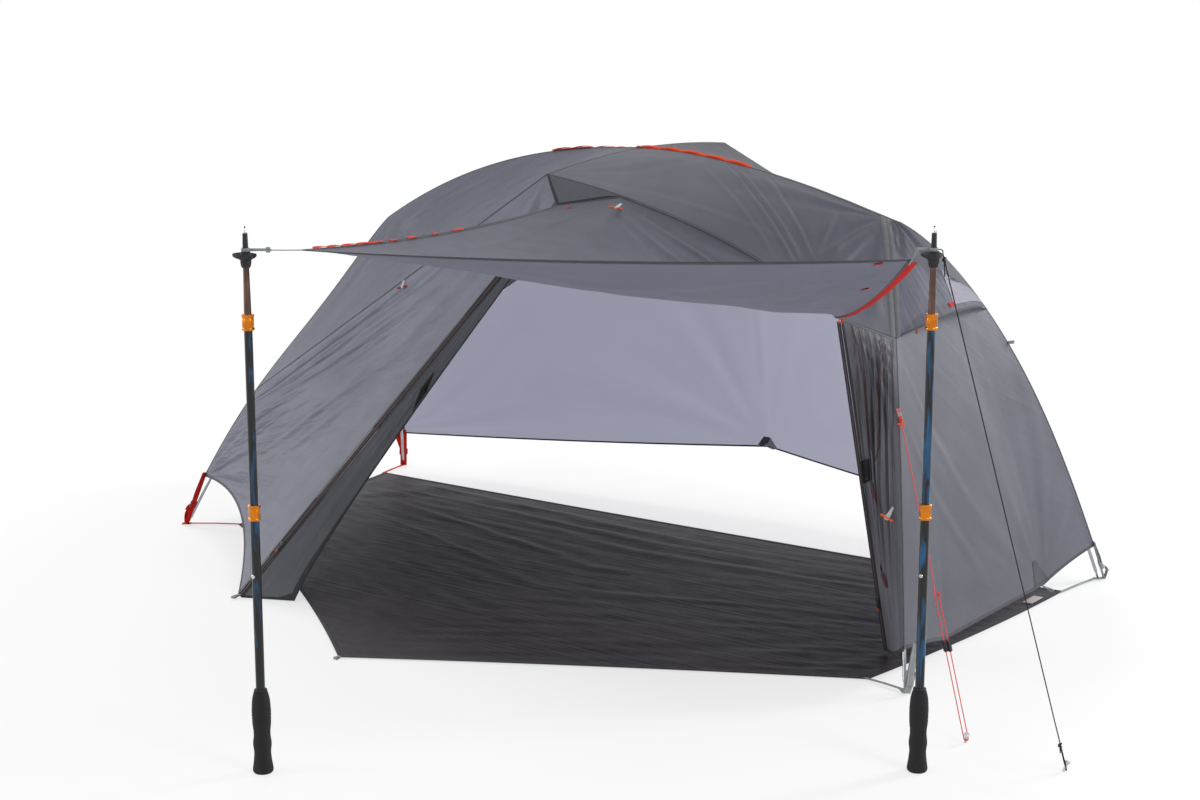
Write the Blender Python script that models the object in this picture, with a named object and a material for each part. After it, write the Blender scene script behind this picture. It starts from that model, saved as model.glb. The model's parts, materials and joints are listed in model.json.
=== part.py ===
"""One-person hubbed-ridge tent, pitched as fly and footprint, its door held out as an awning on two
upside-down trekking poles. Metres, +Z up, +X towards the head end, -Y towards the door.
The origin is on the ground under the middle of the ridge."""

import math

import bmesh
import bpy
from mathutils import Matrix, Vector

# Clearances and thicknesses
GAP = 0.0003
CLOTH = 0.0012
SEAM_TRIM = 0.0004
WEB_THICK = 0.0015
ROUND = 16

# Plan and ridge of the pole set
LEG_SPAN = 2.40
HEAD_TIPS = 1.135
FOOT_TIPS = 0.99
PEAK_X = 0.13
PEAK_Z = 1.122
HEAD_HUB_INSET = 0.381
FOOT_HUB_INSET = 0.40
HEAD_HUB_X = LEG_SPAN / 2 - HEAD_HUB_INSET
FOOT_HUB_X = FOOT_HUB_INSET - LEG_SPAN / 2
RIDGE_HEAD_DROP = 0.258
RIDGE_HEAD_POWER = 1.64
RIDGE_FOOT_DROP = 0.278
RIDGE_FOOT_POWER = 2.35
LEG_HEAD_POWER = 1.69
LEG_FOOT_POWER = 1.19
LEG_HEAD_SWAY = 0.012
LEG_FOOT_SWAY = 0.026
POLE_R = 0.00435
TIP_PIN_R = 0.0026
TIP_PIN_LENGTH = 0.022
TIP_SHOULDER = 0.004
FRAME_DEPTH = 0.016
LEG_INSET = (0.5, 1.0, 0.45)
LEG_DEPTH = 0.020
HUB_R = 0.007
HUB_ARM = 0.046
HUB_SOLID = 0.012

# Brow pole across the ridge
BROW_X = 0.089
BROW_NEAR_REACH = 0.405
BROW_NEAR_Z = 1.080
BROW_FAR_REACH = 0.415
BROW_FAR_Z = 1.113
BROW_ARCH = 0.006
BROW_TIP_GAP = 0.014
BROW_CLIP_X = 0.022
BROW_CLIP_Y = 0.020
BROW_CLIP_SKIRT = 0.0015
BROW_FIRST = 0.04
BROW_COUNT = 6

# Stations of the fly on the legs, 0 at the ground and 1 at the hub
HEAD_CORNER = 0.055
HEAD_CORNER_FLARE = Vector((0.004, -0.010, 0.004))
FOOT_CORNER = 0.12
FAR_FOOT_CORNER = 0.098
NEAR_HOOD = 0.56
FAR_HOOD = 0.57
FOOT_CREASE = 0.37

# Door, awning and vestibule
DOOR_PAST_HUB = 0.086
DOOR_CORNER = Vector((HEAD_HUB_X + DOOR_PAST_HUB, -0.385, 0.791))
HEADER_LIFT = Vector((0.62, -0.40, 1.0))
ZIP_TOP = Vector((0.156, -0.450, 1.011))
DOOR_STAKE = Vector((-0.530, -0.900, 0.004))
FLAP_FOOT = Vector((-0.385, -0.850, 0.004))
FLAP_BOW = Vector((-0.22, -0.70, 0.36))
FLAP_TOP_WIDTH = 0.012
SIDE_FOOT_INSET = 0.176
SIDE_FOOT = Vector((LEG_SPAN / 2 - SIDE_FOOT_INSET, -0.335, 0.008))
GUSSET_END = 2 / 9
GUSSET_NIP = 0.25
AWNING_NEAR_FOOT = Vector((0.455, -1.655, 1.040))
AWNING_NEAR_HEAD = Vector((1.386, -0.959, 1.020))
AWNING_FRONT_SAG = 0.012
AWNING_LEFT_SAG = 0.016
AWNING_RIGHT_SAG = 0.018
AWNING_BELLY = 0.092
AWNING_FOLD = 0.006
VESTIBULE_FOLD = 0.007
VESTIBULE_FOLDS = 2.5
VESTIBULE_SLANT = 0.35
SIDE_PLEATS = 5
SIDE_PLEAT = 0.010
ZIP_WIDTH = 0.012
ZIP_THICK = 0.0016
ZIP_START = 0.008
ZIP_SEAM = 0.0012

# Hems
FOOT_HEM_RISE = 0.07
DOOR_HEM_RISE = 0.055
HEAD_HEM_LOW = 0.044
HEAD_HEM_REACH = 0.28
HEAD_HEM_INSET = 0.048
HEAD_HEM_X = LEG_SPAN / 2 - HEAD_HEM_INSET
HEAD_HEM_NEAR_LIFT = 0.006
HEAD_HEM_FAR_LIFT = 0.012
SIDE_HEM_RISE = 0.012
TIE_OUT = Vector((0.135, 0.600, 0.213))
FAR_HEM_BOW = 0.006
HOOD_REACH = 0.055
HOOD_RISE = 0.045
HUB_EDGE = 0.16

# Footprint outline
FLOOR_THICK = 0.0012
HEAD_NEAR_INSET = 0.115
HEAD_FAR_INSET = 0.039
FOOT_FAR_INSET = 0.036
FOOT_NEAR_INSET = 0.105
FLOOR_HEAD_NEAR = Vector((LEG_SPAN / 2 - HEAD_NEAR_INSET, -0.522, 0))
FLOOR_HEAD_FAR = Vector((LEG_SPAN / 2 - HEAD_FAR_INSET, 0.386, 0))
FLOOR_FOOT_FAR = Vector((FOOT_FAR_INSET - LEG_SPAN / 2, 0.356, 0))
FLOOR_FOOT_NEAR = Vector((FOOT_NEAR_INSET - LEG_SPAN / 2, -0.405, 0))
FLOOR_APEX = Vector((0.012, -1.110, 0))
FLOOR_CURVE = 0.03

# Corner webbing and its adjusters
STRAP_WIDTH = 0.016
TAB_LENGTH = 0.030
TAB_Z = 0.0045
TAB_SHIFT = 0.003
LINK_WIDTH = 0.0096
ADJUSTER_LENGTH = 0.020
ADJUSTER_WALL = 0.003
ADJUSTER_STATION = 0.42

# Trekking poles, stood on their grips
POLE_FOOT_SIDE = Vector((0.378, -1.713, 0))
POLE_HEAD_SIDE = Vector((1.424, -0.945, 0))
SHAFT_R = 0.0090
SHAFT_WALL = 0.0007
SLIDE_GAP = 0.0003
GRIP_TOP = 0.169
GRIP_R = 0.0185
GRIP_END_R = 0.0205
GRIP_FLOOR = 0.012
STUD_Z = 0.403
STUD_R = 0.0042
STUD_PROUD = 0.0028
STUD_CLEAR = 0.0004
LOWER_LOCK_Z = 0.5145
UPPER_LOCK_Z = 0.8865
LOCK_HEIGHT = 0.031
LOCK_R = 0.0122
SHAFT_OVERLAP = 0.060
BASKET_Z = 1.006
BASKET_R = 0.025
BASKET_SHORT = 0.62
BASKET_HEIGHT = 0.030
BASKET_HUB_R = 0.0105
FERRULE_R = 0.0058
FERRULE_TOP = 1.0715
FERRULE_TOP_R = 0.0047
POINT_R = 0.0040
POINT_TOP = 1.0845

# Awning corner loops
LOOP_Z = 1.0365
LOOP_HEIGHT = 0.007
LOOP_WALL = 0.0020
LOOP_STRAP = 0.010

# Guylines and stakes
CORD_R = 0.0012
RED_CORD_R = 0.0011
WALL_STAKE = Vector((1.433, -0.747, 0))
POLE_STAKE = Vector((1.661, -0.778, 0))
GUY_STATION = 0.41
STAKE_R = 0.0030
STAKE_PROUD = 0.022
STAKE_HEAD_R = 0.0060
STAKE_CROWN = 0.004
STAKE_LEAN = math.radians(20)
LINE_HEIGHT = 0.010
STRAND_SPREAD = 0.03
RED_DOUBLED = 0.36
BLACK_DOUBLED = 0.07
TENSIONER_PLACE = 0.21
TENSIONER_LENGTH = 0.024
TENSIONER_WIDTH = 0.018
TENSIONER_THICK = 0.0064

# Toggles, sliders, ridge and edge webbing
TOGGLE_LENGTH = 0.032
TOGGLE_R = 0.0030
ELASTIC_LENGTH = 0.026
CREASE_TOGGLE = (0.45, 0.01, math.radians(14))
HEADER_TOGGLE = (0.237, 0.03, math.radians(12))
SIDE_TOGGLE = (0.85, 0.607, math.radians(35))
ELASTIC_WIDTH = 0.008
SLIDER_LENGTH = 0.014
SLIDER_THICK = 0.004
PULL_LENGTH = 0.022
PULL_WIDTH = 0.007
PULL_THICK = 0.0014
LEFT_SLIDER = 0.86
RIGHT_SLIDER = 0.84
RIDGE_WEB_WIDTH = 0.012
RIDGE_WEB_WAVE = 0.0045
RIDGE_WEB_LOOPS = 9
RIDGE_WEB_START = -0.20
RIDGE_WEB_END = 0.43
EDGE_WEB_WIDTH = 0.024
EDGE_WEB_START = 0.35

INSIDE = Vector((0, 0, 0.45))
DOOR_VIEW = Vector((0, -6, 1))
UP = Vector((0, 0, 1))


def clear_scene():
    for old in list(bpy.data.objects):
        bpy.data.objects.remove(old, do_unlink=True)


def finish(name, colour, roughness, metallic=0.0):
    material = bpy.data.materials.new(name)
    material.use_nodes = True
    shader = material.node_tree.nodes["Principled BSDF"]
    shader.inputs["Base Color"].default_value = (*colour, 1)
    shader.inputs["Roughness"].default_value = roughness
    shader.inputs["Metallic"].default_value = metallic
    material.diffuse_color = (*colour, 1)
    return material


def pivot_at(obj, point):
    """Puts the object's origin on a point of its joint axis, its shape staying where it is."""
    obj.data.transform(Matrix.Translation(-point))
    obj.location = point


def add_object(name, data, material, smooth=False):
    obj = bpy.data.objects.new(name, data)
    bpy.context.scene.collection.objects.link(obj)
    data.materials.append(material)
    if smooth:
        data.shade_smooth()
        data.set_sharp_from_angle(angle=math.radians(40))
    return obj


def mesh_from(bm, name):
    bmesh.ops.recalc_face_normals(bm, faces=bm.faces)
    mesh = bpy.data.meshes.new(name)
    bm.to_mesh(mesh)
    bm.free()
    return mesh


def helper(obj):
    obj.hide_render = True
    obj.display_type = "WIRE"
    return obj


def boolean(obj, operation, other):
    step = obj.modifiers.new(f"{operation} {other.name}", "BOOLEAN")
    step.operation = operation
    step.object = helper(other)


# Curves and seams


def quadratic(start, control, end, t):
    return start * (1 - t) ** 2 + control * 2 * t * (1 - t) + end * t * t


def sampled(curve, count, start=0.0, end=1.0):
    return [curve(start + (end - start) * i / count) for i in range(count + 1)]


def refined(points, times):
    """The same polyline with each run cut into equal parts."""
    fine = [points[0]]
    for a, b in zip(points, points[1:]):
        fine += [a.lerp(b, (i + 1) / times) for i in range(times)]
    return fine


def tangent(curve, t, step=0.002):
    return (curve(t + step) - curve(t - step)).normalized()


def ridge(x):
    """The fly's ridge seam above x."""
    reach = abs(x - PEAK_X)
    head = RIDGE_HEAD_DROP * reach**RIDGE_HEAD_POWER
    foot = RIDGE_FOOT_DROP * reach**RIDGE_FOOT_POWER
    return Vector((x, 0, PEAK_Z - (head if x > PEAK_X else foot)))


HEAD_HUB = ridge(HEAD_HUB_X)
FOOT_HUB = ridge(FOOT_HUB_X)
APEX = ridge(BROW_X)
BROW_NEAR = Vector((BROW_X, -BROW_NEAR_REACH, BROW_NEAR_Z))
BROW_FAR = Vector((BROW_X, BROW_FAR_REACH, BROW_FAR_Z))


def leg_curve(end, side):
    """Seam over one leg: end is +1 at the head and -1 at the foot, side is -1 near the door."""
    hub = HEAD_HUB if end > 0 else FOOT_HUB
    spread = HEAD_TIPS if end > 0 else FOOT_TIPS
    power = LEG_HEAD_POWER if end > 0 else LEG_FOOT_POWER
    sway = LEG_HEAD_SWAY if end > 0 else LEG_FOOT_SWAY
    tip = Vector((end * LEG_SPAN / 2, side * spread / 2, 0))

    def point(s):
        level = tip.lerp(Vector((hub.x, hub.y, 0)), s)
        return level + UP * (hub.z * (1 - max(1 - s, 0.0) ** power) + sway * math.sin(2 * math.pi * s))

    return point


def brow_curve(tip):
    middle = (APEX + tip) / 2 + UP * BROW_ARCH * 2
    return lambda t: quadratic(APEX, middle, tip, t)


def header(t):
    """Seam where the awning leaves the fly, from the brow tip to the door's head corner."""
    return quadratic(BROW_NEAR, HEADER_LIFT, DOOR_CORNER, t)


RIDGE_COUNT = 8
UPPER_COUNT = 5
LOWER_COUNT = 8
HEADER_COUNT = 9
HOOD_COUNT = 2
HEAD_COUNT = HEADER_COUNT + HOOD_COUNT
NEAR_HEAD = leg_curve(1, -1)
FAR_HEAD = leg_curve(1, 1)
NEAR_FOOT = leg_curve(-1, -1)
FAR_FOOT = leg_curve(-1, 1)
RIDGE_TO_HEAD = sampled(lambda t: ridge(BROW_X + (HEAD_HUB_X - BROW_X) * t), HEAD_COUNT)
RIDGE_TO_FOOT = sampled(lambda t: ridge(BROW_X + (FOOT_HUB_X - BROW_X) * t), RIDGE_COUNT)
BROW_NEAR_SEAM = sampled(brow_curve(BROW_NEAR), UPPER_COUNT)
BROW_FAR_SEAM = sampled(brow_curve(BROW_FAR), UPPER_COUNT)
NEAR_HEAD_UPPER = sampled(NEAR_HEAD, UPPER_COUNT, 1.0, NEAR_HOOD)
NEAR_HEAD_LOWER = sampled(NEAR_HEAD, LOWER_COUNT, NEAR_HOOD, HEAD_CORNER)
NEAR_HEAD_LOWER[-1] += HEAD_CORNER_FLARE
NEAR_HEAD_LOWER[-2] += HEAD_CORNER_FLARE / 2
FAR_HEAD_UPPER = sampled(FAR_HEAD, UPPER_COUNT, 1.0, FAR_HOOD)
FAR_HEAD_LOWER = sampled(FAR_HEAD, LOWER_COUNT, FAR_HOOD, HEAD_CORNER)
NEAR_FOOT_UPPER = sampled(NEAR_FOOT, UPPER_COUNT, 1.0, FOOT_CREASE)
NEAR_FOOT_LOWER = sampled(NEAR_FOOT, LOWER_COUNT, FOOT_CREASE, FOOT_CORNER)
FAR_FOOT_UPPER = sampled(FAR_FOOT, UPPER_COUNT, 1.0, FOOT_CREASE)
FAR_FOOT_LOWER = sampled(FAR_FOOT, LOWER_COUNT, FOOT_CREASE, FAR_FOOT_CORNER)
HEADER_SEAM = sampled(header, HEADER_COUNT)
NEAR_CREASE = sampled(lambda t: BROW_NEAR.lerp(NEAR_FOOT_UPPER[-1], t), RIDGE_COUNT)
HOOD_RUN = sampled(lambda t: DOOR_CORNER.lerp(NEAR_HEAD_UPPER[-1], t), HOOD_COUNT)
GUSSET_COUNT = round(HEADER_COUNT * GUSSET_END)
ZIP_DIRECTION = (DOOR_STAKE - ZIP_TOP).normalized()
ZIP_ACROSS = (FLAP_FOOT - DOOR_STAKE).cross(ZIP_DIRECTION).cross(ZIP_DIRECTION).normalized() * -1
SIDE_DIRECTION = (SIDE_FOOT - DOOR_CORNER).normalized()
SIDE_WAY = NEAR_HEAD_LOWER[LOWER_COUNT // 2] - SIDE_FOOT
SIDE_ACROSS = SIDE_WAY.cross(SIDE_DIRECTION).cross(SIDE_DIRECTION).normalized() * -1


# Cloth


def coons(top, bottom, left, right, u_index, v_index):
    """Point of the patch spanned by four polylines of matching counts."""
    u = u_index / (len(top) - 1)
    v = v_index / (len(left) - 1)
    ruled_v = top[u_index].lerp(bottom[u_index], v)
    ruled_u = left[v_index].lerp(right[v_index], u)
    corners = top[0].lerp(top[-1], u).lerp(bottom[0].lerp(bottom[-1], u), v)
    return ruled_v + ruled_u - corners


def patch_grid(top, bottom, left, right):
    return [
        [coons(top, bottom, left, right, i, j) for i in range(len(top))] for j in range(len(left))
    ]


def grid_normal(grid, i, j):
    rows, columns = len(grid), len(grid[0])
    along = grid[j][min(i + 1, columns - 1)] - grid[j][max(i - 1, 0)]
    down = grid[min(j + 1, rows - 1)][i] - grid[max(j - 1, 0)][i]
    return along.cross(down).normalized()


def trimmed(grid):
    """The grid with its border drawn in, so that neighbouring panels keep a seam gap."""
    rows, columns = len(grid), len(grid[0])
    moved = [[point.copy() for point in row] for row in grid]
    for j in range(rows):
        for end, step in ((0, 1), (columns - 1, -1)):
            inward = grid[j][end + step] - grid[j][end]
            moved[j][end] += inward.normalized() * SEAM_TRIM
    for i in range(columns):
        for end, step in ((0, 1), (rows - 1, -1)):
            inward = grid[end + step][i] - grid[end][i]
            moved[end][i] += inward.normalized() * SEAM_TRIM
    return moved


def folded(grid, fold, outside):
    """The grid pushed outward along its normals by fold(u, v), which is 0 on its seams."""
    rows, columns = len(grid), len(grid[0])
    middle = grid[rows // 2][columns // 2]
    facing = 1 if grid_normal(grid, columns // 2, rows // 2).dot(outside - middle) > 0 else -1
    return [
        [
            grid[j][i] + grid_normal(grid, i, j) * facing * fold(i / (columns - 1), j / (rows - 1))
            for i in range(columns)
        ]
        for j in range(rows)
    ]


def cloth_object(name, grid, material, outside, thick_side=1):
    """A sheet of cloth whose faces turn to the point outside. A thick_side of 1 thickens it outward."""
    rows, columns = len(grid), len(grid[0])
    bm = bmesh.new()
    verts = [[bm.verts.new(point) for point in row] for row in trimmed(grid)]
    for j in range(rows - 1):
        for i in range(columns - 1):
            bm.faces.new((verts[j][i], verts[j][i + 1], verts[j + 1][i + 1], verts[j + 1][i]))
    middle = grid[rows // 2][columns // 2]
    if grid_normal(grid, columns // 2, rows // 2).dot(outside - middle) < 0:
        bmesh.ops.reverse_faces(bm, faces=bm.faces)
    bm.normal_update()
    mesh = bpy.data.meshes.new(name)
    bm.to_mesh(mesh)
    bm.free()
    obj = add_object(name, mesh, material, smooth=True)
    wall = obj.modifiers.new("cloth thickness", "SOLIDIFY")
    wall.thickness = CLOTH
    wall.offset = thick_side
    return obj


def beyond(point):
    """A point well outside the tent, seen from its middle through the given one."""
    return INSIDE + (point - INSIDE) * 4


def fly_near_panel(material):
    bottom = HEADER_SEAM + HOOD_RUN[1:]
    grid = patch_grid(RIDGE_TO_HEAD, bottom, BROW_NEAR_SEAM, NEAR_HEAD_UPPER)
    cloth_object("fly_near_panel", grid, material, beyond(grid[2][3]))


def fly_foot_panel(material):
    grid = patch_grid(RIDGE_TO_FOOT, NEAR_CREASE, BROW_NEAR_SEAM, NEAR_FOOT_UPPER)
    cloth_object("fly_foot_panel", grid, material, beyond(grid[2][3]))


def below_hub(seam):
    """A leg seam for the end panels, which start just under the hub on a short flat edge."""
    return [seam[0].lerp(seam[1], HUB_EDGE)] + seam[1:]


def arched(start, end, rise, count):
    return [start.lerp(end, t) + rise * 4 * t * (1 - t) for t in (i / count for i in range(count + 1))]


def vestibule_grid():
    columns, rows = 2 * RIDGE_COUNT, 2 * LOWER_COUNT
    crease = refined(NEAR_CREASE, 2)
    leg = refined(NEAR_FOOT_LOWER, 2)
    offset = ZIP_ACROSS * (ZIP_WIDTH / 2 - SEAM_TRIM + GAP)
    knee = ZIP_TOP - offset
    neck = 2
    zip_edge = [BROW_NEAR.lerp(knee, i / neck) for i in range(neck)]
    zip_edge += sampled(lambda t: knee.lerp(DOOR_STAKE - offset, t), rows - neck)
    inward = (Vector((0, 0, 0)) - (leg[-1] + zip_edge[-1]) / 2).normalized()
    rise = UP * DOOR_HEM_RISE + Vector((inward.x, inward.y, 0)) * DOOR_HEM_RISE
    hem = arched(zip_edge[-1], leg[-1], rise, columns)
    grid = patch_grid(crease, hem, zip_edge, leg)

    def fold(u, v):
        wave = 1 - math.cos(2 * math.pi * (VESTIBULE_FOLDS * v + VESTIBULE_SLANT * u))
        return VESTIBULE_FOLD * wave * math.sin(math.pi * u) * math.sin(math.pi * v)

    return folded(grid, fold, DOOR_VIEW)


def fly_vestibule_panel(material):
    cloth_object("fly_vestibule_panel", vestibule_grid(), material, DOOR_VIEW)


def fly_foot_wall(material):
    near = below_hub(NEAR_FOOT_UPPER) + NEAR_FOOT_LOWER[1:]
    far = below_hub(FAR_FOOT_UPPER) + FAR_FOOT_LOWER[1:]
    columns = 6
    top = sampled(lambda t: near[0].lerp(far[0], t), columns)
    bottom = arched(near[-1], far[-1], UP * FOOT_HEM_RISE, columns)
    grid = patch_grid(top, bottom, near, far)
    cloth_object("fly_foot_wall", grid, material, Vector((-6, 0, 1)))


def fly_far_panel(material):
    """The far side in one sheet: two panels over the brow pole's far half, and the wall under them."""
    foot_side = sampled(lambda t: BROW_FAR.lerp(FAR_FOOT_UPPER[-1], t), RIDGE_COUNT)
    head_side = sampled(lambda t: BROW_FAR.lerp(FAR_HEAD_UPPER[-1], t), HEAD_COUNT)
    over_foot = patch_grid(RIDGE_TO_FOOT, foot_side, BROW_FAR_SEAM, FAR_FOOT_UPPER)
    over_head = patch_grid(RIDGE_TO_HEAD, head_side, BROW_FAR_SEAM, FAR_HEAD_UPPER)
    upper = [foot[::-1] + head[1:] for foot, head in zip(over_foot, over_head)]
    hem = arched(FAR_FOOT_LOWER[-1], TIE_OUT, UP * -FAR_HEM_BOW, RIDGE_COUNT)
    hem += arched(TIE_OUT, FAR_HEAD_LOWER[-1], UP * -FAR_HEM_BOW, HEAD_COUNT)[1:]
    lower = patch_grid(upper[-1], hem, FAR_FOOT_LOWER, FAR_HEAD_LOWER)
    cloth_object("fly_far_panel", upper + lower[1:], material, Vector((0, 6, 1)))


def head_wall_hem(columns):
    start, end = NEAR_HEAD_LOWER[-1], FAR_HEAD_LOWER[-1]
    near_low = Vector((HEAD_HEM_X, -HEAD_HEM_REACH, HEAD_HEM_LOW))
    far_low = Vector((HEAD_HEM_X, HEAD_HEM_REACH, HEAD_HEM_LOW))
    side = columns // 4
    near_lift = start.lerp(near_low, 0.5) + UP * HEAD_HEM_NEAR_LIFT
    far_lift = far_low.lerp(end, 0.5) + UP * HEAD_HEM_FAR_LIFT
    first = sampled(lambda t: quadratic(start, near_lift, near_low, t), side)
    flat = sampled(lambda t: near_low.lerp(far_low, t), columns - 2 * side)
    last = sampled(lambda t: quadratic(far_low, far_lift, end, t), side)
    return first[:-1] + flat[:-1] + last


def fly_head_wall(material):
    columns = 8
    top = sampled(lambda t: NEAR_HEAD_LOWER[0].lerp(FAR_HEAD_LOWER[0], t), columns)
    grid = patch_grid(top, head_wall_hem(columns), NEAR_HEAD_LOWER, FAR_HEAD_LOWER)
    cloth_object("fly_head_wall", grid, material, Vector((6, 0, 1)))


def hood_hem(t):
    near, far = NEAR_HEAD_UPPER[-1], FAR_HEAD_UPPER[-1]
    bow = Vector((HOOD_REACH, 0, HOOD_RISE)) * (4 * t * (1 - t))
    return near.lerp(far, t) + bow


def vent_hood(material):
    columns = 8
    near, far = below_hub(NEAR_HEAD_UPPER), below_hub(FAR_HEAD_UPPER)
    top = sampled(lambda t: near[0].lerp(far[0], t), columns)
    grid = patch_grid(top, sampled(hood_hem, columns), near, far)
    cloth_object("vent_hood", grid, material, Vector((6, 0, 4)))


def awning_edges():
    columns, rows = HEADER_COUNT, 10
    top = sampled(lambda t: ZIP_TOP.lerp(HEADER_SEAM[GUSSET_COUNT], t), GUSSET_COUNT)
    top += HEADER_SEAM[GUSSET_COUNT + 1 :]
    left = arched(ZIP_TOP, AWNING_NEAR_FOOT, UP * -AWNING_LEFT_SAG, rows)
    right = arched(DOOR_CORNER, AWNING_NEAR_HEAD, UP * -AWNING_RIGHT_SAG, rows)
    front = arched(AWNING_NEAR_FOOT, AWNING_NEAR_HEAD, UP * -AWNING_FRONT_SAG, columns)
    return top, front, left, right


def brow_gusset(material):
    """The three-cornered pocket under the brow tip that closes the awning's top to the vestibule panel."""
    top = HEADER_SEAM[: GUSSET_COUNT + 1]
    top[-1] = top[-2].lerp(top[-1], 1 - GUSSET_NIP)
    low = sampled(lambda t: ZIP_TOP.lerp(HEADER_SEAM[GUSSET_COUNT], t), GUSSET_COUNT)
    low[-1] = low[-2].lerp(low[-1], 1 - GUSSET_NIP)
    left = [top[0].lerp(low[0], i / 3) for i in range(4)]
    right = [top[-1].lerp(low[-1], i / 3) for i in range(4)]
    cloth_object("brow_gusset", patch_grid(top, low, left, right), material, DOOR_VIEW)


def awning_grid():
    top, front, left, right = awning_edges()
    grid = patch_grid(top, front, left, right)
    rows, columns = len(grid), len(grid[0])
    for j in range(rows):
        for i in range(columns):
            u, v = i / (columns - 1), j / (rows - 1)
            belly = (16 * u * (1 - u) * v * (1 - v)) ** 0.75
            pull = math.sin(u * 4 * math.pi) * math.sin(math.pi * v) * math.sin(math.pi * u)
            grid[j][i] = grid[j][i] + UP * (AWNING_FOLD * pull - AWNING_BELLY * belly)
    return grid


def awning(material):
    cloth_object("awning", awning_grid(), material, Vector((0.6, -1.0, 6)), -1)


def side_panel_grid():
    columns = 20
    offset = SIDE_ACROSS * (ZIP_WIDTH - SEAM_TRIM + ZIP_SEAM)
    left = sampled(lambda t: (DOOR_CORNER + offset).lerp(SIDE_FOOT + offset, t), LOWER_COUNT)
    top = [left[0].lerp(HOOD_RUN[-1], i / columns) for i in range(columns + 1)]
    bottom = arched(left[-1], NEAR_HEAD_LOWER[-1], UP * -SIDE_HEM_RISE, columns)
    grid = patch_grid(top, bottom, left, NEAR_HEAD_LOWER)

    def pleat(u, v):
        depth = SIDE_PLEAT * math.sin(math.pi * u) * (1 - (2 * v - 1) ** 4)
        return depth * (1 - math.cos(2 * math.pi * SIDE_PLEATS * u))

    return folded(grid, pleat, DOOR_VIEW)


def door_side_panel(material):
    cloth_object("door_side_panel", side_panel_grid(), material, DOOR_VIEW)


def door_storm_flap(material):
    offset = ZIP_ACROSS * (ZIP_WIDTH / 2 - SEAM_TRIM + GAP)
    rows = 8
    hinge = sampled(lambda t: (ZIP_TOP + offset).lerp(DOOR_STAKE + offset, t), rows)
    start = ZIP_TOP + offset + ZIP_ACROSS * FLAP_TOP_WIDTH
    control = FLAP_BOW * 2 - (start + FLAP_FOOT) / 2
    free = sampled(lambda t: quadratic(start, control, FLAP_FOOT, t), rows)
    top = sampled(lambda t: hinge[0].lerp(free[0], t), 2)
    bottom = sampled(lambda t: hinge[-1].lerp(free[-1], t), 2)
    grid = patch_grid(top, bottom, hinge, free)
    cloth_object("door_storm_flap", grid, material, Vector((-2, -6, 2)))


def footprint(material):
    """The ground sheet: five corners, its edges bowed between them."""

    def edge(start, end, hollow, count=6):
        inward = Vector((0.1, -0.2, 0)) - (start + end) / 2
        return arched(start, end, inward.normalized() * hollow, count)[:-1]

    outline = edge(FLOOR_HEAD_NEAR, FLOOR_HEAD_FAR, -FLOOR_CURVE / 2, 4)
    outline += edge(FLOOR_HEAD_FAR, FLOOR_FOOT_FAR, FLOOR_CURVE / 3)
    outline += edge(FLOOR_FOOT_FAR, FLOOR_FOOT_NEAR, FLOOR_CURVE / 3, 3)
    outline += edge(FLOOR_FOOT_NEAR, FLOOR_APEX, FLOOR_CURVE)
    outline += edge(FLOOR_APEX, FLOOR_HEAD_NEAR, FLOOR_CURVE / 3)
    bm = bmesh.new()
    face = bm.faces.new([bm.verts.new(point) for point in outline])
    raised = bmesh.ops.extrude_face_region(bm, geom=[face])
    lifted = [item for item in raised["geom"] if isinstance(item, bmesh.types.BMVert)]
    bmesh.ops.translate(bm, verts=lifted, vec=UP * FLOOR_THICK)
    bmesh.ops.triangulate(bm, faces=[f for f in bm.faces if len(f.verts) > 4])
    add_object("footprint", mesh_from(bm, "footprint"), material)


# Rods, ribbons and turned pieces


def frames_along(points, across):
    """For each point, the unit vectors across and out from the path."""
    frames = []
    for i, _ in enumerate(points):
        ahead = (points[min(i + 1, len(points) - 1)] - points[max(i - 1, 0)]).normalized()
        side = across[i] if isinstance(across, list) else across
        side = (side - ahead * side.dot(ahead)).normalized()
        frames.append((side, side.cross(ahead)))
    return frames


def swept(points, across, section):
    """A bmesh of the section, a loop of (across, out) pairs, carried along the path and capped.
    Section may be a function of the station along the path."""
    bm = bmesh.new()
    rings = []
    for i, (point, (side, out)) in enumerate(zip(points, frames_along(points, across))):
        loop = section(i / (len(points) - 1)) if callable(section) else section
        rings.append([bm.verts.new(point + side * a + out * b) for a, b in loop])
    for low, high in zip(rings, rings[1:]):
        for k in range(len(low)):
            n = (k + 1) % len(low)
            bm.faces.new((low[k], low[n], high[n], high[k]))
    bm.faces.new(rings[0])
    bm.faces.new(rings[-1][::-1])
    bmesh.ops.recalc_face_normals(bm, faces=bm.faces)
    return bm


def flat_section(width, thick, lift=0.0):
    half = width / 2
    return [(-half, lift), (half, lift), (half, lift + thick), (-half, lift + thick)]


def round_section(radius, sides=8):
    turn = 2 * math.pi / sides
    return [(radius * math.cos(k * turn), radius * math.sin(k * turn)) for k in range(sides)]


def ribbon(name, points, across, width, thick, material, lift=0.0):
    bm = swept(points, across, flat_section(width, thick, lift))
    return add_object(name, mesh_from(bm, name), material)


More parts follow.
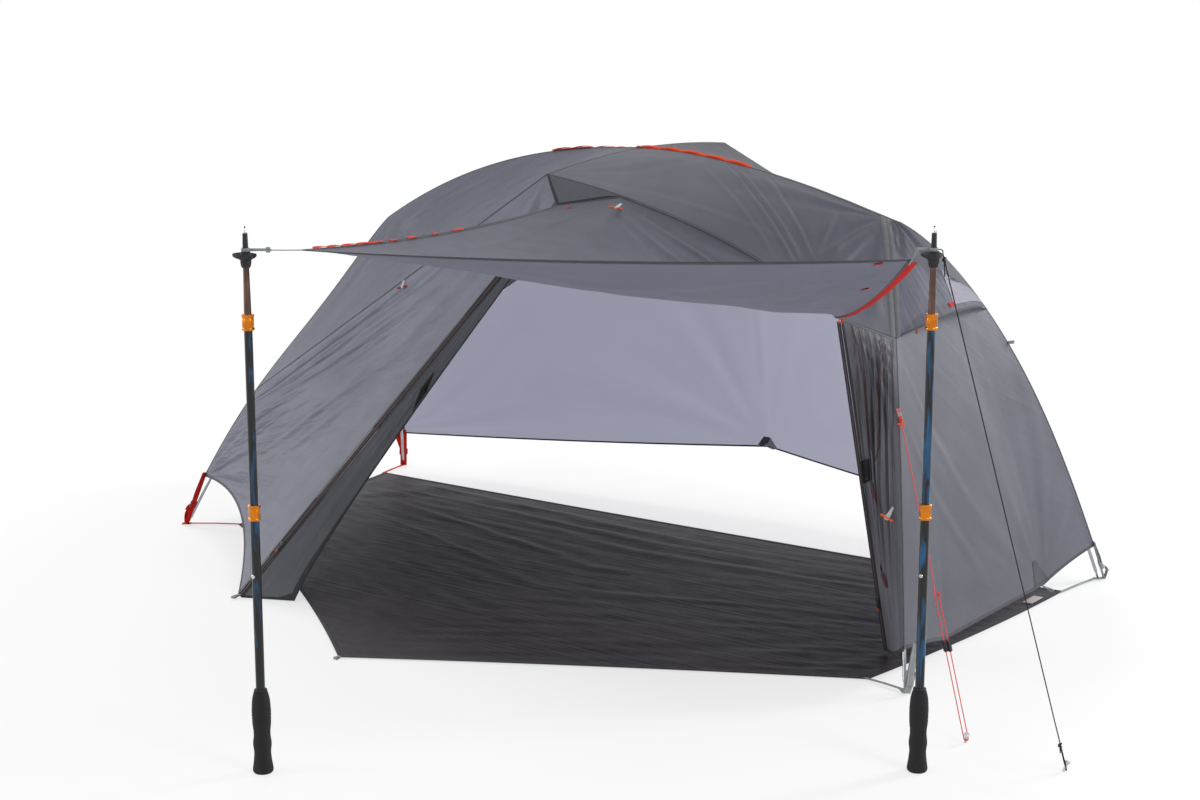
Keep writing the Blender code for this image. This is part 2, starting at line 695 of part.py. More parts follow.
def turned(name, profile, material, foot=Vector((0, 0, 0)), sides=ROUND, closed=False):
    """A piece turned about the vertical through foot from (radius, height) pairs."""
    bm = bmesh.new()
    verts = [bm.verts.new((radius, 0, height)) for radius, height in profile]
    runs = list(zip(verts, verts[1:]))
    if closed:
        runs.append((verts[-1], verts[0]))
    edges = [bm.edges.new(pair) for pair in runs]
    bmesh.ops.spin(
        bm, geom=verts + edges, axis=UP, cent=(0, 0, 0), steps=sides, angle=2 * math.pi, use_merge=True
    )
    bmesh.ops.remove_doubles(bm, verts=bm.verts, dist=1e-6)
    bmesh.ops.recalc_face_normals(bm, faces=bm.faces)
    obj = add_object(name, mesh_from(bm, name), material, smooth=True)
    obj.location = foot
    return obj


def rod_curve(name, points, radius, material, end_radius=None, pin=0):
    """A round rod along a polyline, as a bevelled curve. Its first points can thin to a pin."""
    curve = bpy.data.curves.new(name, "CURVE")
    curve.dimensions = "3D"
    curve.bevel_depth = radius
    curve.bevel_resolution = 2
    curve.use_fill_caps = True
    spline = curve.splines.new("POLY")
    spline.points.add(len(points) - 1)
    for i, (slot, point) in enumerate(zip(spline.points, points)):
        slot.co = (*point, 1)
        slot.radius = end_radius / radius if end_radius and i < pin else 1.0
    obj = bpy.data.objects.new(name, curve)
    bpy.context.scene.collection.objects.link(obj)
    curve.materials.append(material)
    return obj


def cylinder(name, start, end, radius, material, sides=12):
    """A round bar between two points."""
    length = (end - start).length
    bm = bmesh.new()
    bmesh.ops.create_cone(
        bm, cap_ends=True, segments=sides, radius1=radius, radius2=radius, depth=length
    )
    turn = (end - start).to_track_quat("Z", "Y").to_matrix().to_4x4()
    bmesh.ops.transform(bm, verts=bm.verts, matrix=Matrix.Translation((start + end) / 2) @ turn)
    return add_object(name, mesh_from(bm, name), material, smooth=True)


def block(name, centre, axes, size, material):
    """A box with its three axes along the given unit vectors."""
    bm = bmesh.new()
    bmesh.ops.create_cube(bm, size=1)
    turn = Matrix(axes).transposed().to_4x4()
    scale = Matrix.Diagonal((*size, 1))
    bmesh.ops.transform(bm, verts=bm.verts, matrix=Matrix.Translation(centre) @ turn @ scale)
    return add_object(name, mesh_from(bm, name), material)


# Pole set


def inset_point(curve, t, depth, hint):
    """The curve's point moved square to it, in its own vertical plane, towards the inside."""
    ahead = tangent(curve, t)
    inward = hint - ahead * hint.dot(ahead)
    return curve(t) + inward.normalized() * depth


def ridge_axis(x):
    return inset_point(ridge, x, FRAME_DEPTH, -UP)


HUB_CENTRES = {1: ridge_axis(HEAD_HUB_X), -1: ridge_axis(FOOT_HUB_X)}
LEG_NAMES = {
    (1, -1): "head_leg_near",
    (1, 1): "head_leg_far",
    (-1, -1): "foot_leg_near",
    (-1, 1): "foot_leg_far",
}
LEG_FIRST = 0.02
LEG_LAST = 0.90
LEG_POINTS = 12


def leg_axis(end, side):
    """Points of a leg's centre line from the ground to just under its hub sleeve."""
    curve = leg_curve(end, side)
    hint = Vector((-end * LEG_INSET[0], -side * LEG_INSET[1], -LEG_INSET[2]))
    step = (LEG_LAST - LEG_FIRST) / (LEG_POINTS - 1)
    points = [inset_point(curve, LEG_FIRST + step * i, LEG_DEPTH, hint) for i in range(LEG_POINTS)]
    ahead = (points[1] - points[0]).normalized()
    level = math.hypot(ahead.x, ahead.y) * TIP_PIN_R
    ground = points[0] - ahead * ((points[0].z - level) / ahead.z)
    shoulder = ground + ahead * TIP_PIN_LENGTH
    kept = [point for point in points if point.z > shoulder.z + TIP_PIN_LENGTH]
    return [ground, shoulder, shoulder + ahead * TIP_SHOULDER] + kept


LEG_AXES = {key: leg_axis(*key) for key in LEG_NAMES}


def pole_set(alloy, plastic):
    for key, name in LEG_NAMES.items():
        points = LEG_AXES[key]
        hub = HUB_CENTRES[key[0]]
        into_hub = hub + (points[-1] - hub).normalized() * HUB_SOLID
        rod_curve(name, points + [into_hub], POLE_R, alloy, TIP_PIN_R, 2)
    count = 16
    low, high = FOOT_HUB_X + HUB_ARM * 1.1, HEAD_HUB_X - HUB_ARM * 1.1
    along = [ridge_axis(low + (high - low) * i / count) for i in range(count + 1)]
    starts = [
        HUB_CENTRES[-1] + (along[0] - HUB_CENTRES[-1]).normalized() * HUB_SOLID,
        HUB_CENTRES[1] + (along[-1] - HUB_CENTRES[1]).normalized() * HUB_SOLID,
    ]
    rod_curve("ridge_pole", [starts[0]] + along + [starts[1]], POLE_R, alloy)
    for end, name, first in ((1, "head_hub", along[-1]), (-1, "foot_hub", along[0])):
        centre = HUB_CENTRES[end]
        ways = [first] + [LEG_AXES[(end, side)][-1] for side in (-1, 1)]
        hub = cylinder(name, centre, centre + (ways[0] - centre).normalized() * HUB_ARM, HUB_R, plastic)
        for i, way in enumerate(ways[1:]):
            direction = (way - centre).normalized()
            back, front = centre - direction * HUB_R * 0.6, centre + direction * HUB_ARM
            boolean(hub, "UNION", cylinder(f"{name} sleeve {i}", back, front, HUB_R, plastic))
        for i, way in enumerate(ways):
            direction = (way - centre).normalized()
            bottom, mouth = centre + direction * (HUB_SOLID - GAP), centre + direction * HUB_ARM * 1.2
            boolean(hub, "DIFFERENCE", cylinder(f"{name} bore {i}", bottom, mouth, POLE_R + GAP, plastic))


def brow_pole(alloy):
    """The cross pole, with the moulded saddle at its middle that sits over the ridge pole."""
    depth = FRAME_DEPTH - 2 * POLE_R - GAP
    halves = []
    for tip in (BROW_NEAR, BROW_FAR):
        curve = brow_curve(tip)
        reach = 1 - BROW_TIP_GAP / (tip - APEX).length
        step = (reach - BROW_FIRST) / BROW_COUNT
        halves.append([inset_point(curve, BROW_FIRST + step * i, depth, -UP) for i in range(BROW_COUNT + 1)])
    points = halves[0][::-1] + [APEX - UP * depth] + halves[1]
    bm = swept(points, Vector((1, 0, 0)), round_section(POLE_R))
    pole = add_object("brow_pole", mesh_from(bm, "brow_pole"), alloy, smooth=True)
    low = APEX - UP * (FRAME_DEPTH + BROW_CLIP_SKIRT)
    high = APEX - UP * (depth - POLE_R / 2)
    axes = (Vector((1, 0, 0)), Vector((0, 1, 0)), UP)
    size = (BROW_CLIP_X, BROW_CLIP_Y, (high - low).length)
    saddle = block("brow saddle", (low + high) / 2, axes, size, alloy)
    boolean(pole, "UNION", saddle)
    centre = ridge_axis(BROW_X)
    along = tangent(ridge, BROW_X)
    reach = along * BROW_CLIP_X * 1.5
    channel = cylinder("saddle channel", centre - reach, centre + reach, POLE_R + GAP, alloy)
    boolean(pole, "DIFFERENCE", channel)


# Corner webbing


FLOOR_CORNERS = {
    (1, -1): FLOOR_HEAD_NEAR,
    (1, 1): FLOOR_HEAD_FAR,
    (-1, -1): FLOOR_FOOT_NEAR,
    (-1, 1): FLOOR_FOOT_FAR,
}
CORNER_STATIONS = {(1, -1): HEAD_CORNER, (1, 1): HEAD_CORNER, (-1, -1): FOOT_CORNER, (-1, 1): FAR_FOOT_CORNER}
CORNER_NAMES = {(1, -1): "head_near", (1, 1): "head_far", (-1, -1): "foot_near", (-1, 1): "foot_far"}


def corner_webbing(key, webbing, plastic):
    """Strap from the fly's corner to the tab round the leg's pin, and on to the footprint's corner."""
    name = CORNER_NAMES[key]
    station = CORNER_STATIONS[key]
    curve = leg_curve(*key)
    pin = LEG_AXES[key][0]
    outward = Vector((key[0] * 0.7, key[1] * 0.7, 0)).normalized()
    top = curve(station) - tangent(curve, station) * (GAP * 2 + SEAM_TRIM)
    tab_centre = Vector((pin.x, pin.y, TAB_Z + WEB_THICK / 2)) + outward * TAB_SHIFT
    foot = Vector((pin.x, pin.y, TAB_Z)) + outward * (TAB_LENGTH / 2)
    across = outward.cross(UP)
    strap = ribbon(f"{name}_webbing", [top, foot], across, STRAP_WIDTH, WEB_THICK, webbing, -WEB_THICK / 2)
    axes = (outward, across, UP)
    tab_size = (TAB_LENGTH, STRAP_WIDTH + 2 * WEB_THICK, WEB_THICK)
    tab = block(f"{name} tab", tab_centre, axes, tab_size, webbing)
    boolean(strap, "UNION", tab)
    corner = FLOOR_CORNERS[key]
    start = tab_centre - outward * (TAB_LENGTH / 2 - WEB_THICK)
    towards = level_way(start, corner)
    end = corner - towards * (GAP * 2) + UP * (FLOOR_THICK + WEB_THICK) / 2
    link = ribbon(f"{name} link", [start, end], towards.cross(UP), LINK_WIDTH, WEB_THICK, webbing, -WEB_THICK / 2)
    boolean(strap, "UNION", link)
    reach = (LEG_AXES[key][1] - pin) * 1.2
    bore = cylinder(f"{name} eyelet", pin - reach, pin + reach, TIP_PIN_R + 2 * GAP, webbing)
    boolean(strap, "DIFFERENCE", bore)
    strap_adjuster(name, top, foot, across, plastic)


def strap_adjuster(name, top, foot, across, plastic):
    """A ladder-lock that can be moved along its strap."""
    along = (top - foot).normalized()
    out = across.cross(along)
    centre = foot.lerp(top, ADJUSTER_STATION)
    axes = (across, out, along)
    outer = (STRAP_WIDTH + 2 * ADJUSTER_WALL, WEB_THICK + 2 * ADJUSTER_WALL, ADJUSTER_LENGTH)
    lock = block(f"{name}_adjuster", centre, axes, outer, plastic)
    slot = (STRAP_WIDTH + 4 * GAP, WEB_THICK + 4 * GAP, ADJUSTER_LENGTH * 2)
    boolean(lock, "DIFFERENCE", block(f"{name} slot", centre, axes, slot, plastic))
    pivot_at(lock, centre)


# Trekking poles


MIDDLE_R = SHAFT_R - SHAFT_WALL - SLIDE_GAP
TIP_R = MIDDLE_R - SHAFT_WALL - SLIDE_GAP


def running_bore(radius):
    """Radius of a faceted bore in which a faceted shaft can turn."""
    return radius / math.cos(math.pi / ROUND) + GAP


def lock_collar(name, foot, height, lower_r, upper_r, material):
    split = height + LOCK_HEIGHT / 2 + GAP
    profile = [
        (running_bore(lower_r), height),
        (LOCK_R * 0.94, height),
        (LOCK_R, height + LOCK_HEIGHT * 0.12),
        (LOCK_R * 0.93, height + LOCK_HEIGHT * 0.5),
        (LOCK_R, height + LOCK_HEIGHT * 0.88),
        (LOCK_R * 0.94, height + LOCK_HEIGHT),
        (running_bore(upper_r), height + LOCK_HEIGHT),
        (running_bore(upper_r), split),
        (running_bore(lower_r), split),
    ]
    turned(name, profile, material, foot, closed=True)


def tube_profile(radius, bore, low, high):
    return [(bore, low), (radius, low), (radius, high), (bore, high)]


def trekking_pole(side, foot, short_way, finishes):
    """A three-section pole upside down on its grip. Its finishes run from the grip to the stud."""
    grip, shaft, lock, bronze, basket_finish, steel = finishes
    seat = SHAFT_R + GAP
    contour = [
        (0.0, 0.0),
        (GRIP_END_R * 0.86, 0.0),
        (GRIP_END_R, 0.006),
        (GRIP_R * 0.98, 0.024),
        (GRIP_R * 0.90, 0.042),
        (GRIP_R * 0.99, 0.060),
        (GRIP_R * 0.89, 0.080),
        (GRIP_R, 0.105),
        (GRIP_R * 1.02, 0.130),
        (GRIP_R * 0.93, 0.152),
        (GRIP_R * 0.72, GRIP_TOP),
        (seat, GRIP_TOP),
        (seat, GRIP_FLOOR),
        (0.0, GRIP_FLOOR),
    ]
    turned(f"{side}_grip", contour, grip, foot)
    lower_end = LOWER_LOCK_Z + LOCK_HEIGHT / 2
    upper_end = UPPER_LOCK_Z + LOCK_HEIGHT / 2
    handle = turned(
        f"{side}_handle_shaft",
        tube_profile(SHAFT_R, SHAFT_R - SHAFT_WALL, GRIP_FLOOR + GAP, lower_end),
        shaft,
        foot,
        closed=True,
    )
    front = Vector((0, -1, 0))
    centre = foot + UP * STUD_Z
    inner, outer = centre + front * (MIDDLE_R + STUD_CLEAR), centre + front * (SHAFT_R + STUD_PROUD)
    hole = cylinder(f"{side} stud hole", centre, outer, STUD_R + GAP, shaft)
    boolean(handle, "DIFFERENCE", hole)
    cylinder(f"{side}_stud", inner, outer, STUD_R, steel)
    lock_collar(f"{side}_lower_lock", foot, LOWER_LOCK_Z, SHAFT_R, MIDDLE_R, lock)
    turned(
        f"{side}_middle_shaft",
        tube_profile(MIDDLE_R, MIDDLE_R - SHAFT_WALL, lower_end - SHAFT_OVERLAP, upper_end),
        shaft,
        foot,
        closed=True,
    )
    lock_collar(f"{side}_upper_lock", foot, UPPER_LOCK_Z, MIDDLE_R, TIP_R, lock)
    tip = [
        (0.0, upper_end - SHAFT_OVERLAP),
        (TIP_R, upper_end - SHAFT_OVERLAP),
        (TIP_R, UPPER_LOCK_Z + LOCK_HEIGHT * 1.3),
        (FERRULE_R, BASKET_Z),
        (FERRULE_R, LOOP_Z + LOOP_HEIGHT * 1.2),
        (FERRULE_TOP_R, FERRULE_TOP),
        (POINT_R, FERRULE_TOP),
        (POINT_R * 0.45, POINT_TOP - 0.002),
        (POINT_R * 0.35, POINT_TOP),
        (0.0, POINT_TOP),
    ]
    turned(f"{side}_tip_section", tip, bronze, foot)
    basket(f"{side}_basket", foot, short_way, basket_finish)


def basket(name, foot, short_way, material):
    """A cup on the shaft under a dished rim, which is cut short on one side."""
    bore = FERRULE_R + GAP
    top = BASKET_Z + BASKET_HEIGHT
    profile = [
        (bore, BASKET_Z),
        (bore + 0.0012, BASKET_Z),
        (BASKET_HUB_R, BASKET_Z + BASKET_HEIGHT * 0.33),
        (BASKET_HUB_R, BASKET_Z + BASKET_HEIGHT * 0.50),
        (BASKET_R * 0.9, BASKET_Z + BASKET_HEIGHT * 0.66),
        (BASKET_R, BASKET_Z + BASKET_HEIGHT * 0.78),
        (BASKET_R * 0.98, BASKET_Z + BASKET_HEIGHT * 0.90),
        (BASKET_HUB_R * 1.4, BASKET_Z + BASKET_HEIGHT * 0.76),
        (BASKET_HUB_R * 0.9, top),
        (bore, top),
    ]
    rim = turned(name, profile, material, foot, closed=True)
    for vert in rim.data.vertices:
        way = vert.co.x * short_way.x + vert.co.y * short_way.y
        if way > 0 and math.hypot(vert.co.x, vert.co.y) > BASKET_HUB_R * 1.2:
            vert.co -= short_way * way * (1 - BASKET_SHORT)


def awning_loop(side, foot, corner, webbing):
    """The ring that drops over the upturned pole tip, and its strap to the awning's corner."""
    inner = FERRULE_R + 2 * GAP
    ring = turned(
        f"{side}_awning_loop",
        tube_profile(inner + LOOP_WALL, inner, LOOP_Z, LOOP_Z + LOOP_HEIGHT),
        webbing,
        foot,
        closed=True,
    )
    centre = foot + UP * (LOOP_Z + LOOP_HEIGHT / 2)
    level = level_way(centre, corner)
    over_rim = centre + level * (BASKET_R + LOOP_STRAP / 2)
    end = corner - (corner - over_rim).normalized() * SEAM_TRIM - UP * CLOTH / 2
    points = [centre + level * (inner + LOOP_WALL / 2), over_rim, end]
    strap = ribbon(f"{side} loop strap", points, UP, LOOP_STRAP * 0.8, WEB_THICK, webbing, -WEB_THICK / 2)
    boolean(ring, "UNION", strap)


# Guylines


def level_way(start, end):
    """Unit vector from one point towards another, on the level."""
    return Vector((end.x - start.x, end.y - start.y, 0)).normalized()


def stake_axis(way):
    """A stake leans away from what its line holds."""
    return UP * math.cos(STAKE_LEAN) + way * math.sin(STAKE_LEAN)


def stake(name, ground, way, alloy):
    """The part of a stake above the ground: a round shank, cut flat at z 0, under its wider head."""
    axis = stake_axis(way)
    head = ground + axis * (STAKE_PROUD / axis.z)
    points = [ground - axis * STAKE_PROUD, head - axis * STAKE_CROWN * 1.5, head - axis * STAKE_CROWN, head]
    radii = [STAKE_R, STAKE_R, STAKE_HEAD_R, STAKE_HEAD_R]
    across = axis.cross(Vector((0, 1, 0))).normalized()

    def section(t):
        return round_section(radii[round(t * (len(radii) - 1))], 10)

    bm = swept(points, across, section)
    geometry = bm.verts[:] + bm.edges[:] + bm.faces[:]
    cut = bmesh.ops.bisect_plane(bm, geom=geometry, plane_co=(0, 0, 0), plane_no=-UP, clear_outer=True)
    edges = [item for item in cut["geom_cut"] if isinstance(item, bmesh.types.BMEdge)]
    bmesh.ops.contextual_create(bm, geom=edges)
    add_object(name, mesh_from(bm, name), alloy, smooth=True)


def guyline_route(lead, ground, radius, doubled):
    """A taut line from the end of its lead, round its stake and back up beside itself.
    Gives its points, its direction, the direction across its two strands, and the middle of its turn."""
    start = lead[-1]
    axis = stake_axis(level_way(start, ground))
    centre = ground + axis * (LINE_HEIGHT / axis.z)
    line = (centre - start).normalized()
    across = line.cross(UP).normalized() * (STAKE_R + radius + 2 * GAP)
    stretch = across.length / abs(axis.dot(line.cross(across).normalized()))
    single = (centre - start).length - doubled
    points = lead + [start + line * single * t for t in (0.25, 0.5, 0.75, 0.97)]
    spread = single + STRAND_SPREAD
    run = doubled - STRAND_SPREAD
    points += [start + line * (spread + run * t) + across for t in (0.0, 0.25, 0.5, 0.75, 1.0)]
    for k in range(1, 7):
        angle = math.pi * k / 6
        points.append(centre + across * math.cos(angle) + line * stretch * math.sin(angle))
    points += [centre - line * run * t - across for t in (0.25, 0.5, 0.75, 1.0)]
    return points, line, across, centre


def wall_guyline(red, alloy, plastic):
    """Guyline of the near head leg, doubled through its tensioner."""
    out = level_way(HEAD_HUB, WALL_STAKE)
    start = NEAR_HEAD(GUY_STATION) + out * (CLOTH + RED_CORD_R + GAP)
    points, line, across, turn = guyline_route([start], WALL_STAKE, RED_CORD_R, RED_DOUBLED)
    rod_curve("wall_guyline", points, RED_CORD_R, red)
    stake("wall_stake", WALL_STAKE, level_way(start, WALL_STAKE), alloy)
    centre = turn - line * TENSIONER_PLACE
    axes = (across.normalized(), line.cross(across).normalized(), line)
    size = (TENSIONER_WIDTH, TENSIONER_THICK, TENSIONER_LENGTH)
    body = block("wall_tensioner", centre, axes, size, plastic)
    reach = line * TENSIONER_LENGTH
    bore_r = RED_CORD_R + 2 * GAP
    for side in (-1, 1):
        middle = centre + across * side
        bore = cylinder(f"tensioner bore {side}", middle - reach, middle + reach, bore_r, plastic)
        boolean(body, "DIFFERENCE", bore)
    pivot_at(body, centre)


def pole_guyline(black, alloy):
    """Guyline from the awning loop on the head-side pole, over the short side of its basket."""
    way = level_way(POLE_HEAD_SIDE, POLE_STAKE)
    ring_r = FERRULE_R + 2 * GAP + LOOP_WALL
    rim_r = BASKET_R * BASKET_SHORT + CORD_R + 2 * GAP
    height = LOOP_Z + LOOP_HEIGHT / 2
    bend = ((ring_r + GAP, 0), ((ring_r + rim_r) / 2, 0), (rim_r - CORD_R / 2, 0.002), (rim_r, 0.008))
    lead = [POLE_HEAD_SIDE + way * reach + UP * (height - drop) for reach, drop in bend]
    points = guyline_route(lead, POLE_STAKE, CORD_R, BLACK_DOUBLED)[0]
    rod_curve("pole_guyline", points, CORD_R, black)
    stake("pole_stake", POLE_STAKE, way, alloy)


# Trim that moves or carries


def panel_spot(grid, u, v, outside):
    """A point of a panel's grid with its directions across, down and out."""
    i = min(int(u * (len(grid[0]) - 1)), len(grid[0]) - 2)
    j = min(int(v * (len(grid) - 1)), len(grid) - 2)
    a = u * (len(grid[0]) - 1) - i
    b = v * (len(grid) - 1) - j
    high = grid[j][i].lerp(grid[j][i + 1], a)
    low = grid[j + 1][i].lerp(grid[j + 1][i + 1], a)
    down = (low - high).normalized()
    across = grid[j][i + 1] - grid[j][i]
    across = (across - down * across.dot(down)).normalized()
    out = across.cross(down)
    point = high.lerp(low, b)
    return point, across, down, out if out.dot(outside - point) > 0 else -out


def toggle_places():
    """Anchor, direction across and hanging direction of each door toggle: below the crease, on the
    awning beside the header seam, and on the gathered side panel."""
    spots = {
        "crease_toggle": (vestibule_grid(), CREASE_TOGGLE, CLOTH, DOOR_VIEW),
        "header_toggle": (awning_grid(), HEADER_TOGGLE, 0.0, Vector((0.6, -1, 6))),
        "side_toggle": (side_panel_grid(), SIDE_TOGGLE, CLOTH + 2 * GAP, DOOR_VIEW),
    }
    places = {}
    for name, (grid, (u, v, stand_off), skin, outside) in spots.items():
        point, across, down, out = panel_spot(grid, u, v, outside)
        anchor = point + out * (skin + WEB_THICK / 2 + GAP)
        hang = down * math.cos(stand_off) + out * math.sin(stand_off)
        places[name] = (anchor, across, hang)
    return places


def toggle(name, anchor, across, hang, plastic):
    """An elastic tab with a bar at its end, hanging from its stitching at the anchor."""
    end = anchor + hang * ELASTIC_LENGTH
    tab = ribbon(name, [anchor, end], across, ELASTIC_WIDTH, WEB_THICK, plastic, -WEB_THICK / 2)
    half = across * TOGGLE_LENGTH / 2
    boolean(tab, "UNION", cylinder(f"{name} bar", end - half, end + half, TOGGLE_R, plastic, 8))
    pivot_at(tab, anchor)


def zip_strip(name, start, end, across, material):
    """The coil of a door zip on its tape, a flat strip along a straight line."""
    direction = (end - start).normalized()
    inward = across.cross(direction).dot(DOOR_VIEW) < 0
    points = [start + direction * ZIP_START, end]
    ribbon(name, points, across, ZIP_WIDTH, ZIP_THICK, material, -ZIP_THICK if inward else 0.0)


def outward_normal(direction, across):
    out = across.cross(direction).normalized()
    return out if out.dot(DOOR_VIEW) > 0 else -out


def zip_slider(name, start, end, across, station, material):
    """Slider body over the coil, with its pull lying along the tape."""
    direction = (end - start).normalized()
    out = outward_normal(direction, across)
    seat = start.lerp(end, station) + out * (ZIP_THICK + GAP)
    axes = (across, out, direction)
    body_centre = seat + out * SLIDER_THICK / 2
    body = block(name, body_centre, axes, (ZIP_WIDTH - 8 * GAP, SLIDER_THICK, SLIDER_LENGTH), material)
    pull_centre = seat + out * (SLIDER_THICK - PULL_THICK) + direction * (SLIDER_LENGTH + PULL_LENGTH) * 0.45
    pull = block(f"{name} pull", pull_centre, axes, (PULL_WIDTH, PULL_THICK, PULL_LENGTH), material)
    boolean(body, "UNION", pull)
    pivot_at(body, seat)


def ridge_webbing(webbing):
    """Gear-loop webbing along the ridge, tacked down between its loops."""
    count = RIDGE_WEB_LOOPS * 6
    points = []
    for i in range(count + 1):
        t = i / count
        seam = ridge(RIDGE_WEB_START + (RIDGE_WEB_END - RIDGE_WEB_START) * t)
        wave = RIDGE_WEB_WAVE * (1 - math.cos(2 * math.pi * RIDGE_WEB_LOOPS * t)) / 2
        points.append(seam + UP * (CLOTH + 5 * GAP + wave))
    ribbon("ridge_webbing", points, Vector((0, 1, 0)), RIDGE_WEB_WIDTH, WEB_THICK * 0.7, webbing)


def awning_webbing(webbing):
    """Webbing sewn flat along the awning's head edge, from the door's corner to the awning's."""
    right = awning_edges()[3]
    outward = UP.cross(right[-1] - right[0]).normalized()
    points = [point + outward * (EDGE_WEB_WIDTH / 2 + GAP) for point in right]
    points[0] = points[0].lerp(points[1], EDGE_WEB_START)
    points[-1] = points[-1].lerp(points[-2], EDGE_WEB_START)
    ribbon("awning_webbing", points, -outward, EDGE_WEB_WIDTH, WEB_THICK, webbing, -WEB_THICK / 2)


def build_tent():
    clear_scene()
    charcoal = finish("charcoal ripstop", (0.13, 0.13, 0.14), 0.55)
    lavender = finish("grey translucent ripstop", (0.24, 0.24, 0.28), 0.5)
    ground_cloth = finish("dark coated footprint", (0.045, 0.04, 0.045), 0.45)
    red_web = finish("red webbing", (0.62, 0.05, 0.03), 0.75)
    orange_web = finish("orange webbing", (0.85, 0.13, 0.03), 0.7)
    grey_web = finish("grey webbing", (0.45, 0.47, 0.47), 0.75)
    alloy = finish("silver alloy pole", (0.72, 0.72, 0.74), 0.3, 0.9)
    black_plastic = finish("black moulded plastic", (0.02, 0.02, 0.02), 0.45)
    grey_plastic = finish("grey moulded plastic", (0.4, 0.42, 0.42), 0.45)
    orange_plastic = finish("orange moulded plastic", (0.9, 0.16, 0.02), 0.4)
    coil = finish("brown zip coil", (0.16, 0.07, 0.06), 0.6)
    foam = finish("black foam grip", (0.012, 0.012, 0.012), 0.9)
    shaft = finish("blue black anodised shaft", (0.01, 0.04, 0.10), 0.3, 0.6)
    bronze = finish("bronze anodised shaft", (0.12, 0.08, 0.06), 0.32, 0.8)
    lock = finish("orange anodised lock", (0.75, 0.26, 0.01), 0.28, 0.8)
    steel = finish("bright steel", (0.7, 0.7, 0.7), 0.25, 1.0)
    black_cord = finish("black cord", (0.01, 0.01, 0.01), 0.85)
    red_cord = finish("red reflective cord", (0.75, 0.05, 0.03), 0.8)

    fly_near_panel(charcoal)
    fly_foot_panel(lavender)
    fly_vestibule_panel(lavender)
    fly_foot_wall(lavender)
    fly_far_panel(lavender)
    fly_head_wall(charcoal)
    vent_hood(charcoal)
    brow_gusset(charcoal)
    awning(charcoal)
    door_side_panel(lavender)
    door_storm_flap(charcoal)
    footprint(ground_cloth)
    pole_set(alloy, black_plastic)
    brow_pole(alloy)
    for key in CORNER_NAMES:
        head = key[0] > 0
        corner_webbing(key, grey_web if head else red_web, grey_plastic if head else red_web)
    finishes = (foam, shaft, lock, bronze, black_plastic, steel)
    trekking_pole("left", POLE_FOOT_SIDE, Vector((0, 1, 0)), finishes)
    trekking_pole("right", POLE_HEAD_SIDE, level_way(POLE_HEAD_SIDE, POLE_STAKE), finishes)
    awning_loop("left", POLE_FOOT_SIDE, AWNING_NEAR_FOOT, grey_web)
    awning_loop("right", POLE_HEAD_SIDE, AWNING_NEAR_HEAD, grey_web)
    wall_guyline(red_cord, alloy, black_plastic)
    pole_guyline(black_cord, alloy)
    zip_strip("left_zip", ZIP_TOP, DOOR_STAKE, ZIP_ACROSS, coil)
    zip_slider("left_slider", ZIP_TOP, DOOR_STAKE, ZIP_ACROSS, LEFT_SLIDER, steel)
    half = SIDE_ACROSS * ZIP_WIDTH / 2
    zip_strip("right_zip", DOOR_CORNER + half, SIDE_FOOT + half, SIDE_ACROSS, coil)
    zip_slider("right_slider", DOOR_CORNER + half, SIDE_FOOT + half, SIDE_ACROSS, RIGHT_SLIDER, steel)
    for name, (anchor, across, hang) in toggle_places().items():
        toggle(name, anchor, across, hang, orange_plastic)
    ridge_webbing(orange_web)
    awning_webbing(red_web)
    bpy.context.view_layer.update()


build_tent()
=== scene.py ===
"""A low backpacking tent, pitched as fly and footprint, its door stretched out as an awning over two
trekking poles that stand upside down on their grips. Metres, +Z up, +X towards the head end."""

import json
import logging
import math
from collections.abc import Callable, Sequence
from dataclasses import dataclass, field
from enum import Enum
from functools import partial

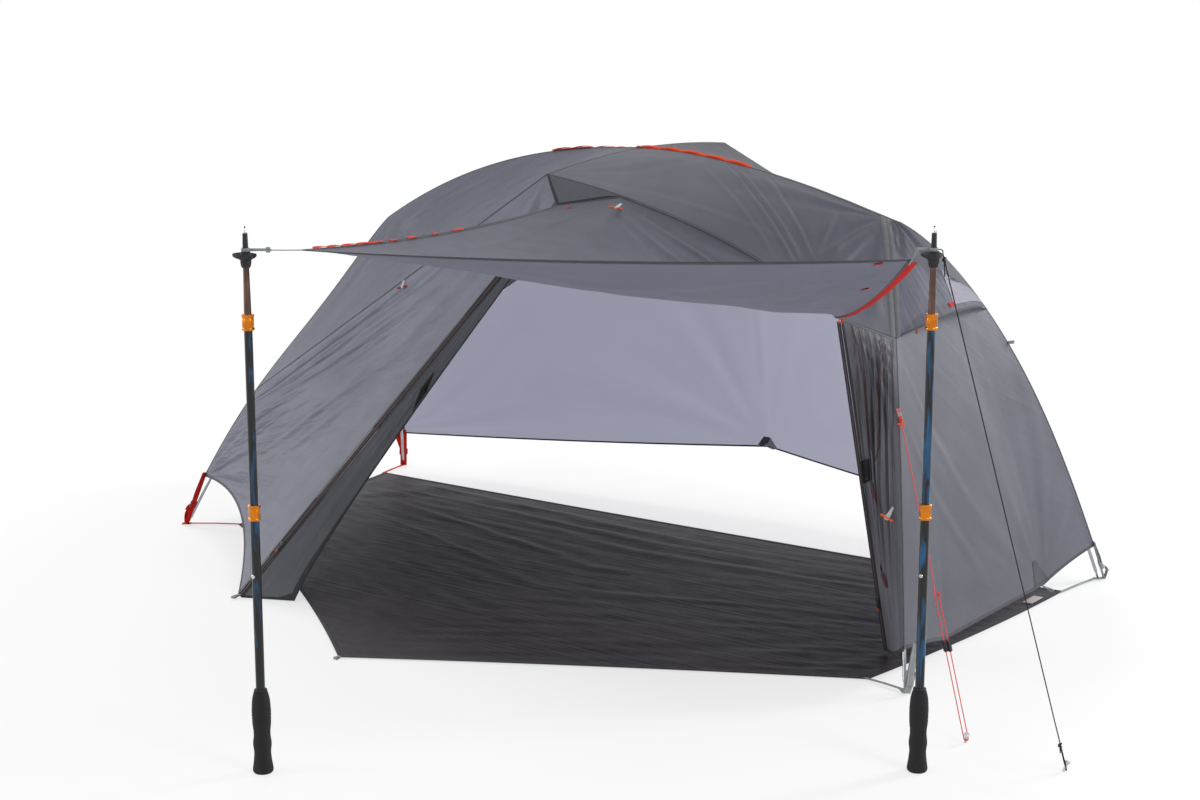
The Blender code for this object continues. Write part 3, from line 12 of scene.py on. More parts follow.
import bmesh
import bpy
import numpy as np
from mathutils import Matrix, Vector
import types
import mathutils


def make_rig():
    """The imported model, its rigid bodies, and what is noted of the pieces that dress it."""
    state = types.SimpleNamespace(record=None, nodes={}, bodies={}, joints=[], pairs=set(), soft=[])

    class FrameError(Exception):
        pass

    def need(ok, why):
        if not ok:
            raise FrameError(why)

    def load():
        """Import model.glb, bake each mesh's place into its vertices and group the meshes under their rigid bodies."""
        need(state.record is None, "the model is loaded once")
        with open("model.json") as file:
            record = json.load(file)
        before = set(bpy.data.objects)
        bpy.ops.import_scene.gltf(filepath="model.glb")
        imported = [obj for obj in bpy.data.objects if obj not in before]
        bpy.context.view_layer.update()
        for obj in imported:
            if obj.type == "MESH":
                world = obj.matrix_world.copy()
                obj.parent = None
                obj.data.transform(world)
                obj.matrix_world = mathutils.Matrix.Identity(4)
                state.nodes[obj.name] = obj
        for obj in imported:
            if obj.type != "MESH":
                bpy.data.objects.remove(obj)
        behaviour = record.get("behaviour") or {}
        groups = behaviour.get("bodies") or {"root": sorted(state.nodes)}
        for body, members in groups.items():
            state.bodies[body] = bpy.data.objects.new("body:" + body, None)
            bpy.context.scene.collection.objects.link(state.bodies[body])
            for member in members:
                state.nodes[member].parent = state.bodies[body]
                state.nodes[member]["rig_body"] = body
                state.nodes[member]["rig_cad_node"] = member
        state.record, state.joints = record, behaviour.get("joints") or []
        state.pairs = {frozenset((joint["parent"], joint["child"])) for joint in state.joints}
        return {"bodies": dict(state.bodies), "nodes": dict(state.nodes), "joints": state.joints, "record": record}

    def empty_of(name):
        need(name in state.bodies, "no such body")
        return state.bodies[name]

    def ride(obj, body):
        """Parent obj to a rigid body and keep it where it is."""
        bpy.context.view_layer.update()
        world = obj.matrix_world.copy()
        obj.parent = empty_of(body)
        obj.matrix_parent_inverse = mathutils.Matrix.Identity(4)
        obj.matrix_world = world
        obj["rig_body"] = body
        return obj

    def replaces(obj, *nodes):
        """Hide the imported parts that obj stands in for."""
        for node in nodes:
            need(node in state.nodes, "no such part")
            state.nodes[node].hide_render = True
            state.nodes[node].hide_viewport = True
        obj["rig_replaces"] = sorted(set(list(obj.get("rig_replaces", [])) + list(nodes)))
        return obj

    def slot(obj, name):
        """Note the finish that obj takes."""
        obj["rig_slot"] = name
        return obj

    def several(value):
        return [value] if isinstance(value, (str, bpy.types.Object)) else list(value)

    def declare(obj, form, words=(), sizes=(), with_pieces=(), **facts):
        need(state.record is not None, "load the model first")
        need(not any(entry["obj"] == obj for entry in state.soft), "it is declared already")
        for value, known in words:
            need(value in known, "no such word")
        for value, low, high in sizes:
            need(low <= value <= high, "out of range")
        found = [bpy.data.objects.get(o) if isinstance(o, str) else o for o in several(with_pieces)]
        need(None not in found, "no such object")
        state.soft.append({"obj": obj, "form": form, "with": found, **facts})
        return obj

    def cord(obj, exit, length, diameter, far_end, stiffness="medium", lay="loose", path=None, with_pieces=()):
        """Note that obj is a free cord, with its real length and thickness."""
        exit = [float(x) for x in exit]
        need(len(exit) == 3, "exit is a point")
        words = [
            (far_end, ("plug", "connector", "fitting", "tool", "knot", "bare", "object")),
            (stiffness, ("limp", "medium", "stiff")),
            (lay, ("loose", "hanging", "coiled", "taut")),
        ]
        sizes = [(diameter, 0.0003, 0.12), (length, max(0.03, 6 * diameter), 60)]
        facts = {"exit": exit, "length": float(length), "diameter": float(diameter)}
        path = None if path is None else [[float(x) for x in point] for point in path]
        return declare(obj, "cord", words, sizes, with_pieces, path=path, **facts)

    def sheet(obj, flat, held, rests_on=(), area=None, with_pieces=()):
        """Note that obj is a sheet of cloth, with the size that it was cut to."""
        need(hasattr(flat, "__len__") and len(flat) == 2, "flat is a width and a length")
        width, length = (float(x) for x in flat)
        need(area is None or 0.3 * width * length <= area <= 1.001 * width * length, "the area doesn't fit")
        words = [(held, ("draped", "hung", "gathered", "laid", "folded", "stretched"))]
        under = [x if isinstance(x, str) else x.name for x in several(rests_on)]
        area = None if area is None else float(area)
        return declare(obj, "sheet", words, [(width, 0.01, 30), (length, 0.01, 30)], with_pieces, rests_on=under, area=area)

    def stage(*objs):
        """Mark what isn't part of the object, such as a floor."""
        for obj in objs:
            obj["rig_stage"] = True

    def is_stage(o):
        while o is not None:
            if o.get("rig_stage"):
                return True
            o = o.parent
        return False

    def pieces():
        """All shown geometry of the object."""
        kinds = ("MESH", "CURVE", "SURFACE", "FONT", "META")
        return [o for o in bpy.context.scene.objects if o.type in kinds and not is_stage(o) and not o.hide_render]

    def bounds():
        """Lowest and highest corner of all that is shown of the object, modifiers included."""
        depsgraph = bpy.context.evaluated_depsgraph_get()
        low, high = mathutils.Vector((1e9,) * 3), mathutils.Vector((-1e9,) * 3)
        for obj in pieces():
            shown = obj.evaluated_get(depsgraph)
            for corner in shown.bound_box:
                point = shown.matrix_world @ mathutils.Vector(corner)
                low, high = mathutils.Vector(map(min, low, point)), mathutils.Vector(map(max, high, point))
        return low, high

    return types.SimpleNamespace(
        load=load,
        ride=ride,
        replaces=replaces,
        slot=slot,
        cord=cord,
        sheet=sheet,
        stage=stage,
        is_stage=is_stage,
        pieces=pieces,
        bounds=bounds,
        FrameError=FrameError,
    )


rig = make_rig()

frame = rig.load()
CAD_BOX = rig.bounds()
LOG = logging.getLogger("tent")

Pair = tuple[float, float]
Point = tuple[float, float, float]
Section = list[Pair]
Curve = Callable[[float], Vector]
Line = Sequence[Vector]
Grid = np.ndarray
Mesh = bmesh.types.BMesh
Node = bpy.types.Node
AddNode = Callable[..., Node]
UP = Vector((0, 0, 1))
ALONG = Vector((1, 0, 0))
WEAVE = "weave"


class End(Enum):
    """The two ends of the tent, by the sign of x."""

    HEAD = 1
    FOOT = -1


class Side(Enum):
    """The two long sides of the tent, by the sign of y."""

    NEAR = -1
    FAR = 1


HEAD_NEAR, HEAD_FAR = (End.HEAD, Side.NEAR), (End.HEAD, Side.FAR)
FOOT_NEAR, FOOT_FAR = (End.FOOT, Side.NEAR), (End.FOOT, Side.FAR)


class Border(Enum):
    """The four seam lines of a panel."""

    TOP = 0
    BOTTOM = 1
    LEFT = 2
    RIGHT = 3


# Materials


def linear(code: str) -> tuple[float, float, float, float]:
    """Turns a colour into what a shader socket takes.

    Args:
        code: sRGB hex value, such as "#64646C".

    Returns:
        Linear red, green, blue and 1.
    """
    parts = [int(code[i : i + 2], 16) / 255 for i in (1, 3, 5)]
    red, green, blue = (c / 12.92 if c <= 0.04045 else ((c + 0.055) / 1.055) ** 2.4 for c in parts)
    return red, green, blue, 1.0


def add_node(
    tree: bpy.types.NodeTree, kind: str, values: dict | None = None, links: dict | None = None, **settings: object
) -> Node:
    """Adds one shader node.

    Args:
        tree: the material's or world's node tree.
        kind: the node's class name after "ShaderNode".
        values: fixed values, by input socket.
        links: what feeds it, by input socket: an output socket, or a node for its first output in use.
        settings: the node's own properties.

    Returns:
        The node.
    """
    node = tree.nodes.new("ShaderNode" + kind)
    for name, value in settings.items():
        setattr(node, name, value)
    for socket, value in (values or {}).items():
        node.inputs[socket].default_value = value
    for socket, source in (links or {}).items():
        if isinstance(source, Node):
            source = next(output for output in source.outputs if output.enabled)
        tree.links.new(source, node.inputs[socket])
    return node


def fresh_nodes(owner: bpy.types.Material | bpy.types.World) -> AddNode:
    """Empties the node tree of a material or world.

    Args:
        owner: the material or world.

    Returns:
        What adds a node to its tree.
    """
    owner.use_nodes = True
    owner.node_tree.nodes.clear()
    return partial(add_node, owner.node_tree)


@dataclass(frozen=True)
class Finish:
    """What a piece is made of; each kind of finish draws its own nodes."""

    name: str
    colour: str
    shade: str = "#000000"

    def material(self) -> bpy.types.Material:
        """The Blender material, made once."""
        known = bpy.data.materials.get(self.name)
        if known:
            return known
        material = bpy.data.materials.new(self.name)
        add = fresh_nodes(material)
        add("OutputMaterial", links={"Surface": self.shader(add)})
        return material

    def shader(self, add: AddNode) -> Node:
        """The last shader node."""
        raise NotImplementedError

    def mottled(self, add: AddNode, size: float, detail: float = 3.0) -> tuple[Node, Node]:
        """Soft patches between the finish's two tones.

        Args:
            add: adds a node to the material.
            size: rough width of a patch, in metres.
            detail: octaves of the noise.

        Returns:
            The colour and the plain noise.
        """
        place = add("TexCoord").outputs["Object"]
        noise = add("TexNoise", {"Scale": 1 / size, "Detail": detail}, {"Vector": place})
        span = add("MapRange", {"From Min": 0.3, "From Max": 0.7}, {"Value": noise})
        tones = {6: linear(self.shade), 7: linear(self.colour)}
        return add("Mix", tones, {0: span}, data_type="RGBA"), noise


@dataclass(frozen=True)
class Ripstop(Finish):
    """Coated ripstop nylon, woven and calendered: a dull even cloth that lets light through, with a fine
    grid of thicker threads and a soft crumple from its stuff sack."""

    thread: str = "#000000"
    glow: float = 0.3
    glow_colour: str = "#FFFFFF"
    roughness: float = 0.54
    crumple: float = 0.35
    creases: float = 0.5
    lean: float = 0.0
    clear: float = 0.0
    crease: Pair = (0.4, 0.02)
    level: bool = False
    low: float = 1.0

    def shader(self, add: AddNode) -> Node:
        """Tone, thread grid and crumple over a surface that also glows from behind.

        Args:
            add: adds a node to the material.

        Returns:
            The surface.
        """
        place = add("TexCoord").outputs["Object"]
        weave = add("UVMap", uv_map=WEAVE)
        tone, _ = self.mottled(add, 0.22)
        if self.low < 1:
            # Near the ground less light comes through it, and it is darker by this share.
            height = add("SeparateXYZ", links={0: place}).outputs["Z"]
            share = add("MapRange", {"From Max": 0.75, "To Min": self.low}, {"Value": height})
            tone = add("VectorMath", links={0: tone, "Scale": share}, operation="SCALE")
        # The real grid is 5 mm; its threads are drawn 0.5 mm wide so that a close view shows them.
        values = {"Scale": 200, "Mortar Size": 0.05, "Brick Width": 1.0, "Row Height": 1.0}
        grid = add("TexBrick", values, {"Vector": weave}, offset=0.0).outputs["Fac"]
        woven = add("Mix", {7: linear(self.thread)}, {0: grid, 6: tone}, data_type="RGBA")
        values = {"Rotation": (0, 0, math.radians(self.lean)), "Scale": (*self.crease, 1)}
        laid = add("Mapping", values, {0: place if self.level else weave}, vector_type="TEXTURE")
        creased = add("TexNoise", {"Scale": 1.0, "Detail": 4, "Distortion": 0.7}, {"Vector": laid})
        rumple = add("TexNoise", {"Scale": 26, "Detail": 4, "Distortion": 0.8}, {"Vector": place})
        soft = add("Bump", {"Strength": self.crumple, "Distance": 0.002}, {"Height": rumple})
        pulled = add("Bump", {"Strength": self.creases, "Distance": 0.007}, {"Height": creased, "Normal": soft})
        bump = add("Bump", {"Strength": 0.25, "Distance": 0.0004}, {"Height": grid, "Normal": pulled})
        values = {"To Min": self.roughness - 0.07, "To Max": self.roughness + 0.07}
        gloss = add("MapRange", values, {"Value": rumple})
        values = {"Sheen Weight": 0.03, "Sheen Roughness": 0.4, "Specular IOR Level": 0.24}
        face = add("BsdfPrincipled", values, {"Base Color": woven, "Roughness": gloss, "Normal": bump})
        if self.glow:
            lit = add("Mix", {0: 0.55, 7: linear(self.glow_colour)}, {6: woven}, data_type="RGBA")
            back = add("BsdfTranslucent", links={"Color": lit, "Normal": bump})
            face = add("MixShader", {0: self.glow}, {1: face, 2: back})
        if self.clear:
            face = add("MixShader", {0: self.clear}, {1: face, 2: add("BsdfTransparent")})
        return face


@dataclass(frozen=True)
class Tape(Finish):
    """Woven nylon tape or webbing: ribs across it, a row of lockstitches along each edge, fuzzy matt
    yarn. Its own map runs along it in metres and across it from -1 to 1."""

    stitch: str = "#000000"
    rib: float = 0.0018
    rows: float = 0.74
    depth: float = 0.4
    roughness: float = 0.75

    def shader(self, add: AddNode) -> Node:
        """Ribs, stitches and a slight change of tone along the tape.

        Args:
            add: adds a node to the material.

        Returns:
            The surface.
        """
        weave = add("UVMap", uv_map=WEAVE)
        split = add("SeparateXYZ", links={0: weave})
        tone, _ = self.mottled(add, 0.02)
        # One sine period of the wave texture is 0.314 units.
        ribs = add("TexWave", {"Scale": 0.314 / self.rib}, {"Vector": weave}).outputs["Fac"]
        ribbed = add("Mix", {6: linear(self.shade)}, {0: ribs, 7: tone}, data_type="RGBA")
        # Stitches 3 mm apart, drawn 0.7 mm wide on a 10 mm tape.
        run = add("Math", {1: 0.003}, {0: split.outputs["X"]}, operation="DIVIDE")
        dash = add("Math", links={0: run}, operation="FRACT")
        shown = add("Math", {1: 0.68}, {0: dash}, operation="LESS_THAN")
        away = add("Math", links={0: split.outputs["Y"]}, operation="ABSOLUTE")
        row = add("Math", {1: self.rows, 2: 0.07}, {0: away}, operation="COMPARE")
        sewn = add("Math", links={0: shown, 1: row}, operation="MULTIPLY")
        colour = add("Mix", {7: linear(self.stitch)}, {0: sewn, 6: ribbed}, data_type="RGBA")
        height = add("Math", links={0: ribs, 1: sewn}, operation="ADD")
        bump = add("Bump", {"Strength": self.depth, "Distance": 0.0005}, {"Height": height})
        values = {"Roughness": self.roughness, "Sheen Weight": 0.06, "Sheen Roughness": 0.5, "Specular IOR Level": 0.2}
        return add("BsdfPrincipled", values, {"Base Color": colour, "Normal": bump})


@dataclass(frozen=True)
class Braid(Finish):
    """Braided polyester cord, 16 strands: crossing yarns of its colour, with a tracer yarn of its second
    tone now and then."""

    share: float = 0.22

    def shader(self, add: AddNode) -> Node:
        """Crossing yarns from the cord's own map, in metres along it and in turns round it.

        Args:
            add: adds a node to the material.

        Returns:
            The surface.
        """
        weave = add("UVMap", uv_map=WEAVE)
        heights = []
        for lean in (1, -1):
            # A strand crosses the cord every 1.6 mm.
            slanted = add("Mapping", {"Scale": (1 / 0.0032, lean * 2.0, 1)}, {0: weave})
            wave = add("TexWave", {"Scale": 0.314}, {"Vector": slanted}, bands_direction="DIAGONAL")
            heights.append(wave.outputs["Fac"])
        braid = add("Math", links={0: heights[0], 1: heights[1]}, operation="MAXIMUM")
        spots = add("Mapping", {"Scale": (1 / 0.012, 3.0, 1)}, {0: weave})
        fleck = add("TexNoise", {"Scale": 1.0, "Detail": 0.0}, {"Vector": spots})
        shown = add("Math", {1: 1 - self.share}, {0: fleck}, operation="GREATER_THAN")
        tones = {6: linear(self.colour), 7: linear(self.shade)}
        colour = add("Mix", tones, {0: shown}, data_type="RGBA")
        bump = add("Bump", {"Strength": 0.6, "Distance": 0.0003}, {"Height": braid})
        return add("BsdfPrincipled", {"Roughness": 0.7, "Sheen Weight": 0.2}, {"Base Color": colour, "Normal": bump})


@dataclass(frozen=True)
class Metal(Finish):
    """Drawn or turned metal, bare or anodised: a tight highlight with fine lines along its length."""

    roughness: float = 0.3
    lines: Point = (900.0, 900.0, 18.0)
    coat: float = 0.0

    def shader(self, add: AddNode) -> Node:
        """Fine drawn lines, and patches where hands and dust dull the surface.

        Args:
            add: adds a node to the material.

        Returns:
            The surface.
        """
        tone, patches = self.mottled(add, 0.03, 4.0)
        streaks = add("Mapping", {"Scale": self.lines}, {0: add("TexCoord").outputs["Object"]})
        fine = add("TexNoise", {"Scale": 1.0, "Detail": 2.0}, {"Vector": streaks})
        both = add("Math", links={0: fine, 1: patches}, operation="ADD")
        values = {"From Min": 0.6, "From Max": 1.4, "To Min": self.roughness - 0.08, "To Max": self.roughness + 0.12}
        gloss = add("MapRange", values, {"Value": both})
        bump = add("Bump", {"Strength": 0.12, "Distance": 0.0002}, {"Height": fine})
        values = {"Metallic": 1.0, "Coat Weight": self.coat, "Coat Roughness": 0.15}
        return add("BsdfPrincipled", values, {"Base Color": tone, "Roughness": gloss, "Normal": bump})


@dataclass(frozen=True)
class PrintedShaft(Finish):
    """Aluminium tube with a baked lacquer print: black with long blue flames under a clear coat, which
    fill from start on, and are wider further up where they have a lift."""

    flame: str = "#14557F"
    start: float = 0.55
    lift: float = 0.0

    def shader(self, add: AddNode) -> Node:
        """Long streaks along the tube, their edges crisp, with a darker blue inside them.

        Args:
            add: adds a node to the material.

        Returns:
            The surface.
        """
        place = add("TexCoord").outputs["Object"]
        # Streaks are about 10 mm wide and 130 mm long.
        long = add("Mapping", {"Scale": (70, 70, 7.5), "Location": (3.1, 1.7, 0.4)}, {0: place})
        streak = add("TexNoise", {"Scale": 1.0, "Detail": 2.5, "Distortion": 0.9}, {"Vector": long})
        height = add("SeparateXYZ", links={0: place}).outputs["Z"]
        streak = add("Math", {1: self.lift}, {0: height, 2: streak}, operation="MULTIPLY_ADD")
        mask, inner = (
            add("MapRange", {"From Min": self.start + low, "From Max": self.start + high}, {"Value": streak})
            for low, high in ((0.0, 0.03), (0.05, 0.18))
        )
        blue = add("Mix", {6: linear(self.shade), 7: linear(self.flame)}, {0: inner}, data_type="RGBA")
        colour = add("Mix", {6: linear(self.colour)}, {0: mask, 7: blue}, data_type="RGBA")
        scuff = add("TexNoise", {"Scale": 300, "Detail": 3}, {"Vector": place})
        gloss = add("MapRange", {"To Min": 0.22, "To Max": 0.42}, {"Value": scuff})
        values = {"Metallic": 0.1, "Specular IOR Level": 0.35, "Coat Weight": 0.2, "Coat Roughness": 0.12}
        return add("BsdfPrincipled", values, {"Base Color": colour, "Roughness": gloss})


@dataclass(frozen=True)
class Moulded(Finish):
    """Injection-moulded plastic with a spark-eroded skin: even, slightly grainy, its highlight soft."""

    roughness: float = 0.45
    grain: float = 0.0012
    depth: float = 0.15

    def shader(self, add: AddNode) -> Node:
        """Fine grain, with paler scuffs here and there.

        Args:
            add: adds a node to the material.

        Returns:
            The surface.
        """
        tone, patches = self.mottled(add, 0.012, 5.0)
        place = add("TexCoord").outputs["Object"]
        fine = add("TexNoise", {"Scale": 1 / self.grain, "Detail": 2}, {"Vector": place})
        values = {"To Min": self.roughness - 0.06, "To Max": self.roughness + 0.1}
        gloss = add("MapRange", values, {"Value": patches})
        bump = add("Bump", {"Strength": self.depth, "Distance": 0.0003}, {"Height": fine})
        return add("BsdfPrincipled", links={"Base Color": tone, "Roughness": gloss, "Normal": bump})


CHARCOAL = Ripstop(
    "charcoal ripstop", "#5D5E69", "#52535E", "#4D4E59", 0.2, "#85858F", creases=0.22, lean=60, crease=(0.3, 0.05)
)
SLATE = Ripstop(
    "slate ripstop", "#656875", "#5C5E6A", "#575864", 0.26, "#A6A7B6", creases=0.6, lean=24, crease=(0.3, 0.03)
)
VESTIBULE_CLOTH = Ripstop(
    "vestibule ripstop", "#727482", "#666774", "#61626E", 0.3, "#B9BACB",
    creases=0.8, lean=8, crease=(0.3, 0.03), low=0.92,
)
WALL_CLOTH = Ripstop(
    "head wall ripstop", "#6E6E78", "#62626C", "#5C5C66", 0.25, "#B0B0BE",
    creases=0.3, lean=35, crease=(0.4, 0.05), low=0.8,
)
LAVENDER = Ripstop(
    "lavender ripstop", "#6F707F", "#676877", "#626371", 0.5, "#CDCFE4", creases=0.2, crease=(0.3, 0.05)
)
FAR_ROOF = Ripstop("far roof ripstop", "#505158", "#484950", "#43444B", 0.2, "#85858F", creases=0.3)
HOOD_CLOTH = Ripstop(
    "hood ripstop", "#60606B", "#565660", "#51515B", 0.3, "#B9BACB", creases=0.9, lean=80, clear=0.1
)
PATCH_CLOTH = Ripstop(
    "thin hood ripstop", "#B4B3C1", "#A1A0AE", "#9695A3", 0.35, "#F2F2FA", creases=0.6, lean=80
)
AWNING_CLOTH = Ripstop(
    "awning ripstop", "#595A65", "#50515B", "#4B4C56", 0.3, "#9A9BB0", creases=0.45, lean=70, crease=(0.3, 0.05)
)
SIDE_CLOTH = Ripstop(
    "gathered ripstop", "#7A7980", "#5E5D63", "#56555B", 0.22, "#8A8894", creases=0.8, lean=88, crease=(0.4, 0.012)
)
FLAP_CLOTH = Ripstop(
    "flap ripstop", "#686970", "#5B5C61", "#54555A", 0.22, "#85858F", creases=0.6, lean=88, low=0.72
)
GROUND_CLOTH = Ripstop(
    "coated ground cloth", "#332D31", "#272226", "#211D20", 0.0,
    roughness=0.52, crumple=0.5, creases=0.34, crease=(0.34, 0.015), level=True,
)
SEAM_TAPE = Tape("seam tape", "#4F4F57", "#45454C", "#3A3A40", 0.0014, depth=0.2)
PALE_SEAM = Tape("pale seam tape", "#6A6C71", "#5F6166", "#55575B", 0.0014, depth=0.2)
BINDING = Tape("dark binding", "#39393E", "#2E2E33", "#26262A", 0.0014, depth=0.25)
ORANGE_WEB = Tape("orange webbing", "#E8421A", "#CB3412", "#F06A35")
RED_WEB = Tape("red webbing", "#CE1202", "#B40E02", "#DC2A14")
RED_SEAM = Tape("red seam tape", "#623C3E", "#533437", "#6E484A", depth=0.1)
ELASTIC = Tape("pale elastic", "#CFCDC8", "#B9B7B2", "#A5A39E", 0.0012)
LABEL = Tape("pale satin label", "#CFC9C6", "#BBB4B1", "#A59D9B", 0.0012, rows=0.9, depth=0.1)
GREY_WEB = Tape("grey webbing", "#A2A6A7", "#8A8F90", "#BCC0C0")
HOOK_TAPE = Tape("dark hook tape", "#2F2E33", "#232226", "#3A393E", 0.0011, depth=0.8, roughness=0.95)
ZIP_TAPE = Tape("dark zip tape", "#3A383C", "#302E32", "#29272C", 0.0012, rows=0.86)
COIL = Moulded("brown zip coil", "#563A39", "#422D2E", 0.4)
ALLOY = Metal("bare alloy", "#C9CBCE", "#A9ABAF")
POLE_ALLOY = Metal("grey anodised alloy", "#B4B6BA", "#9A9CA1", 0.34)
BRONZE = Metal("bronze anodised alloy", "#6A5148", "#4A3932", 0.34, coat=0.2)
ORANGE_ALLOY = Metal("orange anodised alloy", "#D9831A", "#B5650E", 0.28, (1400.0, 1400.0, 60.0), 0.3)
STEEL = Metal("bright steel", "#D5D3CF", "#AFADA8", 0.24)
DARK_METAL = Metal("dark slider metal", "#5C5B5E", "#434245", 0.32)
SHAFT = PrintedShaft("printed shaft", "#0B0C10", "#0A3A5A")
BLUE_SHAFT = PrintedShaft("printed shaft, blue at its top", "#0B0C10", "#0A3A5A", start=0.73, lift=0.42)
FOAM = Moulded("black foam", "#17171A", "#0E0E10", 0.88, 0.0016, 0.7)
BLACK_PLASTIC = Moulded("black plastic", "#1B1B1D", "#111112", 0.42)
GREY_PLASTIC = Moulded("grey plastic", "#9DA1A2", "#84898A")
ORANGE_PLASTIC = Moulded("orange plastic", "#E8551B", "#C84312", 0.42)
RED_PLASTIC = Moulded("red plastic", "#B32E20", "#8F2118")
BLACK_CORD = Braid("black cord", "#141416", "#3A3A3E", 0.3)
RED_CORD = Braid("red reflective cord", "#D8341E", "#EBA795", 0.2)


# Shapes


def placed(
    name: str, mesh: Mesh | list[Mesh], finish: Finish, angle: float = 40.0, body: str = "tent", node: str = "",
    slot: str = "",
) -> bpy.types.Object:
    """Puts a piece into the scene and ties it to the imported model.

    Args:
        name: the piece's name.
        mesh: its mesh, or several that become one; they are freed.
        finish: what it is made of.
        angle: edges sharper than this, in degrees, stay crisp.
        body: the body that it rides on.
        node: the node that it stands for.
        slot: the record's material slot.

    Returns:
        The object, at the origin.
    """
    bm = joined(mesh) if isinstance(mesh, list) else mesh
    data = bpy.data.meshes.new(name)
    bm.to_mesh(data)
    bm.free()
    data.materials.append(finish.material())
    data.shade_smooth()
    data.set_sharp_from_angle(angle=math.radians(angle))
    obj = bpy.data.objects.new(name, data)
    bpy.context.scene.collection.objects.link(obj)
    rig.ride(obj, body)
    if node:
        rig.replaces(obj, node)
    if slot:
        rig.slot(obj, slot)
    LOG.info("%s rides on %s", obj.name, body)
    return obj


def joined(meshes: Sequence[Mesh]) -> Mesh:
    """Several meshes as one, each keeping its map.

    Args:
        meshes: the meshes, which are freed.

    Returns:
        The one mesh.
    """
    whole = bmesh.new()
    whole.loops.layers.uv.new(WEAVE)
    for bm in meshes:
        if not bm.loops.layers.uv:
            bm.loops.layers.uv.new(WEAVE)
        part = bpy.data.meshes.new("part")
        bm.to_mesh(part)
        bm.free()
        whole.from_mesh(part)
        bpy.data.meshes.remove(part)
    return whole


def warped(
    columns: int, rows: int, place: Callable[[int, int], Vector], measure: tuple[float, float, float, float],
    tube: bool = False,
) -> Mesh:
    """A grid bent into a surface, with its own map.

    Args:
        columns: cells along it.
        rows: cells across it.
        place: where the corner in a column and a row goes.
        measure: first and last value of the map along it, then across it.
        tube: joins its first row to its last one and closes both ends.

    Returns:
        The mesh.
    """
    bm = bmesh.new()
    bmesh.ops.create_grid(bm, x_segments=columns, y_segments=rows, size=0.5)
    layer = bm.loops.layers.uv.new(WEAVE)
    u_low, u_high, v_low, v_high = measure
    cells = {vert: (round((vert.co.x + 0.5) * columns), round((vert.co.y + 0.5) * rows)) for vert in bm.verts}
    for face in bm.faces:
        for loop in face.loops:
            i, j = cells[loop.vert]
            loop[layer].uv = (u_low + (u_high - u_low) * i / columns, v_low + (v_high - v_low) * j / rows)
    for vert, (i, j) in cells.items():
        vert.co = place(i, j)
    if tube:
        bmesh.ops.remove_doubles(bm, verts=bm.verts, dist=1e-7)
        close_holes(bm)
    return bm


def close_holes(bm: Mesh) -> None:
    """Fills a mesh's open edges and turns its faces outward."""
    bmesh.ops.holes_fill(bm, edges=[edge for edge in bm.edges if edge.is_boundary], sides=0)
    bmesh.ops.recalc_face_normals(bm, faces=bm.faces)


def frames_along(path: Line, across: Vector | Line) -> list[tuple[Vector, Vector]]:
    """Directions across and out at each point of a path.

    Args:
        path: its points.
        across: the wanted direction across, one for all or one for each.

    Returns:
        Pairs of unit vectors.
    """
    frames = []
    for i, _ in enumerate(path):
        ahead = (path[min(i + 1, len(path) - 1)] - path[max(i - 1, 0)]).normalized()
        side = across if isinstance(across, Vector) else across[i]
        side = (side - ahead * side.dot(ahead)).normalized()
        frames.append((side, side.cross(ahead)))
    return frames


def smoothed(points: Line, count: int) -> list[Vector]:
    """A smooth line through a few points.

    Args:
        points: what it passes through.
        count: steps between two of them.

    Returns:
        The finer line.
    """
    fine = []
    last = len(points) - 1
    for k in range(last):
        a, b, c, d = (points[min(max(k + shift, 0), last)] for shift in (-1, 0, 1, 2))
        for t in (step / count for step in range(count)):
            fine.append(
                (b * 2 + (c - a) * t + (a * 2 - b * 5 + c * 4 - d) * t * t + (b * 3 - a - c * 3 + d) * t**3) / 2
            )
    return fine + [points[-1].copy()]


def swept(path: Line, across: Vector | Line, section: Section) -> Mesh:
    """A closed section carried along a path and capped.

    Args:
        path: points of its middle line.
        across: the direction of the section's first coordinate.
        section: loop of pairs, across and out.

    Returns:
        The mesh, mapped in metres along and from -1 to 1 across.
    """
    frames = frames_along(path, across)
    sides = len(section)

    def place(i: int, j: int) -> Vector:
        """Corner of the section at one point of the path."""
        side, out = frames[i]
        a, b = section[j % sides]
        return path[i] + side * a + out * b

    length = sum((b - a).length for a, b in zip(path, path[1:]))
    bm = warped(len(path) - 1, sides, place, (0, length, -1, 1), tube=True)
    layer = bm.loops.layers.uv.active
    half = max(abs(a) for a, _ in section)
    for face in bm.faces:
        for loop in face.loops:
            j = round((loop[layer].uv.y + 1) / 2 * sides) % sides
            loop[layer].uv.y = section[j][0] / half
    return bm


def strap(path: Line, across: Vector | Line, width: float, thick: float = 0.0015) -> Mesh:
    """Webbing along a path, its selvedges rounded.

    Args:
        path: points of its middle line.
        across: direction across it, one for all or one for each point.
        width: across the webbing.
        thick: of the webbing.

    Returns:
        The mesh.
    """
    half, rise = width / 2, thick / 2
    flat = half - rise
    upper = [(half, 0.0), (flat + rise * 0.6, rise * 0.8), (flat, rise), (0.0, rise), (-flat, rise)]
    upper.append((-flat - rise * 0.6, rise * 0.8))
    return swept(path, across, upper + [(-a, -b) for a, b in upper])


def cord(path: Line, across: Vector, radius: float, sides: int = 8, flat: float = 1.0) -> Mesh:
    """A round or oval cord along a path.

    Args:
        path: points of its middle line.
        across: direction across it.
        radius: half its width.
        sides: corners of its section.
        flat: height against width.

    Returns:
        The mesh.
    """
    turn = 2 * math.pi / sides
    section = [(radius * math.cos(k * turn), radius * flat * math.sin(k * turn)) for k in range(sides)]
    return swept(path, across, section)


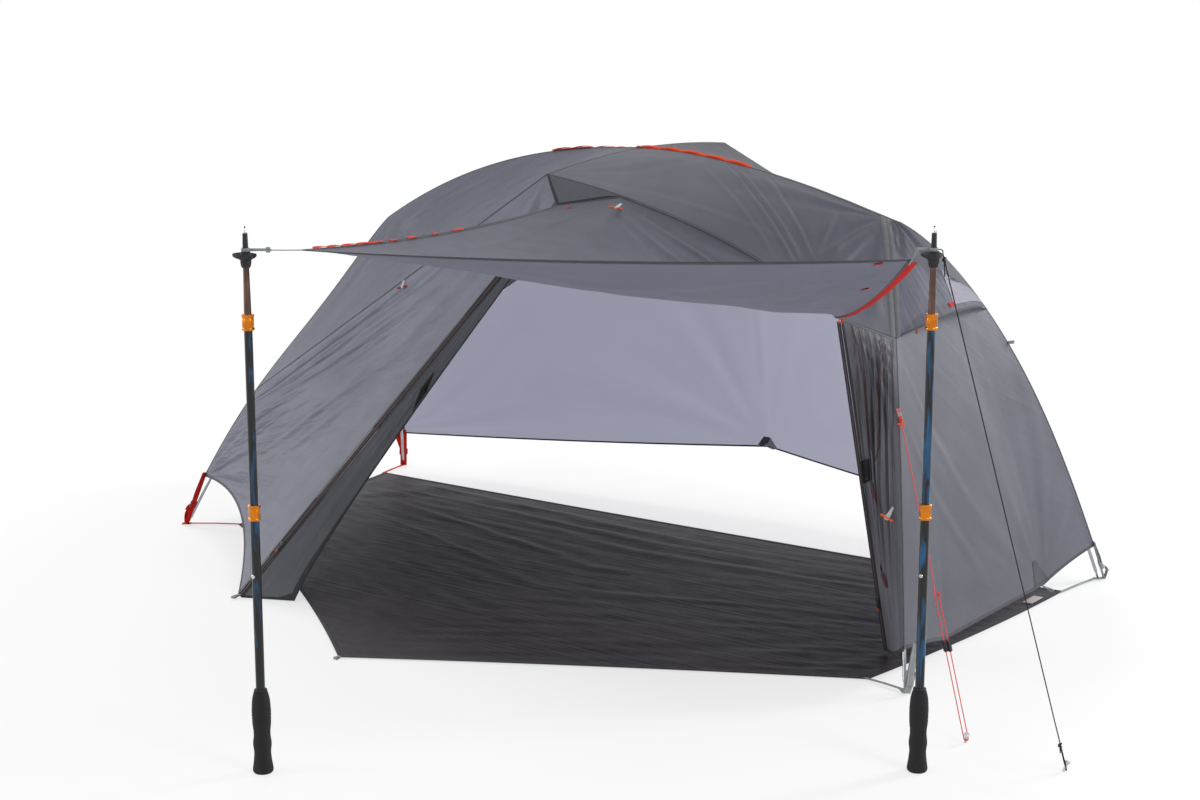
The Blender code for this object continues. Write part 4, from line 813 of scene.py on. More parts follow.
def turned(profile: Section, foot: Vector, steps: int = 48, closed: bool = True) -> Mesh:
    """A piece turned about the vertical through its foot.

    Args:
        profile: pairs of radius and height.
        foot: where height 0 is.
        steps: faces round it.
        closed: joins the profile's end to its start.

    Returns:
        The mesh.
    """
    bm = bmesh.new()
    verts = [bm.verts.new((radius, 0, height)) for radius, height in profile]
    runs = list(zip(verts, verts[1:])) + ([(verts[-1], verts[0])] if closed else [])
    edges = [bm.edges.new(pair) for pair in runs]
    geometry = verts + edges
    bmesh.ops.spin(bm, geom=geometry, axis=UP, cent=(0, 0, 0), steps=steps, angle=2 * math.pi, use_merge=True)
    bmesh.ops.remove_doubles(bm, verts=bm.verts, dist=1e-6)
    bmesh.ops.recalc_face_normals(bm, faces=bm.faces)
    bmesh.ops.translate(bm, verts=bm.verts, vec=foot)
    return bm


def aimed(profile: Section, place: Vector, axis: Vector, steps: int = 24, closed: bool = False) -> Mesh:
    """A piece turned about an axis.

    Args:
        profile: pairs of radius and height.
        place: where height 0 is.
        axis: unit direction of its heights.
        steps: faces round it.
        closed: joins the profile's end to its start.

    Returns:
        The mesh.
    """
    bm = turned(profile, Vector(), steps, closed)
    turn = axis.to_track_quat("Z", "Y").to_matrix().to_4x4()
    bmesh.ops.transform(bm, verts=bm.verts, matrix=Matrix.Translation(place) @ turn)
    return bm


def rounded(profile: Section, steps: int = 4) -> Section:
    """A profile drawn as one smooth line through its pairs."""
    fine = smoothed([Vector((radius, 0, height)) for radius, height in profile], steps)
    return [(max(point.x, 0.0), point.z) for point in fine]


def ring(inner: float, outer: float, height: float, chamfer: float = 0.0004) -> Section:
    """Profile of a ring with chamfered edges, its lower face at height 0.

    Args:
        inner: its inner radius.
        outer: its outer radius.
        height: of the ring.
        chamfer: at its four edges.

    Returns:
        Pairs of radius and height.
    """
    c = chamfer
    return [
        (inner, c), (inner + c, 0.0), (outer - c, 0.0), (outer, c),
        (outer, height - c), (outer - c, height), (inner + c, height), (inner, height - c),
    ]


def block(centre: Vector, axes: Line, size: Sequence[float], bevel: float = 0.0006) -> Mesh:
    """A small block with rounded edges.

    Args:
        centre: its middle.
        axes: its three unit directions.
        size: its three lengths.
        bevel: radius of its edges.

    Returns:
        The mesh.
    """
    bm = bmesh.new()
    bmesh.ops.create_cube(bm, size=1)
    bmesh.ops.transform(bm, verts=bm.verts, matrix=Matrix.Diagonal((*size, 1)))
    bmesh.ops.bevel(bm, geom=bm.edges[:], offset=bevel, affect="EDGES", segments=3, profile=0.5, material=-1)
    turn = Matrix([list(axis) for axis in axes]).transposed().to_4x4()
    bmesh.ops.transform(bm, verts=bm.verts, matrix=Matrix.Translation(centre) @ turn)
    bmesh.ops.recalc_face_normals(bm, faces=bm.faces)
    return bm


def unit(x: float, y: float, z: float = 0.0) -> Vector:
    """The unit vector of a direction."""
    return Vector((x, y, z)).normalized()


def level_way(start: Vector, end: Vector) -> Vector:
    """Unit vector from one place towards another, on the level."""
    return unit(end.x - start.x, end.y - start.y)


def square_to(wanted: Vector, ahead: Vector) -> Vector:
    """The unit vector nearest to a wanted one that is square to another."""
    return (wanted - ahead * wanted.dot(ahead)).normalized()


def stepped(start: Vector, end: Vector, distance: float) -> Vector:
    """A place at a distance from the start towards the end."""
    return start + (end - start).normalized() * distance


def towards(view: Vector, out: Vector) -> Vector:
    """A direction, or its opposite where that looks more towards a view."""
    return out if out.dot(view) > 0 else -out


# Seam lines of the fly


def straight(start: Vector, end: Vector) -> Curve:
    """The straight line between two points."""
    return lambda t: start.lerp(end, t)


def arched(start: Vector, end: Vector, rise: Vector) -> Curve:
    """A shallow arch between two points, its middle moved by rise."""
    return lambda t: start.lerp(end, t) + rise * (4 * t * (1 - t))


def drawn(start: Vector, control: Vector, end: Vector) -> Curve:
    """A curve between two points, drawn towards a control point."""
    return lambda t: start * (1 - t) ** 2 + control * 2 * t * (1 - t) + end * t * t


def between(curve: Curve, start: float, end: float) -> Curve:
    """Part of a curve."""
    return lambda t: curve(start + (end - start) * t)


def tangent(curve: Curve, t: float) -> Vector:
    """Unit direction along a curve."""
    return (curve(t + 0.002) - curve(t - 0.002)).normalized()


def chained(*runs: tuple[Curve, float]) -> Curve:
    """Curves end to end.

    Args:
        runs: each curve with its share of the whole.

    Returns:
        One curve.
    """
    total = sum(share for _, share in runs)

    def point(t: float) -> Vector:
        """Point of the run that t falls in."""
        left = t * total
        for curve, share in runs[:-1]:
            if left <= share:
                return curve(left / share)
            left -= share
        return runs[-1][0](min(left / runs[-1][1], 1.0))

    return point


def across_way(start: Vector, end: Vector, span: Vector) -> Vector:
    """Direction square to the line from start to end, on the side that span points to."""
    way = (end - start).normalized()
    return span.cross(way).cross(way).normalized() * -1


@dataclass(frozen=True)
class SeamLines:
    """The lines in which the fly's panels meet, over the poles and round the door.

    A drop holds the size and the power of the ridge's fall from its peak. A leg holds the spread of its
    end's two tips, the power of its bend and its sway.
    """

    peak: Pair = (0.13, 1.122)
    head_drop: Pair = (0.258, 1.64)
    foot_drop: Pair = (0.278, 2.35)
    head_hub_x: float = 0.819
    foot_hub_x: float = -0.8
    brow_x: float = 0.089
    leg_span: float = 2.4
    head_leg: Point = (1.135, 1.69, 0.012)
    foot_leg: Point = (0.99, 1.19, 0.026)
    head_corner: float = 0.055
    foot_corner: float = 0.12
    far_foot_corner: float = 0.098
    near_hood: float = 0.56
    far_hood: float = 0.57
    foot_crease: float = 0.37
    flare: Vector = Vector((0.004, -0.01, 0.004))
    hub_edge: float = 0.032
    brow_arch: float = 0.012
    gusset_share: float = 2 / 9
    near_tip: Vector = Vector((0.089, -0.405, 1.08))
    far_tip: Vector = Vector((0.089, 0.415, 1.113))
    door: Vector = Vector((0.905, -0.385, 0.791))
    header_lift: Vector = Vector((0.62, -0.4, 1.0))
    zip_head: Vector = Vector((0.156, -0.45, 1.011))
    zip_stake: Vector = Vector((-0.53, -0.9, 0.004))
    flap_end: Vector = Vector((-0.385, -0.85, 0.004))
    flap_bow: Vector = Vector((-0.22, -0.7, 0.36))
    side_end: Vector = Vector((1.024, -0.335, 0.008))
    near_corner: Vector = Vector((0.455, -1.655, 1.04))
    head_awning: Vector = Vector((1.386, -0.959, 1.02))
    tie_out: Vector = Vector((0.135, 0.6, 0.213))
    wall_stake: Vector = Vector((1.433, -0.747, 0))
    pole_stake: Vector = Vector((1.661, -0.778, 0))
    left_pole: Vector = Vector((0.378, -1.713, 0))
    right_pole: Vector = Vector((1.424, -0.945, 0))

    def ridge(self, x: float) -> Vector:
        """The ridge seam above x."""
        size, power = self.head_drop if x > self.peak[0] else self.foot_drop
        return Vector((x, 0, self.peak[1] - size * abs(x - self.peak[0]) ** power))

    def hub(self, end: End) -> Vector:
        """The ridge seam over a hub."""
        return self.ridge(self.head_hub_x if end is End.HEAD else self.foot_hub_x)

    def apex(self) -> Vector:
        """The ridge seam over the brow pole."""
        return self.ridge(self.brow_x)

    def leg(self, end: End, side: Side) -> Curve:
        """Seam over one leg.

        Args:
            end: the leg's end of the tent.
            side: the leg's long side.

        Returns:
            The curve from the ground to the hub.
        """
        hub = self.hub(end)
        spread, power, sway = self.head_leg if end is End.HEAD else self.foot_leg
        tip = Vector((end.value * self.leg_span / 2, side.value * spread / 2, 0))

        def point(s: float) -> Vector:
            """Point at a share of the leg's height on plan."""
            level = tip.lerp(Vector((hub.x, hub.y, 0)), s)
            return level + UP * (hub.z * (1 - max(1 - s, 0.0) ** power) + sway * math.sin(2 * math.pi * s))

        return point

    def waist(self, end: End, side: Side) -> float:
        """Share of a leg's height at which the hood or the crease meets it.

        Args:
            end: the leg's end of the tent.
            side: the leg's long side.

        Returns:
            The share.
        """
        if end is End.FOOT:
            return self.foot_crease
        return self.near_hood if side is Side.NEAR else self.far_hood

    def corner(self, end: End, side: Side) -> float:
        """Share of a leg's height at which the fly's corner ends.

        Args:
            end: the leg's end of the tent.
            side: the leg's long side.

        Returns:
            The share.
        """
        if end is End.HEAD:
            return self.head_corner
        return self.foot_corner if side is Side.NEAR else self.far_foot_corner

    def upper(self, end: End, side: Side) -> Curve:
        """The leg seam from the hub down to the hood or the crease."""
        return between(self.leg(end, side), 1.0, self.waist(end, side))

    def lower(self, end: End, side: Side) -> Curve:
        """The leg seam from the hood or the crease down to its corner, which flares at the near head leg.

        Args:
            end: the leg's end of the tent.
            side: the leg's long side.

        Returns:
            The curve.
        """
        curve = between(self.leg(end, side), self.waist(end, side), self.corner(end, side))
        if (end, side) == HEAD_NEAR:
            return lambda t: curve(t) + self.flare * max(4 * t - 3, 0.0)
        return curve

    def below_hub(self, end: End, side: Side) -> Curve:
        """The upper leg seam, from the short edge under its hub down."""
        return between(self.upper(end, side), self.hub_edge, 1.0)

    def brow(self, tip: Vector) -> Curve:
        """Seam over half of the brow pole."""
        return drawn(self.apex(), (self.apex() + tip) / 2 + UP * self.brow_arch, tip)

    def header(self, t: float) -> Vector:
        """Seam where the awning leaves the fly."""
        return drawn(self.near_tip, self.header_lift, self.door)(t)

    def crease(self, t: float) -> Vector:
        """Seam from the brow pole's near tip to the foot leg."""
        return self.near_tip.lerp(self.upper(*FOOT_NEAR)(1.0), t)

    def to_hub(self, end: End) -> Curve:
        """The ridge seam from the brow pole to a hub."""
        return lambda t: self.ridge(self.brow_x + (self.hub(end).x - self.brow_x) * t)

    def zip_across(self) -> Vector:
        """Direction across the left zip, towards the opening."""
        return across_way(self.zip_head, self.zip_stake, self.flap_end - self.zip_stake)

    def side_across(self) -> Vector:
        """Direction across the right zip, towards the head end."""
        return across_way(self.door, self.side_end, self.lower(*HEAD_NEAR)(0.5) - self.side_end)


LINES = SeamLines()
DOOR_VIEW = Vector((0, -6, 1))


# Folds


@dataclass(frozen=True)
class Layout:
    """A panel laid flat: its places from 0 to 1 along it and down it, and its width and length."""

    u: Grid
    v: Grid
    width: float
    length: float
    calm_reach: float = 0.06

    def calm(self) -> Grid:
        """How free the cloth is to fold: 0 on its seams and 1 from a short reach inside them."""
        u, v = self.u, self.v
        near = np.minimum(np.minimum(u, 1 - u) * self.width, np.minimum(v, 1 - v) * self.length)
        free = np.clip(near / self.calm_reach, 0, 1)
        return free * free * (3 - 2 * free)

    def metres(self, u: float = 0.0, v: float = 0.0) -> tuple[Grid, Grid]:
        """Distances along and down from a place, in metres."""
        return (self.u - u) * self.width, (self.v - v) * self.length


@dataclass(frozen=True)
class Fan:
    """Fine folds that run out of a pulled corner."""

    corner: Pair
    count: float
    size: float
    reach: float
    turn: float = 0.0

    def height(self, flat: Layout) -> Grid:
        """How far the folds stand out.

        Args:
            flat: the panel laid flat.

        Returns:
            Heights in metres.
        """
        x, y = flat.metres(*self.corner)
        away = np.hypot(x, y) / self.reach
        angle = np.arctan2(y, x)
        wave = np.sin(self.count * angle + self.turn) + 0.5 * np.sin(self.count * 1.7 * angle + self.turn * 2)
        return self.size * wave * away * np.exp(1 - away) * flat.calm()


@dataclass(frozen=True)
class Fold:
    """One long soft fold between two places of a panel, with a shallow hollow beside it."""

    start: Pair
    end: Pair
    breadth: float
    size: float

    def height(self, flat: Layout) -> Grid:
        """How far the fold stands out.

        Args:
            flat: the panel laid flat.

        Returns:
            Heights in metres.
        """
        x, y = flat.metres(*self.start)
        bx, by = (self.end[0] - self.start[0]) * flat.width, (self.end[1] - self.start[1]) * flat.length
        run = math.hypot(bx, by)
        aside = (x * by - y * bx) / run / self.breadth
        fade = np.sin(np.clip((x * bx + y * by) / run**2, 0, 1) * math.pi) ** 0.7
        ridge = np.exp(-(aside**2)) - 0.45 * np.exp(-((aside - 1.7) ** 2))
        return self.size * fade * ridge * flat.calm()


@dataclass(frozen=True)
class Swell:
    """Slanting waves that stand out between a panel's seams."""

    size: float
    turns: Pair

    def height(self, flat: Layout) -> Grid:
        """How far the waves stand out.

        Args:
            flat: the panel laid flat.

        Returns:
            Heights in metres.
        """
        wave = 1 - np.cos(2 * math.pi * (self.turns[0] * flat.u + self.turns[1] * flat.v))
        return self.size * wave * np.sin(math.pi * flat.u) * np.sin(math.pi * flat.v)


@dataclass(frozen=True)
class Pleats:
    """Gathers that run down a panel."""

    size: float
    count: float

    def height(self, flat: Layout) -> Grid:
        """How far the gathers stand out.

        Args:
            flat: the panel laid flat.

        Returns:
            Heights in metres.
        """
        depth = self.size * np.sin(math.pi * flat.u) * (1 - (2 * flat.v - 1) ** 4)
        return depth * (1 - np.cos(2 * math.pi * self.count * flat.u))


@dataclass(frozen=True)
class Rumple:
    """Small crumples of a cloth that lies or hangs slack, the same in every run."""

    size: float
    wave: float
    seed: int = 1
    stretch: Pair = (1.0, 1.0)

    def height(self, flat: Layout) -> Grid:
        """How far the crumples stand out.

        Args:
            flat: the panel laid flat.

        Returns:
            Heights in metres.
        """
        random = np.random.default_rng(self.seed)
        total = np.zeros_like(flat.u)
        x, y = (side / stretch for side, stretch in zip(flat.metres(), self.stretch))
        for _ in range(9):
            turn = random.uniform(0, 2 * math.pi)
            step = self.wave * random.uniform(0.6, 1.8)
            phase = random.uniform(0, 2 * math.pi)
            total += np.sin(2 * math.pi * (x * math.cos(turn) + y * math.sin(turn)) / step + phase)
        return self.size * total / 4 * flat.calm()


@dataclass
class Panel:
    """One cut of cloth between four seam lines, as a dense grid of points.

    Its map runs in metres along the top line and down the left one.
    """

    top: Curve
    bottom: Curve
    left: Curve
    right: Curve
    outside: Sequence[float]
    cells: tuple[int, int]
    folds: tuple = ()
    drop: Callable[[Grid, Grid], Grid] | None = None
    lift: float = 0.0006
    points: Grid = field(init=False)
    normals: Grid = field(init=False)
    width: float = field(init=False)
    length: float = field(init=False)

    def __post_init__(self) -> None:
        """Spans the grid, folds it and lifts it to the middle of the cloth."""
        across, down = (np.linspace(0, 1, count + 1) for count in self.cells)
        top, bottom = (np.array([line(t)[:] for t in across]) for line in (self.top, self.bottom))
        left, right = (np.array([line(t)[:] for t in down]) for line in (self.left, self.right))
        u, v = np.meshgrid(across, down)
        self.width = (self.span(top) + self.span(bottom)) / 2
        self.length = (self.span(left) + self.span(right)) / 2
        a, b = u[..., None], v[..., None]
        ruled = top[None] * (1 - b) + bottom[None] * b + left[:, None] * (1 - a) + right[:, None] * a
        corners = (top[0] * (1 - a) + top[-1] * a) * (1 - b) + (bottom[0] * (1 - a) + bottom[-1] * a) * b
        self.points = ruled - corners
        if self.drop:
            self.points[..., 2] += self.drop(u, v)
        normals = self.facing()
        flat = Layout(u, v, self.width, self.length)
        height = self.lift + sum(fold.height(flat) for fold in self.folds)
        self.points += normals * height[..., None]
        self.normals = self.facing()

    @staticmethod
    def span(line: Grid) -> float:
        """Length of a line of points."""
        return float(np.linalg.norm(np.diff(line, axis=0), axis=1).sum())

    def facing(self) -> Grid:
        """Unit normals of the grid, turned to the outside.

        Returns:
            One normal for each point.
        """
        normals = np.cross(np.gradient(self.points, axis=1), np.gradient(self.points, axis=0))
        normals /= np.maximum(np.linalg.norm(normals, axis=2, keepdims=True), 1e-12)
        j, i = (count // 2 for count in normals.shape[:2])
        away = np.array(self.outside) - self.points[j, i]
        return normals if normals[j, i] @ away > 0 else -normals

    def at(self, u: float, v: float) -> tuple[Vector, Vector]:
        """A place of the panel.

        Args:
            u: along it, from 0 to 1.
            v: down it, from 0 to 1.

        Returns:
            The point and the outward normal.
        """
        columns, rows = self.cells
        x, y = min(max(u, 0.0), 1.0) * columns, min(max(v, 0.0), 1.0) * rows
        i, j = min(int(x), columns - 1), min(int(y), rows - 1)
        a, b = x - i, y - j
        found = []
        for grid in (self.points, self.normals):
            high, low = (row[i] * (1 - a) + row[i + 1] * a for row in (grid[j], grid[j + 1]))
            found.append(Vector(high * (1 - b) + low * b))
        return found[0], found[1].normalized()

    def across_at(self, u: float, v: float) -> Vector:
        """Direction across the panel at a place, square to the way down it.

        Args:
            u: along it, from 0 to 1.
            v: down it, from 0 to 1.

        Returns:
            The unit direction.
        """
        step = 0.02
        out = self.at(u, v)[1]
        down = square_to((self.at(u, v + step)[0] - self.at(u, v - step)[0]).normalized(), out)
        return towards(self.at(u + step, v)[0] - self.at(u - step, v)[0], down.cross(out))

    def mesh(self) -> Mesh:
        """The cloth as one layer of faces that look outward."""
        bm = warped(*self.cells, lambda i, j: Vector(self.points[j, i]), (0, self.width, 0, self.length))
        bm.normal_update()
        bm.faces.ensure_lookup_table()
        face = bm.faces[len(bm.faces) // 2]
        centre = face.calc_center_median()
        nearest = np.linalg.norm(self.points - np.array(centre[:]), axis=2).argmin()
        if face.normal.dot(Vector(self.normals.reshape(-1, 3)[nearest])) < 0:
            bmesh.ops.reverse_faces(bm, faces=bm.faces)
        return bm

    def along(self, border: Border, t: float, inset: float) -> Pair:
        """Place at a distance inside a border.

        Args:
            border: which of the four lines.
            t: along it, from 0 to 1.
            inset: the distance, in metres.

        Returns:
            Its u and v.
        """
        level = border in (Border.TOP, Border.BOTTOM)
        first = border in (Border.TOP, Border.LEFT)
        edge, step = 0.0 if first else 1.0, 0.03
        probe = step if first else 1.0 - step
        on, inside = ((t, edge), (t, probe)) if level else ((edge, t), (probe, t))
        share = inset / max((self.at(*inside)[0] - self.at(*on)[0]).length / step, 0.02)
        moved = share if first else 1.0 - share
        return (t, moved) if level else (moved, t)

    def band(
        self, border: Border, width: float, start: float = 0.0, end: float = 1.0, bound: bool = False,
        rise: float = 0.0007,
    ) -> Mesh:
        """A tape sewn along a border, lying on the cloth.

        Args:
            border: which of the four lines.
            width: of the tape.
            start: where it starts along the line, from 0 to 1.
            end: where it ends.
            bound: wraps it round a free edge, to the inner face as well.
            rise: how far it stands off the cloth.

        Returns:
            The mesh.
        """
        run = (self.width if border in (Border.TOP, Border.BOTTOM) else self.length) * abs(end - start)
        stations = max(int(run / 0.012), 4)
        loop = [(width, 0.0), (width * 0.94, rise), (width * 0.5, rise * 1.3), (width * 0.06, rise), (0.0, rise * 0.4)]
        under = [(inset, -height) for inset, height in loop[::-1]]
        loop += under if bound else [under[0], (width, under[0][1])]
        sides = len(loop)

        def place(i: int, j: int) -> Vector:
            """Corner of the tape."""
            inset, height = loop[j % sides]
            point, out = self.at(*self.along(border, start + (end - start) * i / stations, inset))
            return point + out * height

        bm = warped(stations, sides, place, (0, run, 0, sides), tube=True)
        layer = bm.loops.layers.uv.active
        for face in bm.faces:
            for corner in face.loops:
                corner[layer].uv.y = 1 - 2 * loop[round(corner[layer].uv.y) % sides][0] / width
        return bm

    def bands(self, width: float, *borders: Border, bound: bool = False) -> list[Mesh]:
        """Tapes of one width along the whole of several borders."""
        return [self.band(border, width, bound=bound) for border in borders]

    def patch(self, corners: Sequence[Pair], rise: float = 0.0009, steps: int = 6) -> Mesh:
        """A reinforcement sewn onto the cloth.

        Args:
            corners: its four corners, as u and v; two of them may be the same place.
            rise: how far it stands off the cloth.
            steps: cells each way.

        Returns:
            A thin closed shape that follows the cloth.
        """
        a, b, c, d = (Vector((*corner, 0)) for corner in corners)

        def place(i: int, j: int) -> Vector:
            """Corner of the reinforcement, its upper face first and its lower one last."""
            upper = i <= steps
            t, s = (i if upper else 2 * steps + 1 - i) / steps, j / steps
            spot = a.lerp(b, t).lerp(d.lerp(c, t), s)
            point, out = self.at(spot.x, spot.y)
            return point + out * (rise if upper else -rise)

        scale = (self.width + self.length) / 2 * (b - a).length
        bm = warped(2 * steps + 1, steps, place, (0, 2 * scale, -1, 1))
        bmesh.ops.remove_doubles(bm, verts=bm.verts, dist=1e-6)
        close_holes(bm)
        return bm


@dataclass
class Fly:
    """The fly: its roof, walls, vestibule, awning and door pieces, with their seams and hems."""

    seam: float = 0.005
    broad_seam: float = 0.016
    hem: float = 0.014
    vestibule_fold: float = 0.007
    pleat: float = 0.007
    foot_hem_rise: float = 0.07
    door_hem_rise: float = 0.055
    hem_low: float = 0.044
    hem_reach: float = 0.28
    hem_x: float = 1.152
    side_hem_sag: float = 0.012
    front_sag: float = 0.012
    left_sag: float = 0.016
    right_sag: float = 0.018
    belly: float = 0.092
    awning_fold: float = 0.003
    zip_half: float = 0.0062
    side_zip_gap: float = 0.0128
    flap_width: float = 0.012
    panels: dict[str, Panel] = field(default_factory=dict)

    def near_roof(self) -> Panel:
        """The roof panel between the ridge and the header seam."""
        folds = (
            Fan((1.0, 0.05), 15, 0.0016, 0.2, 0.7), Fan((0.0, 0.95), 11, 0.0006, 0.15, 1.0),
            Fold((0.36, 0.08), (0.68, 0.9), 0.009, 0.0034), Fold((0.4, 0.06), (0.71, 0.86), 0.009, 0.0026),
            Fold((0.28, 0.18), (0.61, 0.93), 0.009, 0.0022), Fold((0.52, 0.08), (0.74, 0.78), 0.01, 0.0028),
            Fold((0.99, 0.1), (0.71, 0.8), 0.01, 0.0038), Fold((0.97, 0.22), (0.78, 0.82), 0.009, 0.0026),
            Fold((0.82, 0.14), (0.74, 0.72), 0.009, 0.0028), Fold((0.18, 0.88), (0.7, 0.72), 0.012, 0.001),
            Rumple(0.0006, 0.09, 3),
        )
        leg = LINES.upper(*HEAD_NEAR)
        bottom = chained((LINES.header, 9), (straight(LINES.door, leg(1.0)), 2))
        left = LINES.brow(LINES.near_tip)
        return Panel(LINES.to_hub(End.HEAD), bottom, left, leg, (1.4, -3, 5), (190, 110), folds)

    def foot_roof(self) -> Panel:
        """The roof panel between the ridge and the crease."""
        folds = (
            Fan((0.0, 0.95), 13, 0.0022, 0.22), Fan((0.9, 0.1), 9, 0.0014, 0.2, 2.0),
            Fold((0.02, 0.9), (0.42, 0.52), 0.01, 0.0034), Fold((0.03, 0.96), (0.58, 0.62), 0.01, 0.0034),
            Fold((0.08, 0.98), (0.72, 0.78), 0.01, 0.0028), Fold((0.48, 0.16), (0.86, 0.24), 0.01, 0.0022),
            Rumple(0.0008, 0.1, 4),
        )
        left, right = LINES.brow(LINES.near_tip), LINES.upper(*FOOT_NEAR)
        return Panel(LINES.to_hub(End.FOOT), LINES.crease, left, right, (-1.6, -3, 5), (120, 76), folds)

    def vestibule(self) -> Panel:
        """The panel from the crease down to the ground, beside the door."""
        folds = (
            Swell(self.vestibule_fold, (0.35, 2.5)),
            Fold((0.36, 0.02), (1.0, 0.22), 0.014, 0.006), Fold((0.3, 0.08), (0.98, 0.33), 0.012, 0.0055),
            Fold((0.2, 0.16), (0.98, 0.45), 0.015, 0.0065), Fold((0.06, 0.14), (0.9, 0.56), 0.011, 0.0042),
            Fold((0.03, 0.3), (0.8, 0.86), 0.016, 0.006), Fold((0.45, 0.3), (1.0, 0.62), 0.011, 0.0042),
            Fold((0.55, 0.46), (0.98, 0.78), 0.01, 0.0036), Fold((0.16, 0.5), (0.64, 0.86), 0.013, 0.0036),
            Fan((1.0, 1.0), 15, 0.003, 0.18), Fan((0.0, 0.0), 9, 0.0026, 0.2, 0.6), Rumple(0.0011, 0.09, 5),
        )
        offset = LINES.zip_across() * self.zip_half
        knee, stake = LINES.zip_head - offset, LINES.zip_stake - offset
        zip_edge = chained((straight(LINES.near_tip, knee), 2), (straight(knee, stake), 14))
        leg = LINES.lower(*FOOT_NEAR)
        inward = -(leg(1.0) + stake).normalized()
        rise = Vector((inward.x, inward.y, 1.0)) * self.door_hem_rise
        return Panel(LINES.crease, arched(stake, leg(1.0), rise), zip_edge, leg, DOOR_VIEW, (130, 150), folds)

    def foot_wall(self) -> Panel:
        """The wall at the foot end."""
        near, far = (
            chained((LINES.below_hub(*leg), 5), (LINES.lower(*leg), 8)) for leg in (FOOT_NEAR, FOOT_FAR)
        )
        hem = arched(near(1.0), far(1.0), UP * self.foot_hem_rise)
        folds = (Fan((0.0, 1.0), 13, 0.003, 0.3), Fan((1.0, 1.0), 13, 0.003, 0.3), Rumple(0.001, 0.12, 6))
        return Panel(straight(near(0.0), far(0.0)), hem, near, far, (-6, 0, 1), (64, 80), folds)

    def far_side(self) -> list[Panel]:
        """The far side: two roof panels over the brow pole and the wall under them."""
        out, calm = (0, 6, 3), (Rumple(0.0007, 0.12, 7),)
        folds = (
            Fan((0.42, 1.0), 13, 0.0026, 0.2), Fan((0.0, 0.95), 11, 0.0026, 0.25),
            Fan((1.0, 0.95), 11, 0.0026, 0.25), Rumple(0.0008, 0.16, 8),
        )
        lines = {leg: straight(LINES.far_tip, LINES.upper(*leg)(1.0)) for leg in (FOOT_FAR, HEAD_FAR)}
        brow = LINES.brow(LINES.far_tip)
        panels = [
            Panel(LINES.to_hub(leg[0]), line, brow, LINES.upper(*leg), out, (70, 44), calm)
            for leg, line in lines.items()
        ]
        foot_low, head_low = LINES.lower(*FOOT_FAR), LINES.lower(*HEAD_FAR)
        bow = UP * -0.006
        hem = chained((arched(foot_low(1.0), LINES.tie_out, bow), 8), (arched(LINES.tie_out, head_low(1.0), bow), 11))
        top = chained((between(lines[FOOT_FAR], 1.0, 0.0), 8), (lines[HEAD_FAR], 11))
        return panels + [Panel(top, hem, foot_low, head_low, out, (160, 64), folds)]

    def head_hem(self) -> Curve:
        """The head wall's hem, low in its middle."""
        start, end = LINES.lower(*HEAD_NEAR)(1.0), LINES.lower(*HEAD_FAR)(1.0)
        near_low, far_low = (Vector((self.hem_x, self.hem_reach * side, self.hem_low)) for side in (-1, 1))
        return chained(
            (drawn(start, start.lerp(near_low, 0.5) + UP * 0.006, near_low), 2),
            (straight(near_low, far_low), 4),
            (drawn(far_low, far_low.lerp(end, 0.5) + UP * 0.012, end), 2),
        )

    def head_wall(self) -> Panel:
        """The wall at the head end."""
        folds = (
            Fan((0.75, 1.0), 15, 0.0012, 0.3), Fan((0.0, 1.0), 12, 0.001, 0.25, 1.0),
            Fold((0.03, 0.11), (0.52, 0.8), 0.012, 0.0026), Fold((0.02, 0.33), (0.5, 0.95), 0.011, 0.0026),
            Fold((0.55, 0.1), (0.72, 0.95), 0.035, 0.004), Rumple(0.0006, 0.14, 9),
        )
        near, far = LINES.lower(*HEAD_NEAR), LINES.lower(*HEAD_FAR)
        top = arched(near(0.0), far(0.0), Vector((-0.012, 0, 0.045)))
        return Panel(top, self.head_hem(), near, far, (6, 0, 1), (104, 80), folds)

    def hood(self) -> Panel:
        """The vent hood, its stiff hem standing out over the head wall."""
        folds = (
            Fan((0.5, 0.0), 17, 0.0022, 0.16), Fold((0.6, 0.1), (0.48, 0.86), 0.01, 0.003),
            Fold((0.3, 0.15), (0.45, 0.95), 0.01, 0.002), Rumple(0.0008, 0.08, 10),
        )
        near, far = LINES.below_hub(*HEAD_NEAR), LINES.below_hub(*HEAD_FAR)
        hem = arched(near(1.0), far(1.0), Vector((0.05, 0, 0.036)))
        return Panel(straight(near(0.0), far(0.0)), hem, near, far, (6, 0, 4), (56, 48), folds)

    def gusset(self) -> Panel:
        """The three-cornered pocket under the brow pole's near tip."""
        top, head = between(LINES.header, 0.0, LINES.gusset_share), LINES.zip_head
        low = straight(head, LINES.header(LINES.gusset_share).lerp(head, 0.02))
        left, right = straight(top(0.0), head), straight(top(1.0), low(1.0))
        return Panel(top, low, left, right, DOOR_VIEW, (24, 12), (Rumple(0.0006, 0.03, 11),))

